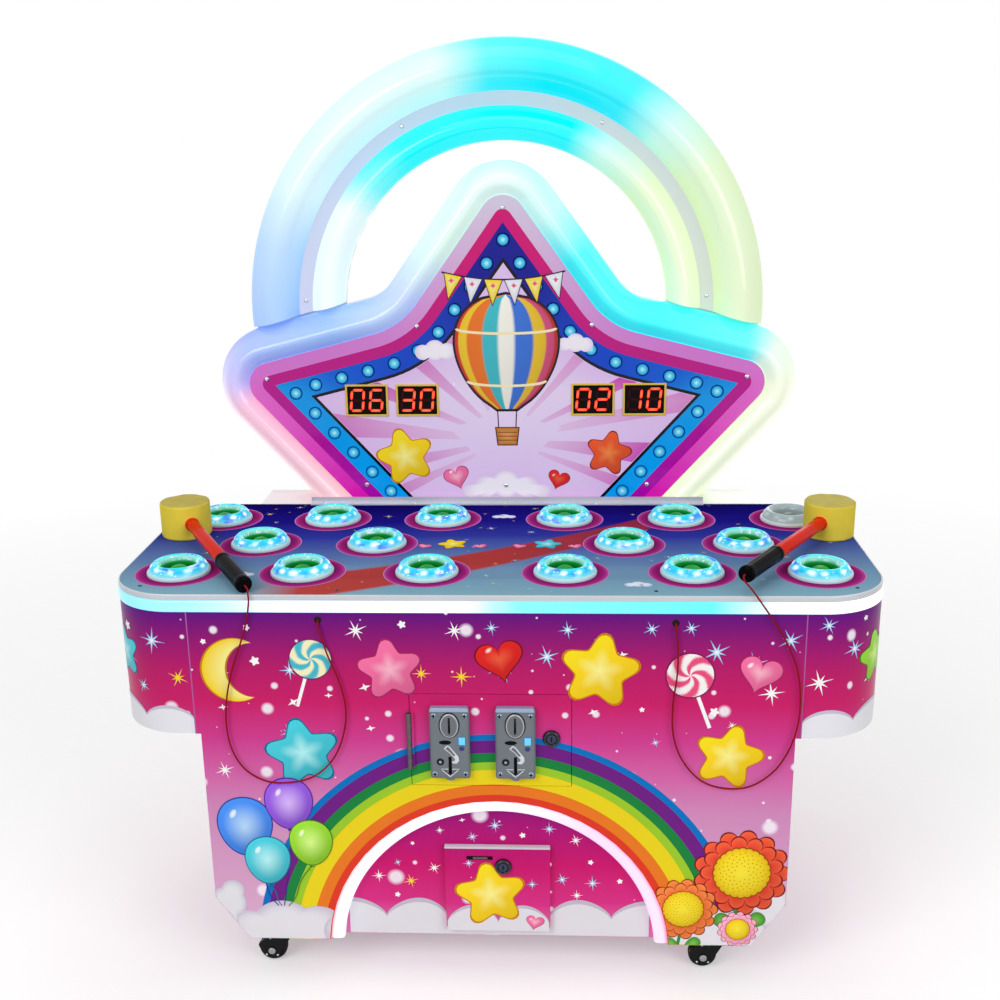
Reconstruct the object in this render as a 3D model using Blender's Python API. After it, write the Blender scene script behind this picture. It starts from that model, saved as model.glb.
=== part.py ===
"""Mallet arcade cabinet with sixteen pop-up moles, a star sign and a rainbow arch.

Metres, +Z up, the player stands at -Y.  The origin lies on the floor under the
middle of the cabinet.  Every size that can be set by itself is named below, and
each place is worked out from those sizes.
"""

import math

import bmesh
import bpy
from mathutils import Matrix, Vector

# Gaps and cuts
GAP = 0.0003
CLEARANCE = 0.001
OVERRUN = 0.02

# Cabinet
PANEL_LAP = 0.008
CASTER_HEIGHT = 0.078
PEDESTAL_HEIGHT = 0.396
WING_HEIGHT = 0.2174
FRONT_CORNER = 0.112
BACK_CORNER = 0.120
SHELF_DEPTH = 0.0993
FOOT_CHAMFER_WIDTH = 0.056
FOOT_CHAMFER_HEIGHT = 0.083
WALL = 0.018
WING_WALL = 0.012
PANEL_THICKNESS = 0.020
WINDOW_SIDE = 0.040
WINDOW_HEIGHT = 0.045

# Deck
BAND_HEIGHT = 0.0203
BAND_WALL = 0.008
BAND_PROUD = 0.0015
DECK_THICKNESS = 0.0098
TRIM_WALL = 0.0028

# Mole grid
MOLE_PITCH = 0.2118
MOLE_ROW_PITCH = 0.1505
MOLE_FRONT_ROW = 0.1103
MOLE_BACK_ROW = 0.1047
MOLE_PANEL_MARGIN = 0.0659
MOLE_WING_MARGIN = 0.100
MOLE_OUTER_COUNT = 3
MOLE_SPLIT = 0.0210

# Ring lens and mole
RING_RADIUS = 0.0535
RING_HEIGHT = 0.025
RING_BORE = 0.0290
RING_ROOT = 0.004
RING_LIP_SHARE = 0.72
MOLE_RADIUS = 0.0255
MOLE_TOP = 0.0130
MOLE_DOME = 0.030
MOLE_COLLAR_RADIUS = 0.030
MOLE_COLLAR = 0.004
MOLE_STROKE = 0.050
PLUNGER_RADIUS = 0.006
PLUNGER_LENGTH = 0.060

# Solenoid tray
TRAY_DROP = 0.0985
TRAY_THICKNESS = 0.003
TRAY_SIDE = 0.052
TRAY_END = 0.045
CAN_RADIUS = 0.020
CAN_LENGTH = 0.052

# Arch recess
ARCH_DROP = 0.020
RECESS_RADIUS = 0.2950
ARCH_LIGHT_WIDTH = 0.0235
ARCH_LIGHT_SETBACK = 0.004
RECESS_OVERLAP = 0.030
RECESS_THICKNESS = 0.012

# Coin door
COIN_DOOR_MARGIN = 0.0327
COIN_DOOR_BOTTOM = 0.3833
COIN_DOOR_HEIGHT = 0.1660
COIN_DOOR_THICKNESS = 0.015
HINGE_RADIUS = 0.004
HINGE_LENGTH = 0.100
HINGE_OFFSET = 0.0017
LEAF_WIDTH = 0.006

# Coin acceptors
ACCEPTOR_WIDTH = 0.0660
ACCEPTOR_HEIGHT = 0.1250
ACCEPTOR_PROUD = 0.0120
ACCEPTOR_BEVEL = 0.0030
ACCEPTOR_CORNER = 0.004
ACCEPTOR_LEFT_X = -0.0743
ACCEPTOR_SPACING = 0.1084
ACCEPTOR_BOTTOM = 0.4010
MECHANISM_WIDTH = 0.054
MECHANISM_HEIGHT = 0.118
MECHANISM_DEPTH = 0.055
CHIN_RADIUS = 0.010
CHIN_DROP = 0.005
BEZEL_WIDTH = 0.031
BEZEL_HEIGHT = 0.043
BEZEL_BELOW_TOP = 0.0270
BUTTON_PROUD = 0.003
BUTTON_TRAVEL = 0.003
BUTTON_DEPTH = 0.015
BUTTON_STOP = 0.0015
COIN_SLOT_WIDTH = 0.0038
COIN_SLOT_HEIGHT = 0.030
RETURN_SLOT_WIDTH = 0.0055
RETURN_SLOT_HEIGHT = 0.034
RETURN_SLOT_DEPTH = 0.009
RETURN_SLOT_BOTTOM = 0.0070
LIP_WIDTH = 0.030
LIP_HEIGHT = 0.014
LIP_PROUD = 0.0022
LIP_THICKNESS = 0.0035
LAMP_SIZE = 0.010
LAMP_PROUD = 0.0012
LAMP_X = 0.0200
LAMP_Z = 0.0690

# Locks
LOCK_BEZEL = 0.015
LOCK_BEZEL_PROUD = 0.006
LOCK_BARREL = 0.0095
LOCK_CAM_LENGTH = 0.042
LOCK_CAM_WIDTH = 0.010
LOCK_CAM_THICKNESS = 0.002
CAM_GAP = 0.002
KEY_WIDTH = 0.002
KEY_LENGTH = 0.010
KEY_DEPTH = 0.003
COIN_LOCK_INSET = 0.0265
COIN_LOCK_Z = 0.4713
CASH_LOCK_X = 0.0100
CASH_LOCK_Z = 0.2220

# Cash door and box
CASH_DOOR_WIDTH = 0.181
CASH_DOOR_HEIGHT = 0.161
CASH_DOOR_BOTTOM = 0.0975
CASH_DOOR_THICKNESS = 0.0095
CASH_DOOR_CORNER = 0.006
CASH_LIP = 0.0125
CASH_HINGE_RADIUS = 0.0035
CASH_HINGE_LENGTH = 0.120
CASH_HINGE_DROP = 0.003
CASH_BOX_WIDTH = 0.150
CASH_BOX_DEPTH = 0.200
CASH_BOX_HEIGHT = 0.120
CASH_BOX_WALL = 0.003
CASH_BOX_SETBACK = 0.048

# Star sign, heights above the deck
STAR_FOOT_REACH = 0.390
STAR_TIP_REACH = 0.6602
STAR_TIP_HEIGHT = 0.3002
STAR_WAIST_REACH = 0.2390
STAR_WAIST_HEIGHT = 0.4073
STAR_APEX_HEIGHT = 0.7391
STAR_TIP_RADIUS = 0.108
STAR_WAIST_RADIUS = 0.090
RIM_WIDTH = 0.064
RIM_BULGE = 0.036
RIM_FLANGE = 0.012
SIGN_WALL = 0.0035
RIM_SIDE_DEPTH = 0.033
FACE_SETBACK = 0.0645
FACE_THICKNESS = 0.003
BOARD_THICKNESS = 0.009
BOARD_INSET = 0.0010

# Rainbow arch
ARCH_CENTRE_HEIGHT = 0.3792
ARCH_RADIUS = 0.5010
RIDGE_OUTER_WIDTH = 0.094
RIDGE_FLAT_WIDTH = 0.028
RIDGE_INNER_WIDTH = 0.063
RIDGE_OUTER_BULGE = 0.042
RIDGE_INNER_BULGE = 0.030
ARCH_SIDE_DEPTH = 0.020
ARCH_GAP = 0.004
BOARD_LAP_ANGLE = 8.0

# Sign fittings
LEDGE_HEIGHT = 0.013
LEDGE_THICKNESS = 0.002
LEDGE_DEPTH = 0.0150
LEDGE_GAP = 0.0010
DISPLAY_X = 0.2223
DISPLAY_PITCH = 0.1002
DISPLAY_WIDTH = 0.083
DISPLAY_HEIGHT = 0.0627
DISPLAY_Z = 0.2065
DISPLAY_DEPTH = 0.014
DISPLAY_PROUD = 0.0005
BOARD_MARGIN = 0.006
CIRCUIT_THICKNESS = 0.002
POST_X = 0.120
POST_SIZE = 0.025
POST_WALL_GAP = 0.0100
POST_HEIGHT = 0.520
POST_FOOT = 0.060
POST_FOOT_THICKNESS = 0.004
CROSS_BAR_HEIGHT = 0.400

# Rear and inside
SERVICE_WIDTH = 0.380
SERVICE_HEIGHT = 0.300
SERVICE_BOTTOM = 0.250
SERVICE_THICKNESS = 0.0025
SERVICE_LAP = 0.020
VENT_COUNT = 6
VENT_WIDTH = 0.160
VENT_HEIGHT = 0.008
VENT_PITCH = 0.020
INLET_X = 0.300
INLET_Z = 0.180
INLET_WIDTH = 0.050
INLET_HEIGHT = 0.064
INLET_PROUD = 0.002
INLET_BODY_WIDTH = 0.040
INLET_BODY_HEIGHT = 0.054
INLET_BODY_DEPTH = 0.040
INLET_MOUTH_WIDTH = 0.024
INLET_MOUTH_HEIGHT = 0.018
INLET_MOUTH_DEPTH = 0.015
CONTROL_WIDTH = 0.300
CONTROL_DEPTH = 0.180
CONTROL_BASE = 0.004
CONTROL_SETBACK = 0.060
SUPPLY_WIDTH = 0.110
SUPPLY_DEPTH = 0.150
SUPPLY_HEIGHT = 0.050
LOGIC_HEIGHT = 0.018
LOGIC_WIDTH = 0.130

# Mallets
LEFT_MALLET_INSET = 0.0542
RIGHT_MALLET_INSET = 0.0455
MALLET_Y = 0.318
MALLET_RADIUS = 0.0452
MALLET_HEIGHT = 0.0655
MALLET_BEVEL = 0.003
MALLET_REACH = 0.3635
LEFT_MALLET_TURN = 59.4
RIGHT_MALLET_TURN = 57.8
HANDLE_RADIUS = 0.0115
GRIP_RADIUS = 0.0142
GRIP_LENGTH = 0.125
HANDLE_SEAT = 0.020

# Tether cords
CORD_RADIUS = 0.0015
CORD_HOLE_RADIUS = 0.004
LEFT_CORD_HOLE = (-0.2840, 0.6790)
RIGHT_CORD_HOLE = (0.2925, 0.6760)
CORD_LEAD = 0.005

# Casters
CASTER_INSET = 0.107
CASTER_Y = 0.055
CASTER_PLATE = 0.060
CASTER_PLATE_THICKNESS = 0.003
CASTER_TRAIL = 0.025
WHEEL_RADIUS = 0.025
WHEEL_WIDTH = 0.020
WHEEL_EDGE = 0.004
AXLE_RADIUS = 0.004
AXLE_CLEARANCE = 0.0005
HOOD_WIDTH = 0.033
HOOD_SLOT = 0.0225
HOOD_SLOT_TOP = 0.0525
HOOD_TOP = 0.0665
NECK_RADIUS = 0.018
PEDAL_REACH = 0.040
PEDAL_WIDTH = 0.020
PEDAL_THICKNESS = 0.004

# Steps along curves
CORNER_STEPS = 6
TIP_STEPS = 6
WAIST_STEPS = 3
RIDGE_STEPS = 5
ARCH_STEPS = 24
RECESS_STEPS = 24
ROUND_STEPS = 16
SMALL_ROUND_STEPS = 10
CAN_STEPS = 8
CORD_STEPS = 2
MOLE_STEPS = 10
RING_STEPS = 12
DOME_STEPS = 3
HEAD_STEPS = 28

# Levels and depths that follow from the sizes
BASE_Z = CASTER_HEIGHT
WING_Z = BASE_Z + PEDESTAL_HEIGHT
BAND_Z = WING_Z + WING_HEIGHT
TRIM_Z = BAND_Z + BAND_HEIGHT
DECK_Z = TRIM_Z + DECK_THICKNESS
SIGN_Z = DECK_Z + GAP
TRAY_Z = DECK_Z - TRAY_DROP
WING_DEPTH = MOLE_FRONT_ROW + MOLE_ROW_PITCH * 2 + MOLE_BACK_ROW
BODY_DEPTH = WING_DEPTH + GAP * 2 + BAND_PROUD + SHELF_DEPTH
FRONT_PROUD = ACCEPTOR_PROUD + BUTTON_PROUD
FRONT_Y = (FRONT_PROUD - BODY_DEPTH - SERVICE_THICKNESS - GAP) / 2
BACK_Y = FRONT_Y + BODY_DEPTH
BODY_FRONT = FRONT_Y + PANEL_THICKNESS + GAP
SHELF_Y = FRONT_Y + WING_DEPTH + GAP * 2 + BAND_PROUD
PANEL_WIDTH = MOLE_SPLIT + (MOLE_PITCH * (MOLE_OUTER_COUNT - 1) + MOLE_PANEL_MARGIN) * 2
PEDESTAL_WIDTH = PANEL_WIDTH - PANEL_LAP * 2
HALF_BODY = PEDESTAL_WIDTH / 2
HALF_PANEL = PANEL_WIDTH / 2
WING_REACH = MOLE_PITCH / 2 + MOLE_WING_MARGIN - MOLE_PANEL_MARGIN
HALF_DECK = HALF_PANEL + WING_REACH
CASTER_X = HALF_BODY - CASTER_INSET
BOARD_FRONT = BACK_Y - BOARD_THICKNESS
SIGN_BACK = BOARD_FRONT - GAP
RIM_SIDE_Y = SIGN_BACK - RIM_SIDE_DEPTH
ARCH_SIDE_Y = SIGN_BACK - ARCH_SIDE_DEPTH
SEAT_Y = RIM_SIDE_Y - RIM_BULGE + GAP
FACE_Y = SEAT_Y - GAP - FACE_THICKNESS
RECESS_Y = FRONT_Y + PANEL_THICKNESS + GAP
RECESS_CENTRE_Z = BASE_Z - ARCH_DROP
ARCH_CENTRE_Z = SIGN_Z + ARCH_CENTRE_HEIGHT
COIN_DOOR_LEFT = ACCEPTOR_LEFT_X - ACCEPTOR_WIDTH / 2 - COIN_DOOR_MARGIN
COIN_LOCK_X = ACCEPTOR_LEFT_X + ACCEPTOR_SPACING + ACCEPTOR_WIDTH / 2 + COIN_LOCK_INSET
COIN_DOOR_WIDTH = COIN_LOCK_X + COIN_DOOR_MARGIN - COIN_DOOR_LEFT
ACCEPTOR_TOP = ACCEPTOR_BOTTOM + ACCEPTOR_HEIGHT
BEZEL_Z = ACCEPTOR_TOP - BEZEL_BELOW_TOP
AXES = {"X": 0, "Y": 1, "Z": 2}


# Materials

def material(name, colour, roughness, metallic=0.0):
    """A Principled material, made once for each name."""
    found = bpy.data.materials.get(name)
    if found:
        return found
    made = bpy.data.materials.new(name)
    made.use_nodes = True
    shader = made.node_tree.nodes["Principled BSDF"]
    shader.inputs["Base Color"].default_value = (*colour, 1.0)
    shader.inputs["Roughness"].default_value = roughness
    shader.inputs["Metallic"].default_value = metallic
    return made


PRINT = ("printed_panel", (0.75, 0.10, 0.42), 0.30)
WOOD = ("painted_board", (0.62, 0.16, 0.45), 0.55)
DECK_PRINT = ("deck_print", (0.22, 0.36, 0.62), 0.20)
TRIM = ("pale_trim", (0.72, 0.72, 0.74), 0.40)
LIGHT = ("lit_acrylic", (0.70, 0.93, 1.00), 0.25)
MOLE = ("mole_green", (0.12, 0.62, 0.25), 0.40)
STEEL = ("plated_steel", (0.55, 0.56, 0.58), 0.35, 0.9)
DIECAST = ("grey_diecast", (0.38, 0.39, 0.41), 0.45, 0.8)
DARK = ("black_plastic", (0.02, 0.02, 0.025), 0.45)
FACE = ("sign_print", (0.80, 0.40, 0.75), 0.25)
YELLOW = ("yellow_foam", (0.93, 0.74, 0.25), 0.60)
RED = ("red_handle", (0.80, 0.08, 0.05), 0.35)
CORD = ("cord_red", (0.45, 0.10, 0.10), 0.50)
TYRE = ("tyre", (0.03, 0.03, 0.03), 0.60)


# Mesh making

def add_object(name, bm, finish=None):
    """Turn a bmesh into a named object with its faces pointing out."""
    bmesh.ops.remove_doubles(bm, verts=bm.verts, dist=GAP / 30)
    bmesh.ops.recalc_face_normals(bm, faces=bm.faces)
    mesh = bpy.data.meshes.new(name)
    bm.to_mesh(mesh)
    bm.free()
    made = bpy.data.objects.new(name, mesh)
    bpy.context.scene.collection.objects.link(made)
    if finish:
        mesh.materials.append(material(*finish))
    return made


def smooth(made, degrees=35.0):
    """Shade a round piece smooth, with its hard edges kept."""
    made.data.shade_smooth()
    made.data.set_sharp_from_angle(angle=math.radians(degrees))
    return made


def combine(target, other, operation):
    """Join or cut one solid with another, which is used up."""
    step = target.modifiers.new(operation.lower(), "BOOLEAN")
    step.operation = operation
    step.solver = "EXACT"
    step.object = other
    bpy.context.view_layer.update()
    graph = bpy.context.evaluated_depsgraph_get()
    mesh = bpy.data.meshes.new_from_object(target.evaluated_get(graph))
    target.modifiers.clear()
    mesh.name = target.name
    target.data = mesh
    bpy.data.objects.remove(other)
    return target


def cut(target, *cutters):
    """Take each cutter out of the target."""
    for cutter in cutters:
        combine(target, cutter, "DIFFERENCE")
    return target


def weld(target, *others):
    """Unite the target with each other solid."""
    for other in others:
        combine(target, other, "UNION")
    return target


def group(parts):
    """One mesh of several solids that don't touch, for use as a tool."""
    bm = bmesh.new()
    for part in parts:
        bm.from_mesh(part.data)
        bpy.data.objects.remove(part)
    return add_object("tool", bm)


def on_axis(point, along, axis):
    """Put a flat point and a distance along an axis into space."""
    u, v = point
    return {"X": Vector((along, u, v)), "Y": Vector((u, along, v)), "Z": Vector((u, v, along))}[axis]


def stack(sections, axis="Z", name="tool", finish=None):
    """A solid through flat outlines, each (outline, distance along the axis)."""
    bm = bmesh.new()
    rows = [[bm.verts.new(on_axis(p, along, axis)) for p in outline] for outline, along in sections]
    for low, high in zip(rows, rows[1:]):
        bridge(bm, low, high)
    bm.faces.new(rows[0])
    bm.faces.new(rows[-1])
    return add_object(name, bm, finish)


def bridge(bm, low, high):
    """Quads between two closed rows of the same length."""
    count = len(low)
    for i in range(count):
        j = (i + 1) % count
        bm.faces.new((low[i], low[j], high[j], high[i]))


def prism(outline, low, high, axis="Z", name="tool", finish=None):
    """A flat outline carried straight along an axis."""
    return stack([(outline, low), (outline, high)], axis, name, finish)


def block(x, y, z, name="tool", finish=None):
    """A rectangular bar between pairs of limits."""
    outline = [(x[0], y[0]), (x[1], y[0]), (x[1], y[1]), (x[0], y[1])]
    return prism(outline, z[0], z[1], "Z", name, finish)


def turned(profile, centre, axis="Z", steps=ROUND_STEPS, name="tool", finish=None, closed=False):
    """Turn a profile of (radius, distance along the axis) about an axis."""
    bm = bmesh.new()
    rows = []
    for radius, along in profile:
        if radius == 0:
            rows.append([bm.verts.new(on_axis(centre, along, axis))])
            continue
        rows.append([
            bm.verts.new(on_axis((centre[0] + radius * math.cos(turn), centre[1] + radius * math.sin(turn)),
                                 along, axis))
            for turn in (math.tau * k / steps for k in range(steps))
        ])
    pairs = list(zip(rows, rows[1:]))
    if closed:
        pairs.append((rows[-1], rows[0]))
    for low, high in pairs:
        if len(low) == 1 or len(high) == 1:
            fan(bm, low, high)
        else:
            bridge(bm, low, high)
    if not closed:
        for row in (rows[0], rows[-1]):
            if len(row) > 1:
                bm.faces.new(row)
    return add_object(name, bm, finish)


def fan(bm, low, high):
    """Triangles between a pole and a row."""
    pole, row = (low[0], high) if len(low) == 1 else (high[0], low)
    for i, vert in enumerate(row):
        bm.faces.new((pole, vert, row[(i + 1) % len(row)]))


def pipe(rows, name="tool", finish=None):
    """A solid through closed sections, capped at the first and the last."""
    bm = bmesh.new()
    made = [[bm.verts.new(point) for point in row] for row in rows]
    for low, high in zip(made, made[1:]):
        bridge(bm, low, high)
    bm.faces.new(made[0])
    bm.faces.new(made[-1])
    return add_object(name, bm, finish)


def pivot(made, point, parent=None):
    """Put a piece's origin on its joint's axis, under the piece that carries it."""
    made.data.transform(Matrix.Translation(-Vector(point)))
    made.location = point
    if parent:
        made.parent = parent
        made.location -= parent.location
    return made


# Flat outlines

def arc(centre, radius, start, end, steps):
    """Points on a round arc, angles in radians."""
    return [(centre[0] + radius * math.cos(start + (end - start) * k / steps),
             centre[1] + radius * math.sin(start + (end - start) * k / steps)) for k in range(steps + 1)]


def ellipse(centre, half_width, half_height, steps):
    """Points round an ellipse."""
    return [(centre[0] + half_width * math.cos(math.tau * k / steps),
             centre[1] + half_height * math.sin(math.tau * k / steps)) for k in range(steps)]


def fillet(before, corner, after, radius, steps):
    """The arc that rounds the corner between two straight runs."""
    here = Vector(corner)
    back = (Vector(before) - here).normalized()
    ahead = (Vector(after) - here).normalized()
    half = back.angle(ahead) / 2
    centre = here + (back + ahead).normalized() * (radius / math.sin(half))
    first = here + back * (radius / math.tan(half)) - centre
    last = here + ahead * (radius / math.tan(half)) - centre
    start = math.atan2(first.y, first.x)
    sweep = math.remainder(math.atan2(last.y, last.x) - start, math.tau)
    return arc(centre, radius, start, start + sweep, steps)


def rounded(corners):
    """An outline from corners given as (x, y, radius, steps)."""
    outline = []
    for i, (x, y, radius, steps) in enumerate(corners):
        if radius == 0:
            outline.append((x, y))
            continue
        before = corners[i - 1][:2]
        after = corners[(i + 1) % len(corners)][:2]
        outline += fillet(before, (x, y), after, radius, steps)
    return outline


def round_box(x, y, radius, steps=3):
    """A rectangle with equal round corners."""
    return rounded([(x[0], y[0], radius, steps), (x[1], y[0], radius, steps),
                    (x[1], y[1], radius, steps), (x[0], y[1], radius, steps)])


def crossing(point, direction, other, other_direction):
    """Where two straight lines meet."""
    scale = direction.cross(other_direction)
    return point + direction * ((other - point).cross(other_direction) / scale)


def inset(corners, distance):
    """Move each side of an outline in, but for the last, which is the foot."""
    count = len(corners)
    points = [Vector(corner[:2]) for corner in corners]
    sides = []
    for i in range(count):
        run = (points[(i + 1) % count] - points[i]).normalized()
        moved = distance if i < count - 1 else 0
        sides.append((points[i] + Vector((-run.y, run.x)) * moved, run))
    result = []
    for i, (_, _, radius, steps) in enumerate(corners):
        met = crossing(*sides[i - 1], *sides[i])
        turn = sides[i - 1][1].cross(sides[i][1])
        if radius:
            radius += distance if turn < 0 else -distance
        result.append((met.x, met.y, radius, steps))
    return result


def deck_outline(offset=0.0):
    """The rounded plan of the deck, moved in by an offset."""
    half = HALF_DECK - offset
    front = FRONT_Y + offset
    back = FRONT_Y + WING_DEPTH - offset
    return rounded([(-half, front, FRONT_CORNER - offset, CORNER_STEPS),
                    (half, front, FRONT_CORNER - offset, CORNER_STEPS),
                    (half, back, BACK_CORNER - offset, CORNER_STEPS),
                    (-half, back, BACK_CORNER - offset, CORNER_STEPS)])


def body_outline(offset, top, half_top):
    """The pedestal seen from the front, its foot corners cut off."""
    half = HALF_BODY - offset
    low = BASE_Z + offset
    shoulder = BASE_Z + FOOT_CHAMFER_HEIGHT
    toe = HALF_BODY - FOOT_CHAMFER_WIDTH - offset
    right = [(toe, low), (half, shoulder), (half, WING_Z), (half_top, WING_Z), (half_top, top)]
    if half_top == half:
        right = [(toe, low), (half, shoulder), (half, top)]
    return right + [(-x, z) for x, z in reversed(right)]


# Cabinet

def cabinet_body():
    """Carcass with an open front and top, a rear shelf and the caster plates."""
    top = BAND_Z - GAP
    body = prism(body_outline(0, top, HALF_BODY), BODY_FRONT, BACK_Y, "Y", "cabinet_body", WOOD)
    weld(body, block((-HALF_BODY, HALF_BODY), (SHELF_Y, BACK_Y), (BAND_Z - OVERRUN, DECK_Z)))
    inner = HALF_BODY - WALL
    cut(body, prism(body_outline(WALL, DECK_Z - WALL, inner), BODY_FRONT - OVERRUN, BACK_Y - WALL, "Y"))
    window = (FRONT_Y + WINDOW_SIDE, FRONT_Y + WING_DEPTH - WINDOW_SIDE)
    sill = TRAY_Z - TRAY_THICKNESS - GAP
    cut(body, block((-HALF_DECK, HALF_DECK), window, (sill, sill + WINDOW_HEIGHT)))
    cut(body, recess_notch(), service_opening(), inlet_opening())
    return weld(body, *[caster_plate(x, y) for x, y in caster_places()])


def recess_notch():
    """Room in the floor board for the recess panel."""
    reach = RECESS_RADIUS + RECESS_OVERLAP + CLEARANCE
    depth = RECESS_Y + RECESS_THICKNESS + GAP
    return block((-reach, reach), (BODY_FRONT - OVERRUN, depth), (BASE_Z - OVERRUN, BASE_Z + WALL + OVERRUN))


def service_opening():
    """Hole in the rear wall behind the service panel."""
    half = SERVICE_WIDTH / 2 - SERVICE_LAP
    low = SERVICE_BOTTOM + SERVICE_LAP
    high = SERVICE_BOTTOM + SERVICE_HEIGHT - SERVICE_LAP
    return block((-half, half), (BACK_Y - WALL - OVERRUN, BACK_Y + OVERRUN), (low, high))


def inlet_opening():
    """Hole in the rear wall for the power inlet."""
    half = INLET_BODY_WIDTH / 2 + CLEARANCE
    rise = INLET_BODY_HEIGHT / 2 + CLEARANCE
    return block((INLET_X - half, INLET_X + half), (BACK_Y - WALL - OVERRUN, BACK_Y + OVERRUN),
                 (INLET_Z - rise, INLET_Z + rise))


def front_panel():
    """Printed front with the arch, the coin door opening and the cord holes."""
    low, high = FRONT_Y, FRONT_Y + PANEL_THICKNESS
    panel = prism(body_outline(0, BAND_Z - GAP, HALF_PANEL), low, high, "Y", "front_panel", PRINT)
    span = (low - OVERRUN, high + OVERRUN)
    arch = half_ring(RECESS_RADIUS, RECESS_CENTRE_Z, BASE_Z, RECESS_STEPS)
    reach = arch[0][0]
    arch += [(-reach, BASE_Z - OVERRUN), (reach, BASE_Z - OVERRUN)]
    cut(panel, prism(arch, *span, "Y"))
    left = COIN_DOOR_LEFT - CLEARANCE
    right = COIN_DOOR_LEFT + COIN_DOOR_WIDTH + CLEARANCE
    bottom = COIN_DOOR_BOTTOM - CLEARANCE
    top = COIN_DOOR_BOTTOM + COIN_DOOR_HEIGHT + CLEARANCE
    cut(panel, block((left, right), span, (bottom, top)))
    for centre in (LEFT_CORD_HOLE, RIGHT_CORD_HOLE):
        cut(panel, prism(ellipse(centre, CORD_HOLE_RADIUS, CORD_HOLE_RADIUS, SMALL_ROUND_STEPS), *span, "Y"))
    return panel


def wing(name, side):
    """Rounded end of the deck box, open towards the body and at the top."""
    seam = HALF_PANEL + GAP
    wall = HALF_BODY + GAP
    back = FRONT_Y + WING_DEPTH

    def plan(offset, seam_x, wall_x):
        half = HALF_DECK - offset
        return rounded([(seam_x, FRONT_Y + offset, 0, 0),
                        (half, FRONT_Y + offset, FRONT_CORNER - offset, CORNER_STEPS),
                        (half, back - offset, BACK_CORNER - offset, CORNER_STEPS),
                        (wall_x, back - offset, 0, 0),
                        (wall_x, BODY_FRONT + offset, 0, 0),
                        (seam_x, BODY_FRONT + offset, 0, 0)])

    shell = prism(plan(0, seam, wall), WING_Z, BAND_Z - GAP, "Z", name, PRINT)
    hollow = plan(WING_WALL, seam - OVERRUN, wall - OVERRUN)
    cut(shell, prism(hollow, WING_Z + WING_WALL, BAND_Z + OVERRUN))
    if side < 0:
        mirror_mesh(shell)
    return smooth(shell, 20.0)


def mirror_mesh(made):
    """Turn a right-hand piece into a left-hand one."""
    bm = bmesh.new()
    bm.from_mesh(made.data)
    bm.transform(Matrix.Scale(-1, 4, Vector((1, 0, 0))))
    bmesh.ops.reverse_faces(bm, faces=bm.faces)
    bm.to_mesh(made.data)
    bm.free()


# Deck

def mole_places():
    """Hole centres: three rows, the middle one set between the others."""
    outer = [MOLE_SPLIT / 2 + MOLE_PITCH * (k + 0.5) for k in range(MOLE_OUTER_COUNT)]
    inner = [MOLE_SPLIT / 2 + MOLE_PITCH * (k + 1) for k in range(MOLE_OUTER_COUNT - 1)]
    places = []
    for row, reach in enumerate((outer, inner, outer)):
        y = FRONT_Y + MOLE_FRONT_ROW + MOLE_ROW_PITCH * row
        places += [(x, y) for x in sorted([-x for x in reach] + reach)]
    return places


def light_band():
    """Lit strip that stands under the trim all round the deck box."""
    low, high = BAND_Z, TRIM_Z - GAP
    band = prism(deck_outline(-BAND_PROUD), low, high, "Z", "light_band", LIGHT)
    cut(band, prism(deck_outline(BAND_WALL), low - OVERRUN, high + OVERRUN))
    return smooth(band)


def deck_trim():
    """Pale moulding round the edge of the playfield."""
    trim = prism(deck_outline(), TRIM_Z, DECK_Z, "Z", "deck_trim", TRIM)
    cut(trim, prism(deck_outline(TRIM_WALL), TRIM_Z - OVERRUN, DECK_Z + OVERRUN))
    return smooth(trim)


RING_SHARES = ((1.0, 0.20), (0.88, 0.50), (0.82, 0.88), (0.70, 1.0))


def ring_lens(place):
    """Domed ring lens, its root sunk in the board."""
    root = DECK_Z - RING_ROOT
    bore = RING_BORE + CLEARANCE
    profile = [(RING_RADIUS, root)]
    profile += [(RING_RADIUS * r, DECK_Z + RING_HEIGHT * h) for r, h in RING_SHARES]
    profile += [(bore, DECK_Z + RING_HEIGHT * RING_LIP_SHARE), (bore, root)]
    return turned(profile, place, "Z", RING_STEPS, closed=True)


def playfield():
    """Printed board with a ring lens seated round each hole."""
    board = prism(deck_outline(TRIM_WALL + GAP), TRIM_Z, DECK_Z, "Z", "playfield", DECK_PRINT)
    bores = [prism(ellipse(place, RING_BORE, RING_BORE, RING_STEPS), TRIM_Z - OVERRUN, DECK_Z + OVERRUN)
             for place in mole_places()]
    cut(board, group(bores))
    weld(board, group([ring_lens(place) for place in mole_places()]))
    return smooth(board, 30.0)


def mole(name, place):
    """Domed mole on a collar, with the plunger that the solenoid throws."""
    seat = TRAY_Z + GAP
    top = DECK_Z + MOLE_TOP
    dome = [(MOLE_RADIUS * math.cos(turn), top - MOLE_DOME * (1 - math.sin(turn)))
            for turn in (math.pi / 2 * k / DOME_STEPS for k in range(DOME_STEPS))]
    profile = [(0, seat - PLUNGER_LENGTH), (PLUNGER_RADIUS, seat - PLUNGER_LENGTH), (PLUNGER_RADIUS, seat),
               (MOLE_COLLAR_RADIUS, seat), (MOLE_COLLAR_RADIUS, seat + MOLE_COLLAR),
               (MOLE_RADIUS, seat + MOLE_COLLAR), *dome, (0, top)]
    return pivot(smooth(turned(profile, place, "Z", MOLE_STEPS, name, MOLE)), (*place, seat))


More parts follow.
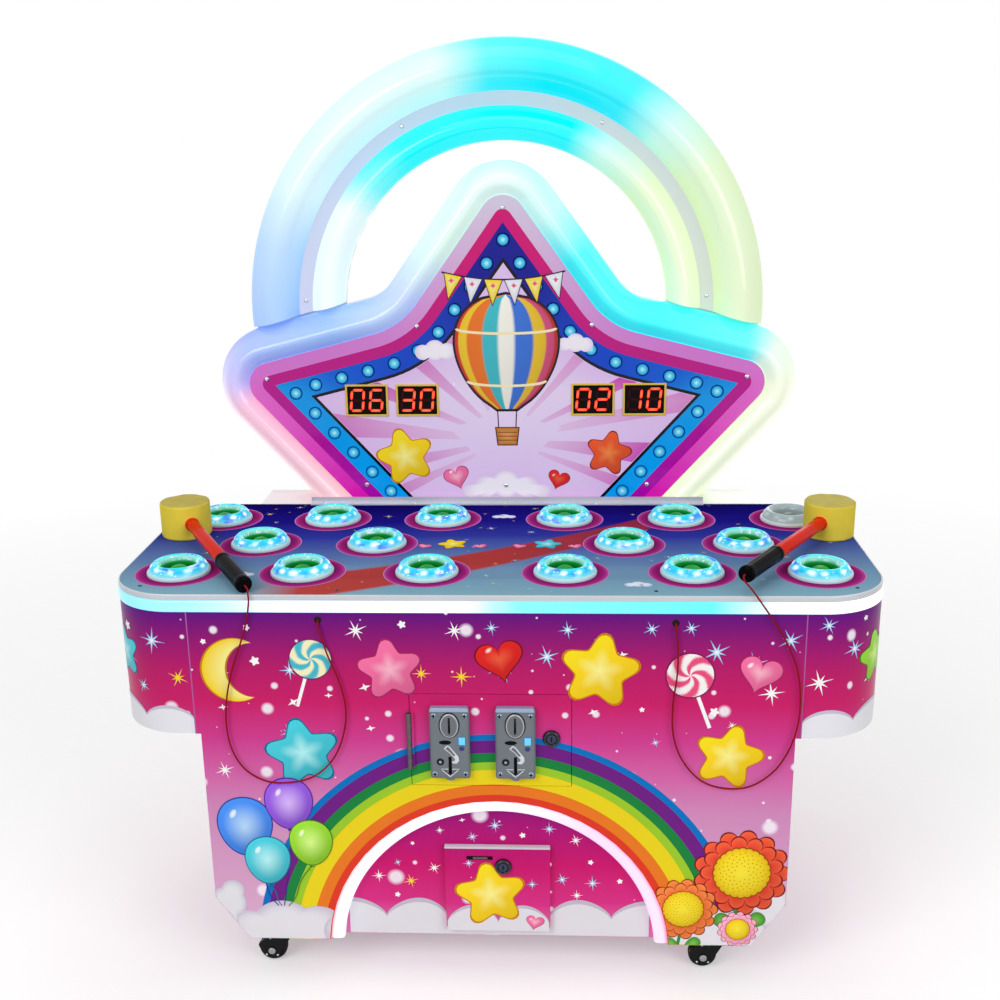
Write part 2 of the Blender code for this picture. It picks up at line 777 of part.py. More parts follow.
def solenoid_tray():
    """Steel tray on the window sills, with a guide can under each mole."""
    reach = HALF_DECK - TRAY_END
    span = (FRONT_Y + TRAY_SIDE, FRONT_Y + WING_DEPTH - TRAY_SIDE)
    low = TRAY_Z - TRAY_THICKNESS
    tray = block((-reach, reach), span, (low, TRAY_Z), "solenoid_tray", STEEL)
    bottom = low - CAN_LENGTH
    cans = [prism(ellipse(place, CAN_RADIUS, CAN_RADIUS, CAN_STEPS), bottom, low + TRAY_THICKNESS / 2)
            for place in mole_places()]
    weld(tray, group(cans))
    bore = PLUNGER_RADIUS + CLEARANCE
    bores = [prism(ellipse(place, bore, bore, CAN_STEPS), bottom - OVERRUN, TRAY_Z + OVERRUN)
             for place in mole_places()]
    return cut(tray, group(bores))


# Arch recess, cash door and box

def half_ring(radius, centre_z, floor, steps):
    """Arc over the top from the floor on the right to the floor on the left."""
    start = math.asin((floor - centre_z) / radius)
    return arc((0, centre_z), radius, start, math.pi - start, steps)


def recess_panel():
    """Printed panel at the back of the arch, with the cash opening."""
    outline = half_ring(RECESS_RADIUS + RECESS_OVERLAP, RECESS_CENTRE_Z, BASE_Z, RECESS_STEPS)
    panel = prism(outline, RECESS_Y, RECESS_Y + RECESS_THICKNESS, "Y", "recess_panel", PRINT)
    half = CASH_DOOR_WIDTH / 2 - CASH_LIP
    low = CASH_DOOR_BOTTOM + CASH_LIP
    high = CASH_DOOR_BOTTOM + CASH_DOOR_HEIGHT - CASH_LIP
    return cut(panel, block((-half, half), (RECESS_Y - OVERRUN, RECESS_Y + RECESS_THICKNESS + OVERRUN),
                            (low, high)))


ARCH_LIGHT_SHARES = ((0.0, 0.30), (0.15, 0.08), (0.40, 0.0), (0.60, 0.0), (0.85, 0.08), (1.0, 0.30))


def arch_light():
    """Lit tube that lines the arch, round at the front."""
    outer = RECESS_RADIUS - GAP
    front = FRONT_Y + ARCH_LIGHT_SETBACK
    back = RECESS_Y - GAP
    profile = [(outer, back)]
    profile += [(outer - ARCH_LIGHT_WIDTH * r, front + (back - front) * y) for r, y in ARCH_LIGHT_SHARES]
    profile += [(outer - ARCH_LIGHT_WIDTH, back)]
    strips = [half_ring(radius, RECESS_CENTRE_Z, BASE_Z, RECESS_STEPS) for radius, _ in profile]
    rows = [[Vector((strip[k][0], depth, strip[k][1])) for strip, (_, depth) in zip(strips, profile)]
            for k in range(RECESS_STEPS + 1)]
    return smooth(pipe(rows, "arch_light", LIGHT))


def cash_hinge():
    """Axis of the cash door's hinge, as depth and height."""
    return RECESS_Y - GAP - CASH_DOOR_THICKNESS + CASH_HINGE_RADIUS, CASH_DOOR_BOTTOM - CASH_HINGE_DROP


def cash_door():
    """Proud door with its hinge barrel along the foot."""
    half = CASH_DOOR_WIDTH / 2
    back = RECESS_Y - GAP
    front = back - CASH_DOOR_THICKNESS
    top = CASH_DOOR_BOTTOM + CASH_DOOR_HEIGHT
    outline = round_box((-half, half), (CASH_DOOR_BOTTOM, top), CASH_DOOR_CORNER)
    door = prism(outline, front, back, "Y", "cash_door", PRINT)
    reach = CASH_HINGE_LENGTH / 2
    barrel = ellipse(cash_hinge(), CASH_HINGE_RADIUS, CASH_HINGE_RADIUS, SMALL_ROUND_STEPS)
    weld(door, prism(barrel, -reach, reach, "X"))
    return cut(door, lock_hole(CASH_LOCK_X, CASH_LOCK_Z, front, back))


def lock_hole(x, z, front, back):
    """Round hole for a lock barrel."""
    radius = LOCK_BARREL + CLEARANCE
    return prism(ellipse((x, z), radius, radius, ROUND_STEPS), front - OVERRUN, back + OVERRUN, "Y")


def cam_lock(name, x, z, face, cam_y, cam_points_down):
    """Key lock: bezel on the door's face, barrel through it and a cam behind."""
    end = cam_y + LOCK_CAM_THICKNESS
    front = face - GAP - LOCK_BEZEL_PROUD
    chamfer = LOCK_BEZEL_PROUD / 3
    profile = [(0, front), (LOCK_BEZEL - chamfer, front), (LOCK_BEZEL, front + chamfer),
               (LOCK_BEZEL, face - GAP), (LOCK_BARREL, face - GAP), (LOCK_BARREL, end), (0, end)]
    lock = turned(profile, (x, z), "Y", ROUND_STEPS, name, STEEL)
    half = LOCK_CAM_WIDTH / 2
    if cam_points_down:
        arm = block((x - half, x + half), (cam_y, end + GAP), (z - LOCK_CAM_LENGTH, z))
    else:
        arm = block((x, x + LOCK_CAM_LENGTH), (cam_y, end + GAP), (z - half, z + half))
    weld(lock, arm)
    return cut(lock, block((x - KEY_WIDTH / 2, x + KEY_WIDTH / 2), (front - OVERRUN, front + KEY_DEPTH),
                           (z - KEY_LENGTH / 2, z + KEY_LENGTH / 2)))


def cash_box():
    """Open box that catches the coins, on the floor board behind its door."""
    half = CASH_BOX_WIDTH / 2
    low = BASE_Z + WALL + GAP
    front = FRONT_Y + CASH_BOX_SETBACK
    box = block((-half, half), (front, front + CASH_BOX_DEPTH), (low, low + CASH_BOX_HEIGHT), "cash_box", STEEL)
    wall = CASH_BOX_WALL
    return cut(box, block((wall - half, half - wall), (front + wall, front + CASH_BOX_DEPTH - wall),
                          (low + wall, low + CASH_BOX_HEIGHT + OVERRUN)))


# Coin door

def acceptor_x(index):
    """Centre of the left or right coin acceptor."""
    return ACCEPTOR_LEFT_X + ACCEPTOR_SPACING * index


def coin_hinge():
    """Axis of the coin door's hinge, seen from above."""
    return COIN_DOOR_LEFT - HINGE_OFFSET, FRONT_Y - HINGE_RADIUS - GAP * 2


def coin_door():
    """Flush door with a hinge barrel and openings for both acceptors."""
    right = COIN_DOOR_LEFT + COIN_DOOR_WIDTH
    top = COIN_DOOR_BOTTOM + COIN_DOOR_HEIGHT
    back = FRONT_Y + COIN_DOOR_THICKNESS
    door = block((COIN_DOOR_LEFT, right), (FRONT_Y, back), (COIN_DOOR_BOTTOM, top), "coin_door", PRINT)
    middle = (COIN_DOOR_BOTTOM + top) / 2
    span = (middle - HINGE_LENGTH / 2, middle + HINGE_LENGTH / 2)
    centre = coin_hinge()
    leaf = (COIN_DOOR_LEFT + GAP, COIN_DOOR_LEFT + LEAF_WIDTH)
    weld(door, block(leaf, (centre[1], FRONT_Y + HINGE_RADIUS / 2), span))
    weld(door, prism(ellipse(centre, HINGE_RADIUS, HINGE_RADIUS, SMALL_ROUND_STEPS), *span))
    for index in range(2):
        x = acceptor_x(index)
        half = MECHANISM_WIDTH / 2 + CLEARANCE
        z = ACCEPTOR_BOTTOM + ACCEPTOR_HEIGHT / 2
        rise = MECHANISM_HEIGHT / 2 + CLEARANCE
        cut(door, block((x - half, x + half), (FRONT_Y - OVERRUN, back + OVERRUN), (z - rise, z + rise)))
    return cut(door, lock_hole(COIN_LOCK_X, COIN_LOCK_Z, FRONT_Y, back))


def coin_acceptor(name, x):
    """Die-cast front with its coin mechanism behind it."""
    half = ACCEPTOR_WIDTH / 2
    back = FRONT_Y - GAP
    front = FRONT_Y - ACCEPTOR_PROUD
    full = round_box((x - half, x + half), (ACCEPTOR_BOTTOM, ACCEPTOR_TOP), ACCEPTOR_CORNER)
    edge = ACCEPTOR_BEVEL
    small = round_box((x - half + edge, x + half - edge), (ACCEPTOR_BOTTOM + edge, ACCEPTOR_TOP - edge),
                      ACCEPTOR_CORNER)
    body = stack([(full, back), (full, front + edge), (small, front)], "Y", name, DIECAST)
    chin = (x, ACCEPTOR_BOTTOM + CHIN_RADIUS - CHIN_DROP)
    weld(body, prism(ellipse(chin, CHIN_RADIUS, CHIN_RADIUS, ROUND_STEPS), front + edge, back, "Y"))
    z = ACCEPTOR_BOTTOM + ACCEPTOR_HEIGHT / 2
    width, rise = MECHANISM_WIDTH / 2, MECHANISM_HEIGHT / 2
    weld(body, block((x - width, x + width), (back - ACCEPTOR_BEVEL, FRONT_Y + MECHANISM_DEPTH),
                     (z - rise, z + rise)))
    weld(body, return_lip(x, front), lamp(x, front))
    bore = ellipse((x, BEZEL_Z), BEZEL_WIDTH / 2 + CLEARANCE, BEZEL_HEIGHT / 2 + CLEARANCE, ROUND_STEPS)
    floor = front - BUTTON_PROUD + BUTTON_DEPTH + BUTTON_TRAVEL + BUTTON_STOP
    cut(body, prism(bore, front - OVERRUN, floor, "Y"))
    low = ACCEPTOR_BOTTOM + RETURN_SLOT_BOTTOM
    slot = (x - RETURN_SLOT_WIDTH / 2, x + RETURN_SLOT_WIDTH / 2)
    return cut(body, block(slot, (front - OVERRUN, front + RETURN_SLOT_DEPTH), (low, low + RETURN_SLOT_HEIGHT)))


def return_lip(x, front):
    """Raised V round the lower end of the coin return slot."""
    low = ACCEPTOR_BOTTOM + RETURN_SLOT_BOTTOM - LIP_THICKNESS
    reach = LIP_WIDTH / 2
    top = low + LIP_HEIGHT
    outline = [(x, low), (x + reach, top), (x + reach - LIP_THICKNESS, top), (x, low + LIP_THICKNESS),
               (x + LIP_THICKNESS - reach, top), (x - reach, top)]
    return prism(outline, front - LIP_PROUD, front + ACCEPTOR_BEVEL, "Y")


def lamp(x, front):
    """Small window of the ready lamp."""
    half = LAMP_SIZE / 2
    z = ACCEPTOR_BOTTOM + LAMP_Z
    outline = round_box((x + LAMP_X - half, x + LAMP_X + half), (z - half, z + half), half / 2, 2)
    return prism(outline, front - LAMP_PROUD, front + ACCEPTOR_BEVEL, "Y")


def return_button(name, x):
    """Oval pressed bezel round the coin slot."""
    front = FRONT_Y - FRONT_PROUD
    edge = BUTTON_PROUD / 2
    full = ellipse((x, BEZEL_Z), BEZEL_WIDTH / 2, BEZEL_HEIGHT / 2, ROUND_STEPS)
    small = ellipse((x, BEZEL_Z), BEZEL_WIDTH / 2 - edge, BEZEL_HEIGHT / 2 - edge, ROUND_STEPS)
    button = stack([(full, front + BUTTON_DEPTH), (full, front + edge), (small, front)], "Y", name, DIECAST)
    half = COIN_SLOT_HEIGHT / 2
    return cut(button, block((x - COIN_SLOT_WIDTH / 2, x + COIN_SLOT_WIDTH / 2),
                             (front - OVERRUN, front + BUTTON_DEPTH + OVERRUN), (BEZEL_Z - half, BEZEL_Z + half)))


# Star sign

def star_corners():
    """The five-pointed star, cut off at its feet, anticlockwise from the right foot."""
    right = [(STAR_FOOT_REACH, SIGN_Z, 0, 0),
             (STAR_TIP_REACH, SIGN_Z + STAR_TIP_HEIGHT, STAR_TIP_RADIUS, TIP_STEPS),
             (STAR_WAIST_REACH, SIGN_Z + STAR_WAIST_HEIGHT, STAR_WAIST_RADIUS, WAIST_STEPS)]
    top = [(0, SIGN_Z + STAR_APEX_HEIGHT, STAR_TIP_RADIUS, TIP_STEPS)]
    return right + top + [(-x, z, radius, steps) for x, z, radius, steps in reversed(right)]


def star_outline(distance):
    """The star moved in by a distance, its foot line kept."""
    return rounded(inset(star_corners(), distance))


def moulded_wall(width, start_depth, end_depth, bulge, steps):
    """Front of a moulding: points (distance in, depth) over a round ridge."""
    points = []
    for k in range(steps + 1):
        share = k / steps
        depth = start_depth + (end_depth - start_depth) * share - bulge * math.sin(math.pi * share)
        points.append((width * share, depth))
    return points


def rim_front():
    """Outer face of the star's rim, from its side to the seat of the face."""
    return moulded_wall(RIM_WIDTH, RIM_SIDE_Y, SEAT_Y, RIM_BULGE, RIDGE_STEPS + 2)


def star_housing():
    """Translucent moulded rim that runs round the star from foot to foot."""
    outer = rim_front()
    inner = moulded_wall(RIM_WIDTH - 2 * SIGN_WALL, RIM_SIDE_Y, SEAT_Y, RIM_BULGE, RIDGE_STEPS)
    flange = RIM_WIDTH + RIM_FLANGE
    profile = [(0, SIGN_BACK)] + outer + [(flange, SEAT_Y), (flange, SEAT_Y + SIGN_WALL)]
    profile += [(SIGN_WALL + d, y + SIGN_WALL) for d, y in reversed(inner)]
    profile += [(SIGN_WALL, SIGN_BACK)]
    outlines = [star_outline(d) for d, _ in profile]
    rows = [[Vector((outline[k][0], depth, outline[k][1])) for outline, (_, depth) in zip(outlines, profile)]
            for k in range(len(outlines[0]))]
    return smooth(pipe(rows, "star_housing", LIGHT), 50.0)


def display_places():
    """Middles of the four score modules, two on each side."""
    return [(side * DISPLAY_X + step * DISPLAY_PITCH / 2, side) for side in (-1, 1) for step in (-1, 1)]


def star_face():
    """Printed panel that lies on the rim's inner flange."""
    face = prism(star_outline(FACE_SETBACK), FACE_Y, FACE_Y + FACE_THICKNESS, "Y", "star_face", FACE)
    z = SIGN_Z + DISPLAY_Z
    rise = DISPLAY_HEIGHT / 2 + CLEARANCE
    half = DISPLAY_WIDTH / 2 + CLEARANCE
    for x, _ in display_places():
        cut(face, block((x - half, x + half), (FACE_Y - OVERRUN, SEAT_Y + OVERRUN), (z - rise, z + rise)))
    return face


def score_display(name, side):
    """Two digit modules on one circuit board behind the face."""
    z = SIGN_Z + DISPLAY_Z
    back = FACE_Y + FACE_THICKNESS + DISPLAY_DEPTH
    reach = (DISPLAY_PITCH + DISPLAY_WIDTH) / 2 + BOARD_MARGIN
    rise = DISPLAY_HEIGHT / 2
    tall = rise + BOARD_MARGIN
    plate = FACE_Y + FACE_THICKNESS + GAP
    middle = side * DISPLAY_X
    board = block((middle - reach, middle + reach), (plate, plate + CIRCUIT_THICKNESS), (z - tall, z + tall),
                  name, DARK)
    for x, place in display_places():
        if place == side:
            half = DISPLAY_WIDTH / 2
            weld(board, block((x - half, x + half), (FACE_Y - DISPLAY_PROUD, back), (z - rise, z + rise)))
    return board


def star_ledge():
    """Metal angle screwed down in front of the rim, its foot on the playfield."""
    back = min(depth for _, depth in rim_front()) - LEDGE_GAP
    upright = back - LEDGE_THICKNESS
    front = back - LEDGE_DEPTH
    outline = [(front, SIGN_Z), (back, SIGN_Z), (back, SIGN_Z + LEDGE_HEIGHT), (upright, SIGN_Z + LEDGE_HEIGHT),
               (upright, SIGN_Z + LEDGE_THICKNESS), (front, SIGN_Z + LEDGE_THICKNESS)]
    return prism(outline, -STAR_FOOT_REACH, STAR_FOOT_REACH, "X", "star_ledge", STEEL)


# Rainbow arch

def arch_start(radius):
    """Angle at which a circle of the arch meets the gap over the star's shoulder."""
    slope = math.atan2(STAR_WAIST_HEIGHT - STAR_TIP_HEIGHT, STAR_TIP_REACH - STAR_WAIST_REACH)
    height = STAR_TIP_HEIGHT + math.tan(slope) * STAR_TIP_REACH + ARCH_GAP / math.cos(slope)
    return math.asin((height - ARCH_CENTRE_HEIGHT) * math.cos(slope) / radius) - slope


def arch_profile():
    """Closed section of the arch: (radius, depth) over both ridges and back."""
    step_one = RIDGE_OUTER_WIDTH
    step_two = step_one + RIDGE_FLAT_WIDTH
    whole = step_two + RIDGE_INNER_WIDTH
    big = moulded_wall(step_one, ARCH_SIDE_Y, ARCH_SIDE_Y, RIDGE_OUTER_BULGE, RIDGE_STEPS)
    small = moulded_wall(RIDGE_INNER_WIDTH, ARCH_SIDE_Y, ARCH_SIDE_Y, RIDGE_INNER_BULGE, RIDGE_STEPS - 1)
    under = moulded_wall(step_one - 2 * SIGN_WALL, ARCH_SIDE_Y, ARCH_SIDE_Y, RIDGE_OUTER_BULGE, RIDGE_STEPS - 2)
    lower = moulded_wall(RIDGE_INNER_WIDTH - 2 * SIGN_WALL, ARCH_SIDE_Y, ARCH_SIDE_Y, RIDGE_INNER_BULGE,
                         RIDGE_STEPS - 2)
    profile = [(0, SIGN_BACK)] + big + [(step_two + d, y) for d, y in small] + [(whole, SIGN_BACK)]
    profile += [(whole - SIGN_WALL, SIGN_BACK)]
    profile += [(step_two + SIGN_WALL + d, y + SIGN_WALL) for d, y in reversed(lower)]
    profile += [(SIGN_WALL + d, y + SIGN_WALL) for d, y in reversed(under)]
    profile += [(SIGN_WALL, SIGN_BACK)]
    return [(ARCH_RADIUS - d, y) for d, y in profile]


def arch_housing():
    """Translucent double-ridged arch that stands on the star's shoulders."""
    profile = arch_profile()
    rows = []
    for k in range(ARCH_STEPS + 1):
        row = []
        for radius, depth in profile:
            start = arch_start(radius)
            turn = start + (math.pi - 2 * start) * k / ARCH_STEPS
            row.append(Vector((radius * math.cos(turn), depth, ARCH_CENTRE_Z + radius * math.sin(turn))))
        rows.append(row)
    return smooth(pipe(rows, "arch_housing", LIGHT), 50.0)


def header_board():
    """Back board cut to the outline of the star and the arch together."""
    board = prism(star_outline(BOARD_INSET), BOARD_FRONT, BACK_Y, "Y", "header_board", TRIM)
    lap = math.radians(BOARD_LAP_ANGLE)
    whole = RIDGE_OUTER_WIDTH + RIDGE_FLAT_WIDTH + RIDGE_INNER_WIDTH
    centre = (0, ARCH_CENTRE_Z)
    ring = arc(centre, ARCH_RADIUS - BOARD_INSET, -lap, math.pi + lap, ARCH_STEPS)
    ring += arc(centre, ARCH_RADIUS - whole + BOARD_INSET, math.pi + lap, -lap, ARCH_STEPS)
    return weld(board, prism(ring, BOARD_FRONT, BACK_Y, "Y"))


def header_posts():
    """Two steel posts and a cross bar behind the face, bolted to the shelf."""
    back = BOARD_FRONT - GAP
    front = back - POST_SIZE
    half = POST_SIZE / 2
    bar = (SIGN_Z + CROSS_BAR_HEIGHT - half, SIGN_Z + CROSS_BAR_HEIGHT + half)
    posts = block((-POST_X, POST_X), (front, back), bar, "header_posts", STEEL)
    for x in (-POST_X, POST_X):
        weld(posts, block((x - half, x + half), (front, back), (SIGN_Z, SIGN_Z + POST_HEIGHT)))
        weld(posts, block((x - POST_FOOT / 2, x + POST_FOOT / 2), (front - POST_WALL_GAP, back),
                          (SIGN_Z, SIGN_Z + POST_FOOT_THICKNESS)))
    return posts


# Rear and inside

def service_panel():
    """Sheet over the rear opening, with vent slots."""
    half = SERVICE_WIDTH / 2
    low, high = BACK_Y + GAP, BACK_Y + GAP + SERVICE_THICKNESS
    top = SERVICE_BOTTOM + SERVICE_HEIGHT
    outline = round_box((-half, half), (SERVICE_BOTTOM, top), SERVICE_LAP / 2)
    panel = prism(outline, low, high, "Y", "service_panel", STEEL)
    middle = (SERVICE_BOTTOM + top) / 2
    for k in range(VENT_COUNT):
        z = middle + VENT_PITCH * (k - (VENT_COUNT - 1) / 2)
        slot = round_box((-VENT_WIDTH / 2, VENT_WIDTH / 2), (z - VENT_HEIGHT / 2, z + VENT_HEIGHT / 2),
                         VENT_HEIGHT / 3, 2)
        cut(panel, prism(slot, low - OVERRUN, high + OVERRUN, "Y"))
    return panel


def power_inlet():
    """Mains inlet with its mouth open to the rear."""
    flange = BACK_Y + GAP
    outer = flange + INLET_PROUD
    half, rise = INLET_WIDTH / 2, INLET_HEIGHT / 2
    outline = round_box((INLET_X - half, INLET_X + half), (INLET_Z - rise, INLET_Z + rise), INLET_PROUD * 2)
    inlet = prism(outline, flange, outer, "Y", "power_inlet", DARK)
    half, rise = INLET_BODY_WIDTH / 2, INLET_BODY_HEIGHT / 2
    weld(inlet, block((INLET_X - half, INLET_X + half), (outer - INLET_BODY_DEPTH, flange + INLET_PROUD / 2),
                      (INLET_Z - rise, INLET_Z + rise)))
    half, rise = INLET_MOUTH_WIDTH / 2, INLET_MOUTH_HEIGHT / 2
    return cut(inlet, block((INLET_X - half, INLET_X + half), (outer - INLET_MOUTH_DEPTH, outer + OVERRUN),
                            (INLET_Z - rise, INLET_Z + rise)))


def control_unit():
    """Base plate with the power supply and the game board, on the floor board."""
    low = BASE_Z + WALL + GAP
    back = BACK_Y - WALL - CONTROL_SETBACK
    front = back - CONTROL_DEPTH
    half = CONTROL_WIDTH / 2
    top = low + CONTROL_BASE
    unit = block((-half, half), (front, back), (low, top), "control_unit", STEEL)
    margin = (CONTROL_DEPTH - SUPPLY_DEPTH) / 2
    span = (front + margin, back - margin)
    left = margin - half
    weld(unit, block((left, left + SUPPLY_WIDTH), span, (low + CONTROL_BASE / 2, top + SUPPLY_HEIGHT)))
    right = half - margin
    return weld(unit, block((right - LOGIC_WIDTH, right), span, (low + CONTROL_BASE / 2, top + LOGIC_HEIGHT)))


# Mallets and their cords

def mallet_frame(side):
    """Head centre and the handle's direction for one mallet."""
    inset = LEFT_MALLET_INSET if side < 0 else RIGHT_MALLET_INSET
    centre = Vector((side * (HALF_DECK - inset), FRONT_Y + MALLET_Y, DECK_Z + GAP + MALLET_HEIGHT / 2))
    turn = math.radians(LEFT_MALLET_TURN if side < 0 else RIGHT_MALLET_TURN)
    droop = 0.0
    if side < 0:
        droop = math.asin((MALLET_HEIGHT / 2 - GRIP_RADIUS) / MALLET_REACH)
    flat = Vector((-side * math.cos(turn), -math.sin(turn), 0))
    return centre, (flat * math.cos(droop) - Vector((0, 0, math.sin(droop)))).normalized()


def along_handle(profile, side, steps, name="tool", finish=None):
    """Turn a profile and lay it along a mallet's handle."""
    made = turned(profile, (0, 0), "Z", steps, name, finish)
    centre, direction = mallet_frame(side)
    made.data.transform(Matrix.Translation(centre) @ direction.to_track_quat("Z", "Y").to_matrix().to_4x4())
    return made


def mallet_head(name, side):
    """Foam cylinder that stands on its flat end, bored for the handle."""
    centre, _ = mallet_frame(side)
    low = centre.z - MALLET_HEIGHT / 2
    high = centre.z + MALLET_HEIGHT / 2
    edge = MALLET_RADIUS - MALLET_BEVEL
    profile = [(0, low), (edge, low), (MALLET_RADIUS, low + MALLET_BEVEL), (MALLET_RADIUS, high - MALLET_BEVEL),
               (edge, high), (0, high)]
    head = turned(profile, centre[:2], "Z", HEAD_STEPS, name, YELLOW)
    bore = HANDLE_RADIUS + GAP
    cutter = [(0, -HANDLE_SEAT), (bore, -HANDLE_SEAT), (bore, MALLET_RADIUS * 2), (0, MALLET_RADIUS * 2)]
    cut(head, along_handle(cutter, side, SMALL_ROUND_STEPS))
    return smooth(head)


def mallet_handle(name, side):
    """Rod with a thicker grip, rounded at its far end."""
    inner = GAP - HANDLE_SEAT
    grip = MALLET_REACH - GRIP_LENGTH
    round_end = MALLET_REACH - GRIP_RADIUS / 2
    profile = [(0, inner), (HANDLE_RADIUS, inner), (HANDLE_RADIUS, grip), (GRIP_RADIUS, grip + MALLET_BEVEL),
               (GRIP_RADIUS, round_end), (GRIP_RADIUS / 2, MALLET_REACH), (0, MALLET_REACH)]
    return smooth(along_handle(profile, side, SMALL_ROUND_STEPS, name, RED))


LEFT_CORD_ROUTE = (
    (-0.3948, -0.0016, 0.7322), (-0.3937, -0.0048, 0.7262), (-0.3933, -0.0065, 0.7110), (-0.3990, -0.0065, 0.6800),
    (-0.4110, -0.0065, 0.6420), (-0.4270, -0.0065, 0.5990), (-0.4405, -0.0065, 0.5480), (-0.4458, -0.0065, 0.4960),
    (-0.4395, -0.0065, 0.4480), (-0.4190, -0.0065, 0.4110), (-0.3840, -0.0065, 0.3900), (-0.3430, -0.0065, 0.3885),
    (-0.3030, -0.0065, 0.4010), (-0.2700, -0.0065, 0.4330), (-0.2510, -0.0065, 0.4770), (-0.2448, -0.0065, 0.5240),
    (-0.2530, -0.0065, 0.5720), (-0.2700, -0.0065, 0.6200), (-0.2820, -0.0060, 0.6640), (-0.2840, 0.0000, 0.6785),
    (-0.2840, 0.0120, 0.6790))
RIGHT_CORD_ROUTE = (
    (0.3975, 0.0020, 0.7505), (0.4000, -0.0022, 0.7460), (0.4100, -0.0060, 0.7350), (0.4270, -0.0065, 0.7110),
    (0.4500, -0.0065, 0.6770), (0.4720, -0.0065, 0.6380), (0.4880, -0.0065, 0.5960), (0.4950, -0.0065, 0.5480),
    (0.4925, -0.0065, 0.4980), (0.4795, -0.0065, 0.4530), (0.4560, -0.0065, 0.4150), (0.4190, -0.0065, 0.3890),
    (0.3760, -0.0065, 0.3860), (0.3380, -0.0065, 0.4010), (0.3080, -0.0065, 0.4370), (0.2925, -0.0065, 0.4820),
    (0.2908, -0.0065, 0.5350), (0.2960, -0.0065, 0.5853), (0.2968, -0.0065, 0.6330), (0.2930, -0.0060, 0.6650),
    (0.2925, 0.0000, 0.6755), (0.2925, 0.0120, 0.6760))


def smooth_route(route):
    """Points on a smooth curve through a route, evenly parted between its points."""
    ends = [2 * route[0] - route[1]] + route + [2 * route[-1] - route[-2]]
    points = []
    for a, b, c, d in zip(ends, ends[1:], ends[2:], ends[3:]):
        for k in range(CORD_STEPS):
            t = k / CORD_STEPS
            points.append(0.5 * (2 * b + (c - a) * t + (2 * a - 5 * b + 4 * c - d) * t * t
                                 + (3 * b - a - 3 * c + d) * t ** 3))
    return points + [route[-1]]


def tether_cord(name, side, route):
    """Thin cord from the end of a grip, looping down the front to its hole."""
    centre, direction = mallet_frame(side)
    lead = [centre + direction * (MALLET_REACH + ahead) for ahead in (GAP, CORD_LEAD)]
    points = smooth_route(lead + [Vector((x, FRONT_Y + y, z)) for x, y, z in route])
    curve = bpy.data.curves.new(name, "CURVE")
    curve.dimensions = "3D"
    curve.bevel_depth = CORD_RADIUS
    curve.bevel_resolution = 2
    curve.use_fill_caps = True
    line = curve.splines.new("POLY")
    line.points.add(len(points) - 1)
    for target, point in zip(line.points, points):
        target.co = (*point, 1.0)
    made = bpy.data.objects.new(name, curve)
    bpy.context.scene.collection.objects.link(made)
    curve.materials.append(material(*CORD))
    return made


# Casters

def caster_places():
    """Swivel axes under the four corners of the pedestal."""
    return [(x, y) for y in (FRONT_Y + CASTER_Y, BACK_Y - CASTER_Y) for x in (-CASTER_X, CASTER_X)]


def caster_plate(x, y):
    """Mounting plate, made as one with the floor board."""
    half = CASTER_PLATE / 2
    return block((x - half, x + half), (y - half, y + half), (BASE_Z - CASTER_PLATE_THICKNESS, BASE_Z + GAP))


HOOD_SHARES = ((-0.34, 1.0, 0.3), (-1.02, 0.56, 0.3), (-0.72, 0.16, 0.2), (-0.28, 0.16, 0.2), (0.02, 0.56, 0.3),
               (0.36, 1.0, 0.1))


def caster_fork(name, x, y):
    """Swivel hood over the wheel, with its axle and brake pedal."""
    reach = CASTER_TRAIL * 2
    radius = WHEEL_RADIUS
    side = rounded([(x + reach * u, HOOD_TOP * v, radius * r, 3) for u, v, r in HOOD_SHARES])
    half = HOOD_WIDTH / 2
    fork = prism(side, y - half, y + half, "Y", name, DARK)
    top = BASE_Z - CASTER_PLATE_THICKNESS - GAP
    weld(fork, prism(ellipse((x, y), NECK_RADIUS, NECK_RADIUS, SMALL_ROUND_STEPS), HOOD_SLOT_TOP + GAP, top))
    slot = HOOD_SLOT / 2
    room = (x - CASTER_TRAIL - radius - OVERRUN, x - CASTER_TRAIL + radius + CLEARANCE)
    cut(fork, block(room, (y - slot, y + slot), (-OVERRUN, HOOD_SLOT_TOP)))
    axle = ellipse((x - CASTER_TRAIL, radius), AXLE_RADIUS, AXLE_RADIUS, SMALL_ROUND_STEPS)
    weld(fork, prism(axle, y - half - CLEARANCE, y + half + CLEARANCE, "Y"))
    start = x + NECK_RADIUS / 2
    pedal = [(start, HOOD_SLOT_TOP), (x + PEDAL_REACH, HOOD_TOP - PEDAL_THICKNESS), (x + PEDAL_REACH, HOOD_TOP),
             (start, HOOD_TOP)]
    return weld(fork, prism(pedal, y - PEDAL_WIDTH / 2, y + PEDAL_WIDTH / 2, "Y"))


def caster_wheel(name, x, y):
    """Wheel with rounded edges and a bore for the axle."""
    half = WHEEL_WIDTH / 2
    bore = AXLE_RADIUS + AXLE_CLEARANCE
    rim = WHEEL_RADIUS - WHEEL_EDGE
    profile = [(bore, y - half), (rim, y - half), (WHEEL_RADIUS, y - half + WHEEL_EDGE),
               (WHEEL_RADIUS, y + half - WHEEL_EDGE), (rim, y + half), (bore, y + half)]
    return smooth(turned(profile, (x - CASTER_TRAIL, WHEEL_RADIUS), "Y", ROUND_STEPS, name, TYRE, closed=True))


# Assembly

def build_cabinet():
    """Body, panels and everything on the deck."""
    cabinet_body()
    front_panel()
    wing("left_wing", -1)
    wing("right_wing", 1)
    light_band()
    deck_trim()
    playfield()
    solenoid_tray()
    for number, place in enumerate(mole_places(), 1):
        mole(f"mole_{number:02d}", place)


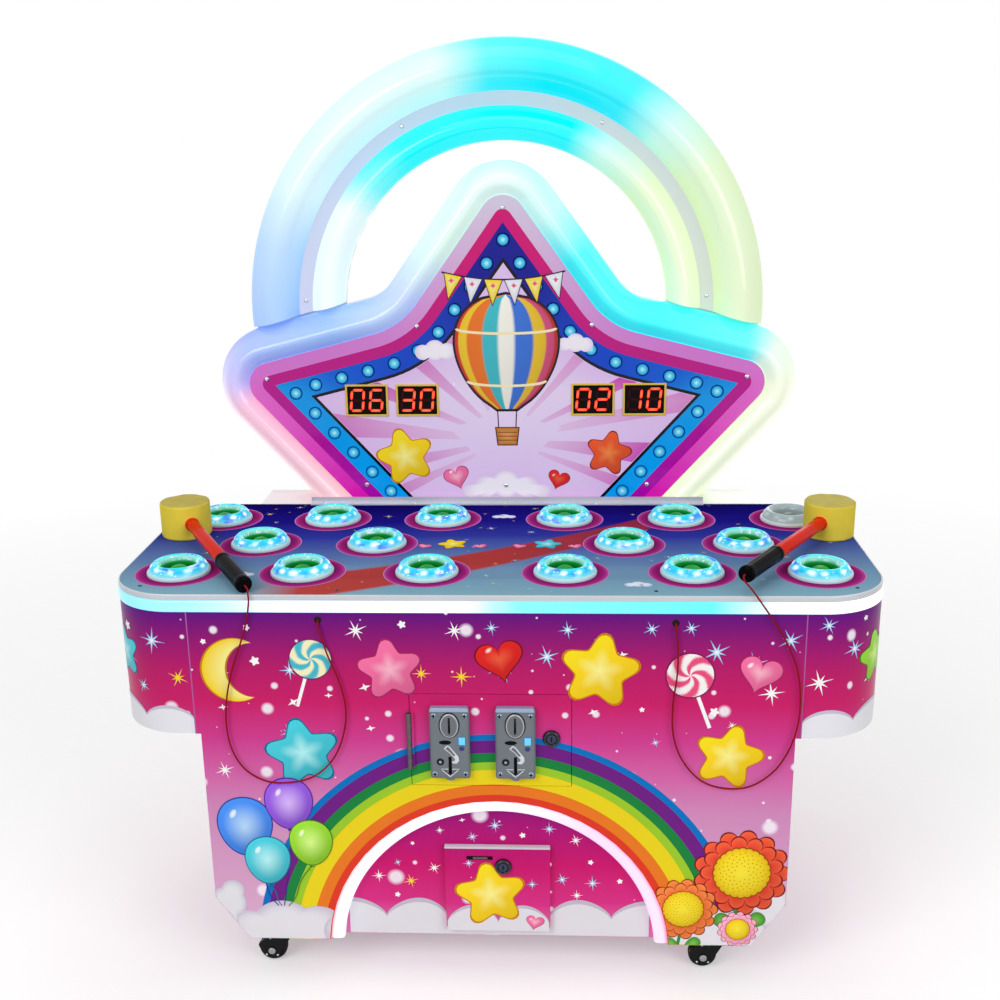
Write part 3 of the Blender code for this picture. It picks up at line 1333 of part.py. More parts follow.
def build_doors():
    """Coin door, arch recess and cash door with what they carry."""
    hinge_x, hinge_y = coin_hinge()
    door = pivot(coin_door(), (hinge_x, hinge_y, COIN_DOOR_BOTTOM))
    for index, side in enumerate(("left", "right")):
        x = acceptor_x(index)
        pivot(coin_acceptor(f"coin_acceptor_{side}", x), (x, FRONT_Y, ACCEPTOR_BOTTOM), door)
        pivot(return_button(f"return_button_{side}", x), (x, FRONT_Y, BEZEL_Z), door)
    cam_y = FRONT_Y + PANEL_THICKNESS + CAM_GAP
    lock = cam_lock("coin_door_lock", COIN_LOCK_X, COIN_LOCK_Z, FRONT_Y, cam_y, True)
    pivot(lock, (COIN_LOCK_X, FRONT_Y, COIN_LOCK_Z), door)
    recess_panel()
    arch_light()
    hinge_y, hinge_z = cash_hinge()
    door = pivot(cash_door(), (0, hinge_y, hinge_z))
    face = RECESS_Y - GAP - CASH_DOOR_THICKNESS
    lock = cam_lock("cash_door_lock", CASH_LOCK_X, CASH_LOCK_Z, face, RECESS_Y + RECESS_THICKNESS + CAM_GAP, False)
    pivot(lock, (CASH_LOCK_X, face, CASH_LOCK_Z), door)
    cash_box()


def build_sign():
    """Star, arch, displays and what holds them up."""
    star_housing()
    star_face()
    star_ledge()
    score_display("score_display_left", -1)
    score_display("score_display_right", 1)
    arch_housing()
    header_board()
    header_posts()


def build_rear():
    """Service panel, inlet and control unit."""
    service_panel()
    power_inlet()
    control_unit()


def build_loose_pieces():
    """Mallets, tether cords and casters."""
    for side, word, route in ((-1, "left", LEFT_CORD_ROUTE), (1, "right", RIGHT_CORD_ROUTE)):
        centre, _ = mallet_frame(side)
        head = pivot(mallet_head(f"mallet_head_{word}", side), centre)
        pivot(mallet_handle(f"mallet_handle_{word}", side), centre, head)
        tether_cord(f"tether_cord_{word}", side, route)
    words = ("front_left", "front_right", "rear_left", "rear_right")
    for word, (x, y) in zip(words, caster_places()):
        fork = pivot(caster_fork(f"caster_fork_{word}", x, y), (x, y, BASE_Z))
        pivot(caster_wheel(f"caster_wheel_{word}", x, y), (x - CASTER_TRAIL, y, WHEEL_RADIUS), fork)


def clear_scene():
    """Start from an empty scene."""
    for old in list(bpy.data.objects):
        bpy.data.objects.remove(old)


clear_scene()
build_cabinet()
build_doors()
build_sign()
build_rear()
build_loose_pieces()
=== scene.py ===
"""Looks of a mallet arcade cabinet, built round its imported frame.

Metres, +Z up, the player stands at -Y.  Surfaces are grids of points worked out with
numpy; prints are one shader for the panels and flat painted shapes laid on them.
"""

import logging
import math
from dataclasses import dataclass, field
from enum import Enum
from typing import Callable, Iterable, Optional, Sequence

import bmesh
import bpy
import numpy as np
from mathutils import Matrix, Vector


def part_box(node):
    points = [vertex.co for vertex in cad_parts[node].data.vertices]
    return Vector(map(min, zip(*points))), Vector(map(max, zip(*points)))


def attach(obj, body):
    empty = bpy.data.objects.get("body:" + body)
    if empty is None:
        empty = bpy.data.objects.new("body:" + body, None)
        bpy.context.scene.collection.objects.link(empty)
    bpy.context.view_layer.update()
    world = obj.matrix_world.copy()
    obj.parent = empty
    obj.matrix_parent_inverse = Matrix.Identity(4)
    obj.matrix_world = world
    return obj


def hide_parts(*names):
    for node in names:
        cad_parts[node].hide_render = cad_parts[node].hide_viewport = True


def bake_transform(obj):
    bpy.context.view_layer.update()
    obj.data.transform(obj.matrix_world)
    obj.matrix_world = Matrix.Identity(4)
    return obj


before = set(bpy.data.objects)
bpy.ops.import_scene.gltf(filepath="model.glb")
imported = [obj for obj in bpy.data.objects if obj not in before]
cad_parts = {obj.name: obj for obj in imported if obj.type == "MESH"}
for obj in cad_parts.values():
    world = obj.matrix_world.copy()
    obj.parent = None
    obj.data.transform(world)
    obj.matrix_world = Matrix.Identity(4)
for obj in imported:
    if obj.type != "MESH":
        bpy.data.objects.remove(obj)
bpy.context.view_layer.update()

Array = np.ndarray
Colour = tuple[float, float, float]
Tones = tuple[Colour, Colour, Colour]
Object = bpy.types.Object
Material = bpy.types.Material

logging.basicConfig(level=logging.INFO, format="%(message)s")
LOG = logging.getLogger("arcade")

# Faces and levels read from the frame
FRONT_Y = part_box("front_panel")[0].y
BODY_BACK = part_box("cabinet_body")[1].y
DECK_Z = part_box("deck_trim")[1].z
BAND_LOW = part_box("light_band")[0].z
BASE_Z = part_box("front_panel")[0].z
WING_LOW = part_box("left_wing")[0].z
RECESS_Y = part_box("recess_panel")[0].y
RECESS_CENTRE_Z = BASE_Z - 0.020
SIGN_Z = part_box("star_housing")[0].z
SIGN_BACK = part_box("star_housing")[1].y
HALF_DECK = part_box("deck_trim")[1].x
FACE_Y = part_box("star_face")[0].y

HAIR = 0.0003  # clearance between pieces that stand against each other
CASH_FRONT = RECESS_Y - HAIR - 0.0095  # outside of the cash door
RAINBOW_Z = 0.058  # height of the rainbow's centre
RECESS_RADIUS = 0.295  # radius of the arch in the front
DECK_DEPTH = 0.516  # from the front panel to the deck's back
FRONT_CORNER, BACK_CORNER = 0.112, 0.120  # radii of the deck's corners
FRONT_SIDE, REAR_SIDE, UPWARDS, DOWNWARDS = (0, -1, 0), (0, 1, 0), (0, 0, 1), (0, 0, -1)


# Small geometry tools

def rgb(*levels: int) -> Colour:
    """Linear colour from the 0 to 255 values of a display.

    Args:
        levels: Red, green and blue.

    Returns:
        The colour.
    """
    values = np.array(levels) / 255.0
    linear = np.where(values <= 0.04045, values / 12.92, ((values + 0.055) / 1.055) ** 2.4)
    return tuple(float(v) for v in linear)


def smoothstep(low: float, high: float, value: Array) -> Array:
    """Rise from 0 to 1 between two limits, as 3t^2 - 2t^3."""
    share = np.clip((value - low) / (high - low), 0.0, 1.0)
    return share * share * (3.0 - 2.0 * share)


def ramp(stops: Sequence[tuple[float, Colour]], value: Array) -> Array:
    """Colours between stops, straight from one to the next, as an (n, 3) array.

    Args:
        stops: Pairs of position and colour, in rising order.
        value: Positions to read.

    Returns:
        One colour for each position.
    """
    places = np.array([stop[0] for stop in stops])
    colours = np.array([stop[1] for stop in stops])
    return np.stack([np.interp(value, places, colours[:, k]) for k in range(3)], axis=-1)


def run_length(path: Array) -> Array:
    """Length of a path so far, at each of its points."""
    return np.concatenate([[0], np.cumsum(np.linalg.norm(np.diff(path, axis=0), axis=1))])


def read_path(spots: Array, path: Array) -> Array:
    """Points of a flat path at given lengths along it."""
    return np.stack([np.interp(spots, run_length(path), path[:, k]) for k in range(2)], axis=1)


def left_of(path: Array) -> Array:
    """Unit vectors to the left of a flat path, square to it.

    Args:
        path: Points as (n, 2).

    Returns:
        One vector for each point.
    """
    ahead = np.gradient(path, axis=0)
    side = np.stack([-ahead[:, 1], ahead[:, 0]], axis=1)
    return side / np.linalg.norm(side, axis=1, keepdims=True)


def clean(mesh: bpy.types.Mesh) -> None:
    """Merge doubled points and turn the faces outwards.

    Args:
        mesh: The mesh, changed in place.
    """
    bm = bmesh.new()
    bm.from_mesh(mesh)
    bmesh.ops.remove_doubles(bm, verts=bm.verts, dist=1e-6)
    bmesh.ops.recalc_face_normals(bm, faces=bm.faces)
    bm.to_mesh(mesh)
    bm.free()


def shade(mesh: bpy.types.Mesh, degrees: float) -> None:
    """Shade smooth, with edges over an angle kept hard."""
    mesh.shade_smooth()
    mesh.set_sharp_from_angle(angle=math.radians(degrees))


def add_object(name: str, data: bpy.types.ID) -> Object:
    """Put a new object into the scene.

    Args:
        name: Its name.
        data: Its mesh, curve, lamp or camera.

    Returns:
        The object.
    """
    made = bpy.data.objects.new(name, data)
    bpy.context.scene.collection.objects.link(made)
    return made


def curve_mesh(name: str, loops: Sequence[Array], closed: bool, **settings: object) -> bpy.types.Mesh:
    """Mesh of a curve with straight runs.

    Args:
        name: Name of the curve.
        loops: Points of each run, as (n, 3).
        closed: Whether the runs meet themselves.
        settings: Properties of the curve.

    Returns:
        The mesh, without a material.
    """
    curve = bpy.data.curves.new(name, "CURVE")
    for key, value in settings.items():
        setattr(curve, key, value)
    for loop in loops:
        line = curve.splines.new("POLY")
        line.points.add(len(loop) - 1)
        line.points.foreach_set("co", np.hstack([loop, np.ones((len(loop), 1))]).astype(np.float32).ravel())
        line.use_cyclic_u = closed
    holder = add_object(name, curve)
    bpy.context.view_layer.update()
    mesh = bpy.data.meshes.new_from_object(holder.evaluated_get(bpy.context.evaluated_depsgraph_get()))
    bpy.data.objects.remove(holder)
    mesh.materials.clear()
    return mesh


class Shell:
    """Gathers grids of points and flat fans into one mesh with a colour at each point."""

    def __init__(self) -> None:
        """Start empty."""
        self.points: list[Array] = []
        self.colours: list[Array] = []
        self.faces: list[tuple[int, ...]] = []
        self.count = 0

    def add(self, points: Array, colours: Optional[Array] = None) -> Array:
        """Add loose points.

        Args:
            points: Any array whose last axis is x, y, z.
            colours: One colour, or one for each point.

        Returns:
            The points' numbers, in the shape of the array.
        """
        flat = points.reshape(-1, 3)
        tint = np.ones((1, 3)) if colours is None else np.asarray(colours, float).reshape(-1, 3)
        numbers = np.arange(self.count, self.count + len(flat)).reshape(points.shape[:-1])
        self.points.append(flat)
        self.colours.append(np.broadcast_to(tint, (len(flat), 3)))
        self.count += len(flat)
        return numbers

    def grid(self, points: Array, colours: Optional[Array] = None,
             wrap: tuple[bool, bool] = (False, False)) -> Array:
        """Add a surface through an (m, n, 3) array of points.

        Args:
            points: Rows of points.
            colours: One colour, or one for each point.
            wrap: Whether the last row meets the first, and the last column the first.

        Returns:
            The points' numbers as an (m, n) array.
        """
        numbers = self.add(points, colours)
        rows, columns = numbers.shape
        i = np.arange(rows if wrap[0] else rows - 1)[:, None]
        j = np.arange(columns if wrap[1] else columns - 1)[None, :]
        a, b = numbers[i, j], numbers[i, (j + 1) % columns]
        c, d = numbers[(i + 1) % rows, (j + 1) % columns], numbers[(i + 1) % rows, j]
        self.faces += [tuple(face) for face in np.stack([a, b, c, d], axis=-1).reshape(-1, 4).tolist()]
        return numbers

    def sweep(self, points: Array, colours: Optional[Array] = None) -> None:
        """Add a closed section carried along a path, with a face at each end.

        Args:
            points: One row along the path for each point of the section.
            colours: One colour, or one for each point.
        """
        numbers = self.grid(points, colours, wrap=(True, False))
        self.face(numbers[:, 0])
        self.face(numbers[:, -1][::-1])

    def face(self, numbers: Iterable[int]) -> None:
        """Close a flat loop of points."""
        self.faces.append(tuple(int(k) for k in numbers))

    def pole(self, point: Array, row: Array, colour: Optional[Array] = None) -> None:
        """Close a row of points towards one point.

        Args:
            point: Where the triangles meet.
            row: Numbers of a closed row.
            colour: Colour at the pole.
        """
        centre = int(self.add(np.asarray(point, float)[None, :], colour)[0])
        self.faces += [(centre, int(a), int(b)) for a, b in zip(row, np.roll(row, -1))]

    def mesh(self, name: str) -> bpy.types.Mesh:
        """The mesh as gathered, without a material.

        Args:
            name: The mesh's name.

        Returns:
            The mesh, with the colours in its attribute tint.
        """
        mesh = bpy.data.meshes.new(name)
        mesh.from_pydata(np.concatenate(self.points).tolist(), [], self.faces)
        tint = mesh.color_attributes.new("tint", "FLOAT_COLOR", "POINT")
        colours = np.hstack([np.concatenate(self.colours), np.ones((self.count, 1))])
        tint.data.foreach_set("color", colours.astype(np.float32).ravel())
        return mesh

    def build(self, name: str, finish: "Finish", body: str, sharp: float = 40.0,
              flat: bool = False) -> Object:
        """Make the object and let it ride.

        Args:
            name: The piece's name.
            finish: Its finish.
            body: The CAD body that it rides on.
            sharp: Angle over which an edge stays hard.
            flat: Whether it is print, whose faces all lie as they were laid.

        Returns:
            The piece.
        """
        mesh = self.mesh(name)
        if not flat:
            clean(mesh)
        mesh.materials.append(finish.material())
        if not flat:
            shade(mesh, sharp)
        piece = add_object(name, mesh)
        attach(piece, body)
        return piece


def turned(shell: Shell, profile: Array, centre: Sequence[float], axis: Sequence[float], steps: int,
           colours: Optional[Array] = None, poles: Sequence[tuple[int, float]] = ()) -> None:
    """Turn a profile about an axis: point = centre + r (u cos a + v sin a) + h axis.

    Args:
        shell: The mesh that takes it.
        profile: Rows of (radius, height along the axis).
        centre: A point on the axis.
        axis: The axis.
        steps: Points round a turn.
        colours: One colour, or one for each profile point and step.
        poles: (row, height) of each end that is closed towards the axis, in order.
    """
    n = np.asarray(axis, float)
    n = n / np.linalg.norm(n)
    helper = np.array((0.0, 0.0, 1.0)) if abs(n[2]) < 0.9 else np.array((1.0, 0.0, 0.0))
    u = np.cross(helper, n)
    u /= np.linalg.norm(u)
    v = np.cross(n, u)
    turn = np.arange(steps) / steps * math.tau
    ring = np.cos(turn)[:, None] * u + np.sin(turn)[:, None] * v
    rows = np.asarray(profile, float)
    foot = np.asarray(centre, float)
    numbers = shell.grid(foot + rows[:, 0, None, None] * ring[None] + rows[:, 1, None, None] * n, colours,
                         wrap=(False, True))
    for row, height in poles:
        shell.pole(foot + n * height, numbers[row])


def rounded_profile(corners: Sequence[tuple[float, float, float]], steps: int = 5) -> Array:
    """An open profile whose inner corners are rounded by quadratic arcs.

    Args:
        corners: (a, b, radius) for each corner.
        steps: Points on each arc.

    Returns:
        The profile as an (n, 2) array.
    """
    points = np.array([corner[:2] for corner in corners], float)
    out = [points[0]]
    for k in range(1, len(points) - 1):
        radius = corners[k][2]
        if radius <= 0:
            out.append(points[k])
            continue
        back, ahead = points[k - 1] - points[k], points[k + 1] - points[k]
        reach_back = min(radius, np.linalg.norm(back) * 0.49)
        reach_ahead = min(radius, np.linalg.norm(ahead) * 0.49)
        first = points[k] + back / np.linalg.norm(back) * reach_back
        last = points[k] + ahead / np.linalg.norm(ahead) * reach_ahead
        t = np.linspace(0.0, 1.0, steps)[:, None]
        out += list((1 - t) ** 2 * first + 2 * t * (1 - t) * points[k] + t ** 2 * last)
    out.append(points[-1])
    return np.array(out)


@dataclass(frozen=True)
class Corner:
    """A corner of an outline: place, radius and how many steps its arc has."""

    x: float
    y: float
    radius: float = 0.0
    steps: int = 1


@dataclass
class Outline:
    """A closed outline of straight runs and round corners, which can be moved in.

    The last run can be held still, as the foot line of the star is.
    """

    corners: list[Corner]
    run_steps: int = 12
    hold_last: bool = False

    def points(self, distance: float = 0.0) -> Array:
        """The outline moved in by a distance, with the same number of points each time.

        Each side is moved square to itself and met with its neighbours; an arc's radius
        loses the distance at an outer corner and gains it at an inner one.

        Args:
            distance: How far to move in; negative moves out.

        Returns:
            An (n, 2) array, anticlockwise.
        """
        base = np.array([(c.x, c.y) for c in self.corners])
        count = len(base)
        ahead = np.roll(base, -1, axis=0) - base
        ahead /= np.linalg.norm(ahead, axis=1, keepdims=True)
        moved = np.full(count, distance)
        if self.hold_last:
            moved[-1] = 0.0
        normal = np.stack([-ahead[:, 1], ahead[:, 0]], axis=1)
        start = base + normal * moved[:, None]
        before, before_start = np.roll(ahead, 1, axis=0), np.roll(start, 1, axis=0)
        cross = before[:, 0] * ahead[:, 1] - before[:, 1] * ahead[:, 0]
        gap = start - before_start
        share = (gap[:, 0] * ahead[:, 1] - gap[:, 1] * ahead[:, 0]) / cross
        met = before_start + before * share[:, None]
        arcs = []
        for k, corner in enumerate(self.corners):
            if corner.radius == 0:
                arcs.append(met[k][None, :])
                continue
            radius = corner.radius - distance if cross[k] > 0 else corner.radius + distance
            arcs.append(self._arc(met[k], before[k], ahead[k], max(radius, 1e-5), cross[k] > 0, corner.steps))
        out = []
        for k, arc in enumerate(arcs):
            out.append(arc)
            run = np.linspace(0.0, 1.0, self.run_steps + 1)[1:-1, None]
            out.append(arc[-1] + (arcs[(k + 1) % count][0] - arc[-1]) * run)
        return np.concatenate(out)

    @staticmethod
    def _arc(corner: Array, before: Array, ahead: Array, radius: float, outer: bool, steps: int) -> Array:
        """Arc of a radius that touches the runs before and after a corner.

        Args:
            corner: Where the runs meet.
            before: Direction of the run before it.
            ahead: Direction of the run after it.
            radius: The arc's radius.
            outer: Whether the outline turns left there.
            steps: Steps on the arc.

        Returns:
            The arc's points.
        """
        turn = math.acos(float(np.clip(before @ ahead, -1, 1)))
        reach = radius * math.tan(turn / 2)
        normal = np.array((-before[1], before[0])) * (1.0 if outer else -1.0)
        centre = corner - before * reach + normal * radius
        angle = np.linspace(0.0, turn, steps + 1)
        return centre - normal * radius * np.cos(angle)[:, None] + before * radius * np.sin(angle)[:, None]


def in_xz(flat: Array, depth: float) -> Array:
    """Put flat points (x, z) at a depth."""
    return np.stack([flat[..., 0], np.full(flat.shape[:-1], depth), flat[..., 1]], axis=-1)


def in_xy(flat: Array, height: float) -> Array:
    """Put flat points (x, y) at a height."""
    return np.stack([flat[..., 0], flat[..., 1], np.full(flat.shape[:-1], height)], axis=-1)


def arc_rows(section: Array, start: Array, share: Array, height: float) -> Array:
    """Carry a section round an upright arc: x = r cos a, z = height + r sin a, a = start to pi - start.

    Args:
        section: Rows of (radius, y).
        start: Angle at which each radius begins.
        share: Places along the arc, from 0 to 1.
        height: Height of the arc's centre.

    Returns:
        One row along the arc for each point of the section.
    """
    radius = section[:, :1]
    turn = start[:, None] + (math.pi - 2 * start[:, None]) * share[None, :]
    return np.stack([radius * np.cos(turn), np.broadcast_to(section[:, 1:2], turn.shape),
                     height + radius * np.sin(turn)], axis=-1)


def plate(name: str, outline: Array, span: tuple[float, float], bevel: float, finish: "Finish", body: str,
          holes: Sequence[Array] = (), upright: bool = True) -> Object:
    """A flat plate with holes and rounded edges, filled from its outlines.

    Args:
        name: The piece's name.
        outline: The outer loop, (x, z) if upright and (x, y) if not.
        span: Nearer and farther face, as y if upright and as z if not.
        bevel: Radius of the rounded edges.
        finish: Its finish.
        body: The CAD body that it rides on.
        holes: Inner loops.
        upright: Whether the plate stands across Y.

    Returns:
        The piece.
    """
    low, high = span
    mesh = curve_mesh(name + "_outline",
                      [np.hstack([loop, np.zeros((len(loop), 1))]) for loop in (outline, *holes)], True,
                      dimensions="2D", fill_mode="BOTH", extrude=(high - low) / 2 - bevel, bevel_depth=bevel,
                      bevel_resolution=2, offset=-bevel)
    middle = (low + high) / 2
    place = Matrix.Translation((0, 0, middle))
    if upright:
        place = Matrix.Translation((0, middle, 0)) @ Matrix.Rotation(math.pi / 2, 4, "X")
    mesh.transform(place)
    clean(mesh)
    mesh.name = name
    mesh.materials.append(finish.material())
    shade(mesh, 50.0)
    piece = add_object(name, mesh)
    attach(piece, body)
    return piece


def box_loop(left: float, low: float, right: float, high: float) -> Array:
    """Corners of a box, anticlockwise."""
    return np.array([(left, low), (right, low), (right, high), (left, high)])


def circle(centre: Sequence[float], radius: float, steps: int = 48) -> Array:
    """Points round a circle."""
    turn = np.arange(steps) / steps * math.tau
    return np.stack([centre[0] + radius * np.cos(turn), centre[1] + radius * np.sin(turn)], axis=1)


def hand(side: float) -> str:
    """Name of a side of the cabinet."""
    return "right" if side > 0 else "left"


# Shader tools

class Nodes:
    """Short way to lay out a node tree."""

    def __init__(self, tree: bpy.types.NodeTree) -> None:
        """Keep the tree."""
        self.tree = tree

    def new(self, kind: str, **settings: object) -> bpy.types.Node:
        """Add a node with some of its properties set."""
        node = self.tree.nodes.new(kind)
        for key, value in settings.items():
            setattr(node, key, value)
        return node

    def link(self, source: bpy.types.NodeSocket, target: bpy.types.NodeSocket) -> None:
        """Join an output to an input."""
        self.tree.links.new(source, target)

    def feed(self, socket: bpy.types.NodeSocket, value: object) -> None:
        """Set or join an input."""
        if isinstance(value, bpy.types.NodeSocket):
            self.link(value, socket)
        elif value is not None:
            socket.default_value = value

    def math(self, operation: str, first: object, second: object = None, third: object = None,
             clamp: bool = False) -> bpy.types.NodeSocket:
        """A Math node's result.

        Args:
            operation: What it does.
            first: First number or socket.
            second: Second one.
            third: Third one.
            clamp: Whether the result stays between 0 and 1.

        Returns:
            The result's socket.
        """
        node = self.new("ShaderNodeMath", operation=operation, use_clamp=clamp)
        for socket, value in zip(node.inputs, (first, second, third)):
            self.feed(socket, value)
        return node.outputs[0]

    def rise(self, value: object, start: object, rate: float) -> bpy.types.NodeSocket:
        """Rise from 0 at a start to 1: (value - start) rate, kept between the two."""
        return self.math("MULTIPLY", self.math("SUBTRACT", value, start), rate, clamp=True)

    def mix(self, share: object, first: object, second: object, blend: str = "MIX") -> bpy.types.NodeSocket:
        """A colour mixed from two.

        Args:
            share: How much of the second one.
            first: First colour or socket.
            second: Second one.
            blend: How they mix.

        Returns:
            The result's socket.
        """
        node = self.new("ShaderNodeMix", data_type="RGBA", blend_type=blend)
        self.feed(node.inputs[0], share)
        for socket, value in ((node.inputs[6], first), (node.inputs[7], second)):
            self.feed(socket, (*value, 1.0) if isinstance(value, tuple) and len(value) == 3 else value)
        return node.outputs[2]

    def ramp(self, value: object, stops: Sequence[tuple[float, Colour]],
             mode: str = "LINEAR") -> bpy.types.NodeSocket:
        """A colour ramp's result.

        Args:
            value: Number or socket to read at.
            stops: Pairs of position and colour.
            mode: How it runs between them.

        Returns:
            The colour's socket.
        """
        node = self.new("ShaderNodeValToRGB")
        node.color_ramp.interpolation = mode
        elements = node.color_ramp.elements
        while len(elements) < len(stops):
            elements.new(1.0)
        for element, (place, _) in zip(elements, stops):
            element.position = place
        for element, (_, colour) in zip(elements, stops):
            element.color = (*colour, 1.0)
        self.feed(node.inputs[0], value)
        return node.outputs[0]

    def noise(self, scale: float, detail: float = 3.0, vector: object = None) -> bpy.types.NodeSocket:
        """A noise value.

        Args:
            scale: How fine it is.
            detail: How many finer layers it has.
            vector: Where it is read.

        Returns:
            The value's socket.
        """
        node = self.new("ShaderNodeTexNoise")
        node.inputs["Scale"].default_value = scale
        node.inputs["Detail"].default_value = detail
        self.feed(node.inputs["Vector"], vector)
        return node.outputs[0]

    def object_point(self) -> bpy.types.NodeSocket:
        """Object coordinates."""
        return self.new("ShaderNodeTexCoord").outputs["Object"]

    def axes(self, output: str = "Object") -> Sequence[bpy.types.NodeSocket]:
        """The x, y and z of a texture coordinate.

        Args:
            output: Which coordinate.

        Returns:
            The three sockets.
        """
        node = self.new("ShaderNodeSeparateXYZ")
        self.link(self.new("ShaderNodeTexCoord").outputs[output], node.inputs[0])
        return node.outputs

    def tint(self) -> bpy.types.NodeSocket:
        """The colour painted on the mesh's points."""
        return self.new("ShaderNodeAttribute", attribute_name="tint").outputs["Color"]


def node_group(name: str, outputs: Sequence[tuple[str, str]], inputs: Sequence[tuple[str, str, object]],
               fill: Callable[[Nodes, bpy.types.Node, bpy.types.Node], None]) -> bpy.types.NodeTree:
    """A shared group of shader nodes, made once.

    Args:
        name: The group's name.
        outputs: (name, socket type) of each output.
        inputs: (name, socket type, default) of each input.
        fill: Lays out the inside, given the tools, the input node and the output node.

    Returns:
        The group.
    """
    found = bpy.data.node_groups.get(name)
    if found:
        return found
    group = bpy.data.node_groups.new(name, "ShaderNodeTree")
    for label, kind, default in inputs:
        socket = group.interface.new_socket(name=label, in_out="INPUT", socket_type=kind)
        socket.default_value = default
    for label, kind in outputs:
        group.interface.new_socket(name=label, in_out="OUTPUT", socket_type=kind)
    nodes = Nodes(group)
    fill(nodes, nodes.new("NodeGroupInput"), nodes.new("NodeGroupOutput"))
    return group


def micro_surface() -> bpy.types.NodeTree:
    """Fine waviness and handling marks: gives a normal and a roughness."""

    def fill(nodes: Nodes, source: bpy.types.Node, target: bpy.types.Node) -> None:
        """Lay out noise, bump and roughness."""
        point = nodes.object_point()
        wave = nodes.noise(60.0, 2.0, point)
        smear = nodes.noise(9.0, 4.0, point)
        bump = nodes.new("ShaderNodeBump")
        bump.inputs["Distance"].default_value = 0.001
        nodes.feed(bump.inputs["Strength"], source.outputs["Wave"])
        nodes.feed(bump.inputs["Height"], wave)
        rough = nodes.math("MULTIPLY_ADD", nodes.math("SUBTRACT", smear, 0.5), source.outputs["Smear"],
                           source.outputs["Roughness"], clamp=True)
        nodes.link(bump.outputs[0], target.inputs["Normal"])
        nodes.link(rough, target.inputs["Roughness"])

    return node_group("micro_surface", [("Normal", "NodeSocketVector"), ("Roughness", "NodeSocketFloat")],
                      [("Wave", "NodeSocketFloat", 0.05), ("Smear", "NodeSocketFloat", 0.1),
                       ("Roughness", "NodeSocketFloat", 0.3)], fill)


COAT_ROUGHNESS = 0.06


@dataclass(frozen=True)
class Finish:
    """A plain finish: colour with slow variation, roughness, metal, coat and glow."""

    name: str
    colour: Colour
    roughness: float = 0.4
    metallic: float = 0.0
    coat: float = 0.0
    wave: float = 0.05
    smear: float = 0.12
    vary: float = 0.06
    glow: float = 0.0
    specular: float = 0.5
    top: Optional[tuple[float, Colour]] = None

    def material(self) -> Material:
        """The Blender material, made once.

        Returns:
            The material.
        """
        made = bpy.data.materials.get(self.name)
        if not made:
            made = bpy.data.materials.new(self.name)
            made.use_nodes = True
            nodes, shader = Nodes(made.node_tree), made.node_tree.nodes["Principled BSDF"]
            self.lay_surface(nodes, shader)
            self.lay_colour(nodes, shader)
        return made

    def lay_surface(self, nodes: Nodes, shader: bpy.types.Node) -> None:
        """Join the shared fine surface to the shader and set its constants.

        Args:
            nodes: Tools on the material's tree.
            shader: Its Principled shader.
        """
        group = nodes.new("ShaderNodeGroup", node_tree=micro_surface())
        for label, value in (("Wave", self.wave), ("Smear", self.smear), ("Roughness", self.roughness)):
            group.inputs[label].default_value = value
        for label in ("Normal", "Roughness"):
            nodes.link(group.outputs[label], shader.inputs[label])
        for label, value in (("Metallic", self.metallic), ("Specular IOR Level", self.specular),
                             ("Coat Weight", self.coat), ("Coat Roughness", COAT_ROUGHNESS),
                             ("Emission Strength", self.glow)):
            shader.inputs[label].default_value = value

    def lay_colour(self, nodes: Nodes, shader: bpy.types.Node) -> None:
        """Colour with slow variation, which also glows if the finish does.

        Args:
            nodes: Tools on the material's tree.
            shader: Its Principled shader.
        """
        slow = self.slow_noise(nodes)
        base = nodes.mix(1.0, self.toned(nodes), slow, "MULTIPLY")
        nodes.link(base, shader.inputs["Base Color"])
        if self.glow:
            nodes.link(base, shader.inputs["Emission Color"])

    def slow_noise(self, nodes: Nodes) -> bpy.types.NodeSocket:
        """Shade about 1 that varies slowly over the piece."""
        return nodes.math("MULTIPLY_ADD", nodes.noise(14.0, 5.0, nodes.object_point()), 2 * self.vary,
                          1.0 - self.vary)

    def toned(self, nodes: Nodes) -> object:
        """The colour, or two colours that meet at the height in top.

        Args:
            nodes: Tools on the material's tree.

        Returns:
            A colour or a socket.
        """
        if self.top is None:
            return self.colour
        return nodes.mix(nodes.rise(nodes.axes()[2], self.top[0], 400.0), self.colour, self.top[1])


@dataclass(frozen=True)
class Painted(Finish):
    """A finish whose colour is painted on the mesh's points."""

    def lay_colour(self, nodes: Nodes, shader: bpy.types.Node) -> None:
        """The points' colour with slow variation; the glow keeps it as painted.

        Args:
            nodes: Tools on the material's tree.
            shader: Its Principled shader.
        """
        tint = nodes.tint()
        slow = self.slow_noise(nodes)
        toned = nodes.mix(1.0, tint, self.colour, "MULTIPLY")
        nodes.link(nodes.mix(1.0, toned, slow, "MULTIPLY"), shader.inputs["Base Color"])
        if self.glow:
            nodes.link(tint, shader.inputs["Emission Color"])


# Painted shapes

# Light, full and dark tone of each colour of the prints
WHITE = rgb(255, 255, 255)
GOLD = (rgb(255, 246, 150), rgb(252, 214, 30), rgb(206, 128, 10))
AQUA = (rgb(190, 250, 250), rgb(70, 200, 215), rgb(20, 110, 150))
ROSE = (rgb(255, 190, 210), rgb(240, 110, 160), rgb(170, 40, 100))
LIME = (rgb(220, 255, 140), rgb(150, 215, 50), rgb(70, 130, 20))
VIOLET = (rgb(225, 190, 255), rgb(150, 90, 225), rgb(80, 30, 150))
SKY = (rgb(190, 225, 255), rgb(70, 140, 240), rgb(20, 60, 160))
SCARLET = (rgb(240, 96, 60), rgb(222, 34, 34), rgb(120, 10, 16))
ORANGE = (rgb(246, 140, 70), rgb(232, 84, 40), rgb(140, 30, 14))


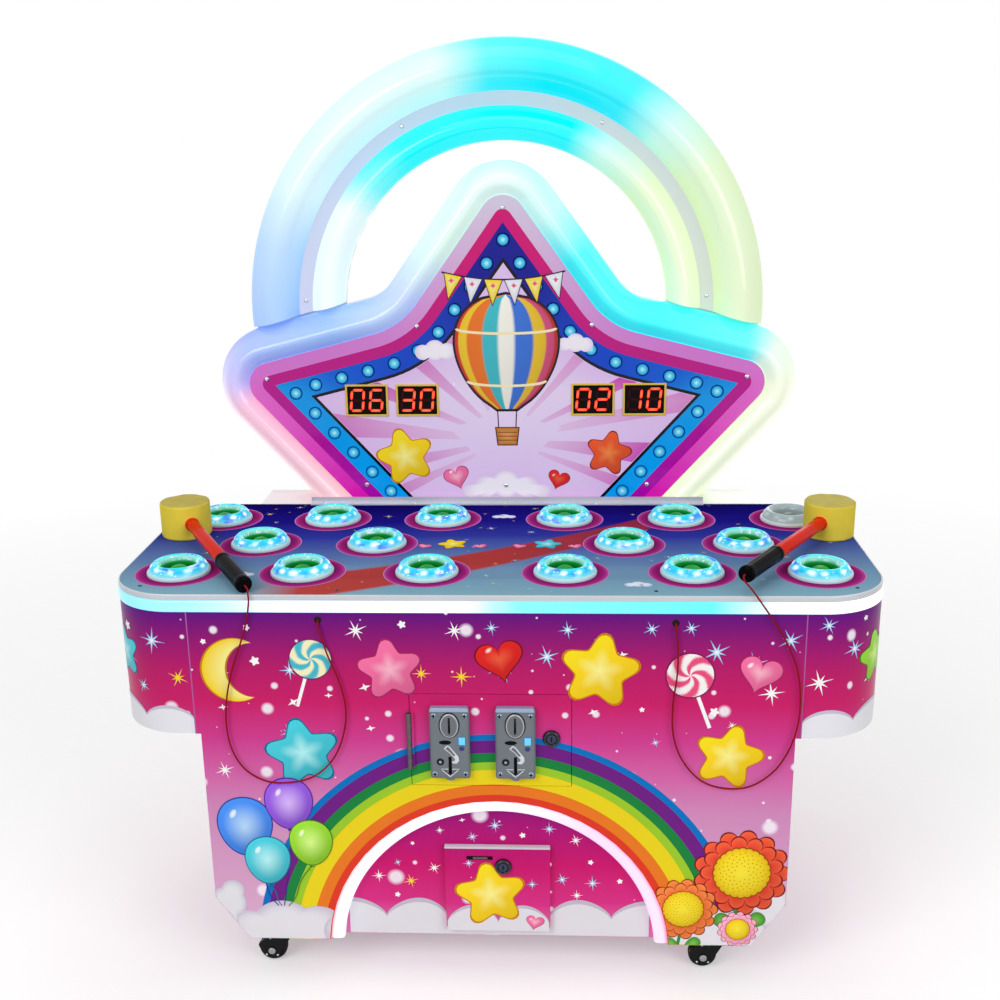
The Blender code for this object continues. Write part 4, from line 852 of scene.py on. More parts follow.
def star_loop(size: float, turn: float = 0.0) -> Array:
    """A plump five-pointed star: ten corners, each rounded by an arc.

    Args:
        size: Reach of its points.
        turn: Angle by which it is turned.

    Returns:
        The loop.
    """
    angle = np.arange(10) * math.pi / 5 + math.pi / 2 + turn
    outer = np.arange(10) % 2 == 0
    reach = np.where(outer, size, size * 0.46)
    corners = [Corner(r * math.cos(a), r * math.sin(a), size * (0.16 if tip else 0.10), 4)
               for tip, a, r in zip(outer, angle, reach)]
    return Outline(corners, run_steps=3).points()


def heart_loop(size: float, turn: float = 0.0) -> Array:
    """A heart: x = 16 sin^3 t, y = 13 cos t - 5 cos 2t - 2 cos 3t - cos 4t.

    Args:
        size: About half its width.
        turn: Angle by which it is turned.

    Returns:
        The loop.
    """
    t = np.linspace(0, math.tau, 60, endpoint=False)
    x = 16 * np.sin(t) ** 3
    y = 13 * np.cos(t) - 5 * np.cos(2 * t) - 2 * np.cos(3 * t) - np.cos(4 * t)
    return turn_loop(np.stack([-x, y], axis=1) * size / 17, turn)


def turn_loop(loop: Array, angle: float) -> Array:
    """Turn a flat loop about its centre."""
    c, s = math.cos(angle), math.sin(angle)
    return loop @ np.array([[c, s], [-s, c]])


def polar(angle: Array, reach: Array) -> Array:
    """Flat points from angles and distances."""
    return np.stack([reach * np.cos(angle), reach * np.sin(angle)], axis=1)


def sparkle_loop(size: float, rays: int = 8, turn: float = 0.0, thin: float = 0.10) -> Array:
    """A spark of long and short rays with narrow waists.

    Args:
        size: Reach of a long ray.
        rays: How many rays, long and short ones together.
        turn: Angle by which it is turned.
        thin: Reach of the waists as a share of the size.

    Returns:
        The loop.
    """
    k = np.arange(rays * 2)
    reach = np.where(k % 2 == 1, size * thin, np.where(k % 4 == 0, size, size * 0.66))
    return polar(k * math.tau / (rays * 2) + turn, reach)


def petal_loop(size: float, petals: int, depth: float) -> Array:
    """A flower outline: r = size (1 - depth + depth |cos(p a / 2)|^0.5)."""
    a = np.linspace(0, math.tau, petals * 12, endpoint=False)
    return polar(a, size * (1 - depth + depth * np.sqrt(np.abs(np.cos(petals * a / 2)))))


def cloud_loop(puffs: Sequence[tuple[float, float, float]], steps: int = 120) -> Array:
    """Outline of overlapping discs: the farthest crossing of each ray from the centre.

    Args:
        puffs: (x, y, radius) of each disc; each holds the centre or touches one that does.
        steps: Rays round the centre.

    Returns:
        The loop.
    """
    ray = polar(np.linspace(0, math.tau, steps, endpoint=False), 1.0)
    discs = np.array(puffs)
    along = ray @ discs[:, :2].T
    room = discs[:, 2] ** 2 - (discs[:, :2] ** 2).sum(axis=1) + along ** 2
    far = np.where(room > 0, along + np.sqrt(np.maximum(room, 0)), 0)
    reach = np.maximum(far.max(axis=1), 0.002)
    return ray * reach[:, None]


@dataclass
class ArtSheet:
    """Painted shapes laid on one surface, gathered in one mesh.

    surface turns flat points and a lift into points in space, and keep moves flat points
    back onto the surface's own outline where a shape would hang over it.
    """

    surface: Callable[[Array, float], Array]
    keep: Optional[Callable[[Array], Array]] = None
    lift: float = HAIR
    step: float = 0.00003
    shell: Shell = field(default_factory=Shell)

    def place(self, flat: Array, layer: int) -> Array:
        """Points of a flat array on the surface."""
        flat = flat if self.keep is None else self.keep(flat)
        return self.surface(flat, self.lift + self.step * layer)

    def blob(self, loop: Array, centre: Sequence[float], stops: Sequence[tuple[float, Colour]],
             layer: int = 0, light: float = 0.0, rows: int = 6) -> None:
        """A shape filled from its centre: point = centre + s loop(t), coloured by s.

        Args:
            loop: Outline about (0, 0).
            centre: Where it lies.
            stops: Colours from the centre (0) to the edge (1).
            layer: Higher layers lie over lower ones.
            light: How much the shape brightens towards its top, to look round.
            rows: Rows of points from the centre out.
        """
        share = np.linspace(0, 1, rows + 1)[1:]
        flat = np.asarray(centre) + share[:, None, None] * loop[None]
        colour = np.repeat(ramp(stops, share)[:, None, :], len(loop), axis=1)
        if light:
            size = np.abs(loop).max()
            rise = (flat[..., 1] - centre[1] - 0.6 * (flat[..., 0] - centre[0])) / size
            colour = np.clip(colour * (1 + light * rise[..., None]), 0, 1)
        self.fan(flat, centre, colour, ramp(stops, np.array([0.0])), layer)

    def fan(self, flat: Array, centre: Sequence[float], colours: Array, middle: Array, layer: int) -> None:
        """Rows of points round a centre, closed at it.

        Args:
            flat: Rows of flat points, the inmost first.
            centre: The centre.
            colours: A colour for each point.
            middle: Colour of the centre.
            layer: Higher layers lie over lower ones.
        """
        numbers = self.shell.grid(self.place(flat, layer), colours, wrap=(False, True))
        self.shell.pole(self.place(np.asarray([centre], float), layer)[0], numbers[0], middle)

    def outlined(self, loop: Array, centre: Sequence[float], stops: Sequence[tuple[float, Colour]],
                 edge: Colour, width: float, layer: int = 0, light: float = 0.0) -> None:
        """A filled shape with a line of its own colour round it.

        Args:
            loop: Outline about (0, 0).
            centre: Where it lies.
            stops: Colours from the centre (0) to the edge (1).
            edge: Colour of the line.
            width: Width of the line.
            layer: Layer of the line; the shape lies one higher.
            light: How much the shape brightens towards its top.
        """
        size = np.linalg.norm(loop, axis=1).max()
        self.blob(loop * (1 + width / size), centre, [(0, edge), (1, edge)], layer, rows=2)
        self.blob(loop, centre, stops, layer + 1, light)

    def band(self, first: Array, second: Array, colours: Array, layer: int = 0, closed: bool = False,
             rows: int = 1) -> None:
        """A strip between two lines: point = (1 - s) first(t) + s second(t).

        Args:
            first: One edge, as (n, 2).
            second: Other edge, with as many points.
            colours: One colour, or an array that fits (rows + 1, n, 3).
            layer: Higher layers lie over lower ones.
            closed: Whether the strip meets itself.
            rows: Steps across the strip.
        """
        share = np.linspace(0, 1, rows + 1)[:, None, None]
        flat = (1 - share) * first[None] + share * second[None]
        tint = np.broadcast_to(np.asarray(colours, float), (rows + 1, len(first), 3))
        self.shell.grid(self.place(flat, layer), tint, wrap=(False, closed))

    def line(self, path: Array, width: float, colour: Colour, layer: int = 0) -> None:
        """A drawn line of constant width along a path."""
        side = left_of(path)
        self.band(path - side * width / 2, path + side * width / 2, np.array(colour), layer)

    def star(self, centre: Sequence[float], size: float, colours: Tones, turn: float = 0.0,
             layer: int = 0) -> None:
        """A plump star: light middle, full colour, darker line."""
        self.outlined(star_loop(size, turn), centre, [(0, colours[0]), (0.65, colours[1]), (1, colours[1])],
                      colours[2], size * 0.05, layer, 0.18)

    def gloss(self, centre: Sequence[float], offset: tuple[float, float], spot: Array, tone: Colour,
              layer: int) -> None:
        """A light mark near a shape's upper left.

        Args:
            centre: Centre of the shape.
            offset: How far left of it and above it the mark lies.
            spot: Outline of the mark.
            tone: Colour at the mark's edge.
            layer: Higher layers lie over lower ones.
        """
        self.blob(spot, (centre[0] - offset[0], centre[1] + offset[1]), [(0, WHITE), (1, tone)], layer,
                  rows=2)

    def heart(self, centre: Sequence[float], size: float, colours: Tones, turn: float = 0.0,
              layer: int = 0) -> None:
        """A heart with a gloss mark.

        Args:
            centre: Where it lies.
            size: About half its width.
            colours: Light, full and dark tone.
            turn: Angle by which it is turned.
            layer: Higher layers lie over lower ones.
        """
        self.outlined(heart_loop(size, turn), centre, [(0, colours[0]), (0.7, colours[1]), (1, colours[1])],
                      colours[2], size * 0.07, layer, 0.15)
        spot = turn_loop(circle((0, 0), size * 0.17, 20) * np.array((1.0, 0.6)), 0.7)
        self.gloss(centre, (size * 0.45, size * 0.38), spot, colours[0], layer + 2)

    def balloon(self, centre: Sequence[float], size: float, colours: Tones, string: Array,
                layer: int = 0) -> None:
        """A toy balloon with its knot and string.

        Args:
            centre: Where it lies.
            size: Half its width.
            colours: Light, full and dark tone.
            string: Course of the string from the knot.
            layer: Higher layers lie over lower ones.
        """
        a = np.linspace(0, math.tau, 48, endpoint=False)
        loop = np.stack([size * np.cos(a) * (1 + 0.13 * np.sin(a)), size * 1.18 * np.sin(a)], axis=1)
        foot = (centre[0], centre[1] - size * 1.2)
        self.line(np.asarray(foot) + string, size * 0.045, colours[2], layer)
        knot = size * np.array([(0, 0.10), (-0.13, -0.11), (0.13, -0.11)])
        self.blob(knot, foot, [(0, colours[1]), (1, colours[2])], layer, rows=2)
        self.outlined(loop, centre, [(0, colours[0]), (0.8, colours[1]), (1, colours[1])], colours[2],
                      size * 0.05, layer + 1, 0.22)
        shine = turn_loop(circle((0, 0), size * 0.2, 24) * np.array((0.55, 1.0)), -0.5)
        self.gloss(centre, (size * 0.42, size * 0.52), shine, colours[0], layer + 3)

    def flower(self, centre: Sequence[float], size: float, colours: Tones, layer: int = 0) -> None:
        """A daisy: two rings of petals round a domed middle, with seeds on a spiral.

        Args:
            centre: Where it lies.
            size: Reach of the petals.
            colours: Light, full and dark tone.
            layer: Higher layers lie over lower ones.
        """
        for k, (share, turn) in enumerate(((1.0, 0.0), (0.86, math.pi / 13))):
            loop = turn_loop(petal_loop(size * share, 13, 0.24), turn)
            self.outlined(loop, centre, [(0, colours[1]), (0.6, colours[1]), (1, colours[0])], colours[2],
                          size * 0.035, layer + 2 * k, 0.12)
        middle = [(0, rgb(252, 232, 60)), (0.75, rgb(244, 218, 36)), (1, rgb(230, 180, 20))]
        self.outlined(petal_loop(size * 0.60, 24, 0.06), centre, middle, rgb(150, 70, 10), size * 0.03,
                      layer + 4, 0.12)
        seed = np.arange(90)
        places = np.asarray(centre) + polar(seed * 2.39996, size * 0.50 * np.sqrt(seed / 90))
        brown = rgb(200, 110, 15)
        for place in places[8:]:
            self.blob(circle((0, 0), size * 0.014, 6), place, [(0, brown), (1, brown)], layer + 6, rows=1)

    def candy(self, centre: Sequence[float], size: float, colours: tuple[Colour, Colour], turn: float,
              layer: int = 0) -> None:
        """A lollipop: stick, and a disc whose two colours wind as a spiral.

        Args:
            centre: Centre of the disc.
            size: Its radius.
            colours: The two colours.
            turn: Angle by which the stick leans.
            layer: Higher layers lie over lower ones.
        """
        end = np.asarray(centre) + 2.6 * size * np.array((math.sin(turn), -math.cos(turn)))
        self.line(np.linspace(np.asarray(centre, float), end, 6), size * 0.16, WHITE, layer)
        a = np.linspace(0, math.tau, 72, endpoint=False)
        share = np.linspace(0.04, 1, 14)
        flat = np.asarray(centre) + size * share[:, None, None] * polar(a, 1.0)[None]
        mask = smoothstep(-0.12, 0.12, np.sin(5 * a[None, :] + 7.0 * share[:, None]))[..., None]
        tint = mask * np.array(colours[0]) + (1 - mask) * np.array(colours[1])
        self.blob(circle((0, 0), size * 1.06, 48), centre, [(0, colours[1]), (1, rgb(120, 20, 90))],
                  layer + 1, rows=2)
        self.fan(flat, centre, tint, np.array(colours[0]), layer + 2)

    def spark(self, centre: Sequence[float], size: float, colours: tuple[Colour, Colour], rays: int = 8,
              turn: float = 0.0, layer: int = 0, thin: float = 0.10) -> None:
        """A thin-rayed spark with a warm middle."""
        stops = [(0, colours[0]), (0.35, colours[0]), (0.6, colours[1]), (1, colours[1])]
        self.blob(sparkle_loop(size, rays, turn, thin), centre, stops, layer, rows=4)

    def cloud(self, centre: Sequence[float], puffs: Sequence[tuple[float, float, float]],
              colours: tuple[Colour, Colour], layer: int = 0) -> None:
        """A puffy cloud, whiter in its middle."""
        self.blob(cloud_loop(puffs), centre, [(0, colours[0]), (0.7, colours[0]), (1, colours[1])], layer,
                  rows=8)

    def bank(self, span: tuple[float, float], foot: float, rise: tuple[float, float],
             colours: tuple[Colour, Colour], layer: int = 0) -> None:
        """A long bank of cloud on a line: top = foot + a + b |sin|^0.6, with a shaded rim.

        Args:
            span: First and last u.
            foot: v of the line.
            rise: Height between two puffs, and what a puff adds.
            colours: Colour of the cloud and of its rim.
            layer: Higher layers lie over lower ones.
        """
        u = np.linspace(*span, 240)
        foot_line = np.stack([u, np.full(240, foot)], axis=1)
        puff = np.abs(np.sin(u * 29 + 0.7 * np.sin(u * 11))) ** 0.6
        up = np.stack([np.zeros(240), rise[0] + rise[1] * puff], axis=1)
        for share, tone, over in ((1.0, colours[1], 0), (0.88, colours[0], 1)):
            self.band(foot_line, foot_line + up * share, np.array(tone), layer + over)

    def scatter(self, seed: int, spans: tuple[tuple[float, float], tuple[float, float]], count: int,
                room: float, clear: Callable[[float, float], bool], size: float = 1.0) -> None:
        """Sparks, small stars and dots at places that keep apart.

        Args:
            seed: Seed of the places.
            spans: Range of u and of v.
            count: How many are tried.
            room: Least distance between two.
            clear: Says whether a place is free.
            size: Scale of the shapes.
        """
        rng = np.random.default_rng(seed)
        taken: list[tuple[float, float]] = []
        blue = rgb(150, 205, 250)
        kinds = [(rgb(255, 224, 40), rgb(255, 214, 60)), (WHITE, WHITE), (WHITE, blue), (WHITE, blue)]
        for _ in range(count):
            u, v = rng.uniform(*spans[0]), rng.uniform(*spans[1])
            if not clear(u, v) or any(math.hypot(u - a, v - b) < room for a, b in taken):
                continue
            taken.append((u, v))
            kind, reach = rng.integers(6), size * rng.uniform(0.5, 1.0)
            if kind < 4:
                self.spark((u, v), 0.027 * reach, kinds[kind], 8, rng.uniform(0, 0.5), 1, 0.20)
            elif kind == 4:
                self.blob(star_loop(0.012 * reach, rng.uniform(0, 1)), (u, v), [(0, WHITE), (1, WHITE)], 1,
                          rows=1)
            else:
                self.spark((u, v), 0.014 * reach, (WHITE, WHITE), 4, rng.uniform(0, 0.6), 1, 0.3)

    def build(self, name: str, finish: Finish, body: str) -> Object:
        """Make the sheet's mesh."""
        return self.shell.build(name, finish, body, flat=True)


# Finishes

GLOSS_ART = Painted("gloss_art", WHITE, roughness=0.30, wave=0.02, smear=0.08, vary=0.02, specular=0.12)
DECK_ART = Painted("deck_art", WHITE, roughness=0.12, wave=0.01, smear=0.05, vary=0.02, specular=0.0)
LIT_SHELL = Painted("lit_shell", rgb(206, 206, 206), roughness=0.14, coat=0.15, wave=0.03, smear=0.05,
                    vary=0.012, glow=0.50, specular=0.45)
RING_CLEAR = Painted("ring_clear", rgb(190, 190, 190), roughness=0.08, wave=0.35, smear=0.04, vary=0.02,
                     glow=0.78, specular=0.40)
RING_SKIRT = Painted("ring_skirt", WHITE, roughness=0.42, wave=0.10, smear=0.10, vary=0.03, glow=0.06)
FRAME_YELLOW = Finish("frame_yellow", rgb(226, 190, 60), roughness=0.35, coat=0.3)
TRIM_PALE = Finish("trim_pale", rgb(205, 208, 214), roughness=0.34, coat=0.25, wave=0.06)
BOARD_PALE = Finish("board_pale", rgb(212, 212, 208), roughness=0.55, wave=0.12, smear=0.2)
BODY_PAINT = Finish("body_paint", rgb(176, 62, 138), roughness=0.42, wave=0.10, smear=0.15,
                    top=(0.700, rgb(250, 250, 250)))
STEEL_PLATE = Finish("steel_plate", rgb(158, 160, 164), roughness=0.34, metallic=0.9, wave=0.05, smear=0.25)
CHROME = Finish("chrome", rgb(205, 208, 212), roughness=0.14, metallic=1.0, wave=0.02, smear=0.1)
DIECAST = Finish("diecast", rgb(112, 120, 126), roughness=0.46, metallic=0.55, wave=0.35, smear=0.2,
                 vary=0.10)
# Shinier diecast for screw cups and the dial's hub, painted lighter and bluer than the body as light on
# raised rims
DIECAST_LIT_EDGE = Finish("diecast_lit_edge", rgb(150, 168, 182), roughness=0.30, metallic=0.7, wave=0.12, smear=0.2)
BLACK_GLOSS = Finish("black_gloss", rgb(6, 8, 24), roughness=0.14, coat=0.5, wave=0.02, specular=0.25)
BLACK_MATT = Finish("black_matt", rgb(18, 18, 20), roughness=0.5, wave=0.2, smear=0.15, specular=0.15)
CASTER_BLACK = Finish("caster_black", rgb(7, 7, 9), roughness=0.24, wave=0.12, smear=0.1, specular=0.16)
RUBBER = Finish("rubber", rgb(24, 24, 26), roughness=0.68, wave=0.25, smear=0.2, specular=0.2)
GRIP_RUBBER = Finish("grip_rubber", rgb(4, 4, 8), roughness=0.10, wave=0.04, smear=0.04, specular=0.03)
HANDLE_RED = Finish("handle_red", rgb(222, 36, 14), roughness=0.22, wave=0.05, specular=0.06)
CORD_RED = Finish("cord_dark_red", rgb(140, 18, 30), roughness=0.6, wave=0.2, vary=0.12, specular=0.08)
# The lit mole's glow is painted light cast by its ring's lamps; the dim mole is a greyer copy without it, as
# under the unlit ring.
MOLE_GREEN = Finish("mole_lit_green", rgb(8, 138, 40), roughness=0.35, wave=0.12, glow=0.25, specular=0.25)
MOLE_DIM = Finish("mole_dim_green", rgb(66, 92, 78), roughness=0.4, coat=0.2, wave=0.12)
# Black of the label oval, and painted shade on dark plates that stand in for the inside of slots, keyways and
# the coin return
SHADE_AND_BLACK = Finish("shade_and_black", rgb(8, 8, 10), roughness=0.5, wave=0.05, specular=0.08)
LAMP_BLUE = Finish("lamp_blue", rgb(70, 170, 255), roughness=0.2, coat=0.6, wave=0.02, glow=0.8)
ARROW_PALE = Finish("arrow_pale", rgb(214, 220, 226), roughness=0.4, wave=0.05)
CIRCUIT = Finish("circuit", rgb(16, 16, 18), roughness=0.35, coat=0.5, wave=0.02)


@dataclass(frozen=True)
class Foam(Finish):
    """Skinned foam: shallow dents and fine open cells."""

    def lay_colour(self, nodes: Nodes, shader: bpy.types.Node) -> None:
        """Cells and dents as a bump, and a worn colour.

        Args:
            nodes: Tools on the material's tree.
            shader: Its Principled shader.
        """
        point = nodes.object_point()
        cells = nodes.new("ShaderNodeTexVoronoi", feature="F1")
        cells.inputs["Scale"].default_value = 900.0
        nodes.link(point, cells.inputs["Vector"])
        dents = nodes.noise(45.0, 5.0, point)
        height = nodes.math("MULTIPLY_ADD", cells.outputs["Distance"], 0.25, dents)
        bump = nodes.new("ShaderNodeBump")
        bump.inputs["Strength"].default_value = 0.35
        bump.inputs["Distance"].default_value = 0.002
        nodes.link(height, bump.inputs["Height"])
        nodes.link(bump.outputs[0], shader.inputs["Normal"])
        worn = nodes.math("MULTIPLY_ADD", nodes.noise(22.0, 6.0, point), 0.34, 0.83)
        nodes.link(nodes.mix(1.0, self.toned(nodes), worn, "MULTIPLY"), shader.inputs["Base Color"])


FOAM_YELLOW = Foam("foam_yellow", rgb(232, 208, 66), roughness=0.72, specular=0.2,
                   top=(DECK_Z + 0.0625, rgb(192, 176, 84)))


class PrintKind(Enum):
    """Which printed board a material is for."""

    FRONT = "front_print"
    RECESS = "recess_print"
    DECK = "deck_print_art"


def soft_dots() -> bpy.types.NodeTree:
    """Soft round dots of many sizes: a mask from two Voronoi fields on x and z."""

    def fill(nodes: Nodes, source: bpy.types.Node, target: bpy.types.Node) -> None:
        """Lay out the two fields and take the stronger one."""
        x, y, z = nodes.axes()
        flat = nodes.new("ShaderNodeCombineXYZ")
        nodes.link(nodes.math("ADD", x, nodes.math("MULTIPLY", y, 0.9)), flat.inputs[0])
        nodes.link(z, flat.inputs[1])
        masks = []
        for scale, least, reach, part in ((8.0, 0.09, 0.12, 0.52), (21.0, 0.02, 0.16, 0.55)):
            field_node = nodes.new("ShaderNodeTexVoronoi", voronoi_dimensions="2D", feature="F1")
            field_node.inputs["Scale"].default_value = scale
            field_node.inputs["Randomness"].default_value = 0.9
            nodes.link(flat.outputs[0], field_node.inputs["Vector"])
            chance = nodes.new("ShaderNodeSeparateColor")
            nodes.link(field_node.outputs["Color"], chance.inputs[0])
            size = nodes.math("MULTIPLY_ADD", nodes.math("POWER", chance.outputs[1], 2.0), reach, least)
            near = nodes.math("SUBTRACT", 1.0, nodes.math("DIVIDE", field_node.outputs["Distance"], size),
                              clamp=True)
            soft = nodes.math("MULTIPLY", near, 2.2, clamp=True)
            shown = nodes.math("GREATER_THAN", chance.outputs[0], part)
            masks.append(nodes.math("MULTIPLY", soft, shown))
        both = nodes.math("MAXIMUM", masks[0], masks[1])
        nodes.link(nodes.math("MULTIPLY", both, source.outputs["Strength"]), target.inputs["Mask"])

    return node_group("soft_dots", [("Mask", "NodeSocketFloat")], [("Strength", "NodeSocketFloat", 0.85)],
                      fill)


@dataclass(frozen=True)
class Print(Finish):
    """A printed and laminated board: colour gradients, a rainbow and soft dots."""

    kind: PrintKind = PrintKind.FRONT
    foot: float = 0.078
    height: float = 0.614
    rainbow: tuple[float, float, float] = (0.28, 0.16, 0.4195)

    def lay_colour(self, nodes: Nodes, shader: bpy.types.Node) -> None:
        """The board's print, plain and pale on the rear face of an upright board.

        Args:
            nodes: Tools on the material's tree.
            shader: Its Principled shader.
        """
        x, y, z = nodes.axes()
        if self.kind is PrintKind.FRONT:
            colour = self._front(nodes, x, z)
        elif self.kind is PrintKind.RECESS:
            colour = self._recess(nodes, z)
        else:
            colour = self._deck(nodes, x, y)
        if self.kind is not PrintKind.DECK:
            colour = nodes.mix(nodes.rise(nodes.axes("Normal")[1], 0.5, 20.0), colour, rgb(216, 214, 210))
        slow = nodes.math("MULTIPLY_ADD", nodes.noise(5.0, 4.0, nodes.object_point()), 0.06, 0.97)
        nodes.link(nodes.mix(1.0, colour, slow, "MULTIPLY"), shader.inputs["Base Color"])

    def _dotted(self, nodes: Nodes, colour: bpy.types.NodeSocket, strength: float) -> bpy.types.NodeSocket:
        """Lay the soft dots over a colour."""
        dots = nodes.new("ShaderNodeGroup", node_tree=soft_dots())
        dots.inputs["Strength"].default_value = strength
        return nodes.mix(dots.outputs[0], colour, rgb(250, 238, 250))

    def _front(self, nodes: Nodes, x: bpy.types.NodeSocket, z: bpy.types.NodeSocket) -> bpy.types.NodeSocket:
        """Purple to pink from top to bottom, with the rainbow's bands by radius."""
        start, width, reach = self.rainbow
        share = nodes.math("DIVIDE", nodes.math("SUBTRACT", z, self.foot), self.height)
        stops = [(0.00, rgb(228, 178, 214)), (0.25, rgb(218, 160, 200)), (0.42, rgb(212, 140, 190)),
                 (0.52, rgb(216, 104, 172)), (0.63, rgb(212, 62, 146)), (0.74, rgb(207, 30, 106)),
                 (0.84, rgb(188, 26, 106)), (0.92, rgb(150, 22, 116)), (1.00, rgb(96, 14, 128))]
        colour = self._dotted(nodes, nodes.ramp(share, stops), 0.95)
        up = nodes.math("SUBTRACT", z, RAINBOW_Z)
        radius = nodes.math("SQRT",
                            nodes.math("ADD", nodes.math("MULTIPLY", x, x), nodes.math("MULTIPLY", up, up)))
        place = nodes.math("DIVIDE", nodes.math("SUBTRACT", radius, start), width)
        bands = [(0.0, rgb(228, 60, 36)), (0.17, rgb(238, 124, 34)), (0.29, rgb(240, 216, 28)),
                 (0.46, rgb(158, 204, 44)), (0.55, rgb(22, 132, 62)), (0.655, rgb(112, 28, 132)),
                 (0.80, rgb(0, 116, 196))]
        band = nodes.ramp(place, bands, "CONSTANT")
        return nodes.mix(nodes.math("LESS_THAN", radius, reach), colour, band)

    def _recess(self, nodes: Nodes, z: bpy.types.NodeSocket) -> bpy.types.NodeSocket:
        """Magenta to pale pink under the arch."""
        share = nodes.math("DIVIDE", nodes.math("SUBTRACT", z, self.foot), self.height)
        stops = [(0.00, rgb(226, 120, 180)), (0.24, rgb(218, 48, 134)), (0.50, rgb(206, 18, 110)),
                 (0.75, rgb(176, 14, 118)), (1.00, rgb(112, 12, 118))]
        return self._dotted(nodes, nodes.ramp(share, stops), 0.9)

    def _deck(self, nodes: Nodes, x: bpy.types.NodeSocket, y: bpy.types.NodeSocket) -> bpy.types.NodeSocket:
        """Grey-blue at the players' edge to navy at the back, with a warm bent band.

        With a = x + 0.30 its middle lies 0.045 + 0.36 a + 0.42 a^2 behind the front, and it
        reaches 0.062 - 0.035 a to both sides.

        Args:
            nodes: Tools on the material's tree.
            x: Place across the deck.
            y: Place along it.

        Returns:
            The colour.
        """
        depth = nodes.math("SUBTRACT", y, FRONT_Y)
        share = nodes.math("DIVIDE", depth, DECK_DEPTH)
        wobble = nodes.math("MULTIPLY", nodes.math("SUBTRACT", nodes.noise(2.2, 2.0, nodes.object_point()),
                                                   0.5), 0.16)
        stops = [(0.00, rgb(130, 172, 190)), (0.22, rgb(116, 150, 182)), (0.42, rgb(88, 112, 176)),
                 (0.58, rgb(52, 58, 160)), (0.76, rgb(30, 22, 134)), (1.00, rgb(18, 8, 92))]
        colour = nodes.ramp(nodes.math("ADD", share, wobble), stops)
        across = nodes.math("ADD", x, 0.30)
        line = nodes.math("ADD", nodes.math("MULTIPLY", across, 0.36),
                          nodes.math("MULTIPLY", nodes.math("MULTIPLY", across, across), 0.42))
        away = nodes.math("ABSOLUTE", nodes.math("SUBTRACT", nodes.math("SUBTRACT", depth, 0.045), line))
        width = nodes.math("SUBTRACT", 0.062, nodes.math("MULTIPLY", across, 0.035))
        inside = nodes.rise(width, away, 90.0)
        right = nodes.rise(0.66, across, 30.0)
        left = nodes.math("MULTIPLY", nodes.math("ADD", across, 0.10), 12.0, clamp=True)
        mask = nodes.math("MULTIPLY", nodes.math("MULTIPLY", inside, right), left)
        warm = nodes.ramp(nodes.math("DIVIDE", nodes.math("ADD", across, 0.1), 0.8),
                          [(0.0, rgb(190, 60, 50)), (0.5, rgb(182, 56, 46)), (1.0, rgb(140, 44, 80))])
        return nodes.mix(nodes.math("MULTIPLY", mask, 0.95), colour, warm)


FRONT_PRINT = Print("front_print", WHITE, roughness=0.30, specular=0.12, wave=0.025, smear=0.08,
                    kind=PrintKind.FRONT)
RECESS_PRINT = Print("recess_print", WHITE, roughness=0.30, specular=0.12, wave=0.025, smear=0.08,
                     kind=PrintKind.RECESS, height=0.28)
DECK_PRINT = Print("deck_print_art", WHITE, roughness=0.12, specular=0.0, wave=0.008, smear=0.05,
                   kind=PrintKind.DECK)


def dress(finish: Finish, *names: str) -> None:
    """Give CAD nodes a finish.

    Args:
        finish: The finish.
        names: The nodes.
    """
    for name in names:
        node = bpy.data.objects[name]
        if not node.material_slots:
            node.data.materials.append(None)
        for slot in node.material_slots:
            slot.material = finish.material()


class Fastener:
    """Small screws with a cross in the head, gathered in one mesh for a body."""

    def __init__(self, radius: float, metal: Finish = CHROME) -> None:
        """Start with no screws.

        Args:
            radius: Radius of the head.
            metal: Its finish.
        """
        self.radius = radius
        self.metal = metal
        self.shell = Shell()

    def add(self, place: Sequence[float], axis: Sequence[float]) -> None:
        """Put a head on a face: height = r (0.55 (1 - s^2)^0.5 - 0.35 dent), the dent a cross.

        Args:
            place: Centre of the head's foot.
            axis: Direction that it faces.
        """
        n = Vector(axis).normalized()
        spin = n.to_track_quat("Z", "Y").to_matrix()
        share = np.linspace(0.0, 1.0, 9)[1:]
        turn = np.arange(24) / 24 * math.tau
        x = self.radius * share[:, None] * np.cos(turn)
        y = self.radius * share[:, None] * np.sin(turn)
        thin = [smoothstep(0.26, 0.14, np.abs(v) / self.radius) for v in (x, y)]
        long = [smoothstep(0.75, 0.6, np.abs(v) / self.radius) for v in (y, x)]
        dent = np.maximum(thin[0] * long[0], thin[1] * long[1])
        height = self.radius * (0.55 * np.sqrt(np.maximum(1 - share[:, None] ** 2, 0)) - 0.35 * dent)
        foot = np.asarray(place, float)
        points = np.stack([x, y, height], axis=-1) @ np.array(spin).T + foot
        rows = self.shell.grid(points, None, wrap=(False, True))
        self.shell.pole(foot + np.array(n) * self.radius * 0.2, rows[0])
        self.shell.face(reversed(rows[-1]))

    def build(self, name: str, body: str) -> Object:
        """Make the mesh of all heads."""
        return self.shell.build(name, self.metal, body, sharp=50.0)


# Sub-assemblies

# Place of each bar of a digit (across, up), and whether it is upright
SEGMENTS = {"a": (0, 2, False), "g": (0, 0, False), "d": (0, -2, False), "b": (1, 1, True),
            "c": (1, -1, True), "f": (-1, 1, True), "e": (-1, -1, True)}
DIGITS = {"0": "abcdef", "1": "bc", "2": "abged", "3": "abgcd", "6": "acdefg"}
ARCH_RISE = 0.3792  # height of the arch's centre over the sign's foot


def ridge(width: float, ends: tuple[float, float], bulge: float, steps: int) -> Array:
    """Section of a rounded ridge: depth = start + (end - start) s - bulge sin(pi s).

    Args:
        width: Its width.
        ends: Depth at its two sides.
        bulge: How far it stands out.
        steps: Steps across it.

    Returns:
        Rows of (distance across, depth).
    """
    start, end = ends
    share = np.linspace(0, 1, steps + 1)
    return np.stack([width * share, start + (end - start) * share - bulge * np.sin(math.pi * share)], axis=1)


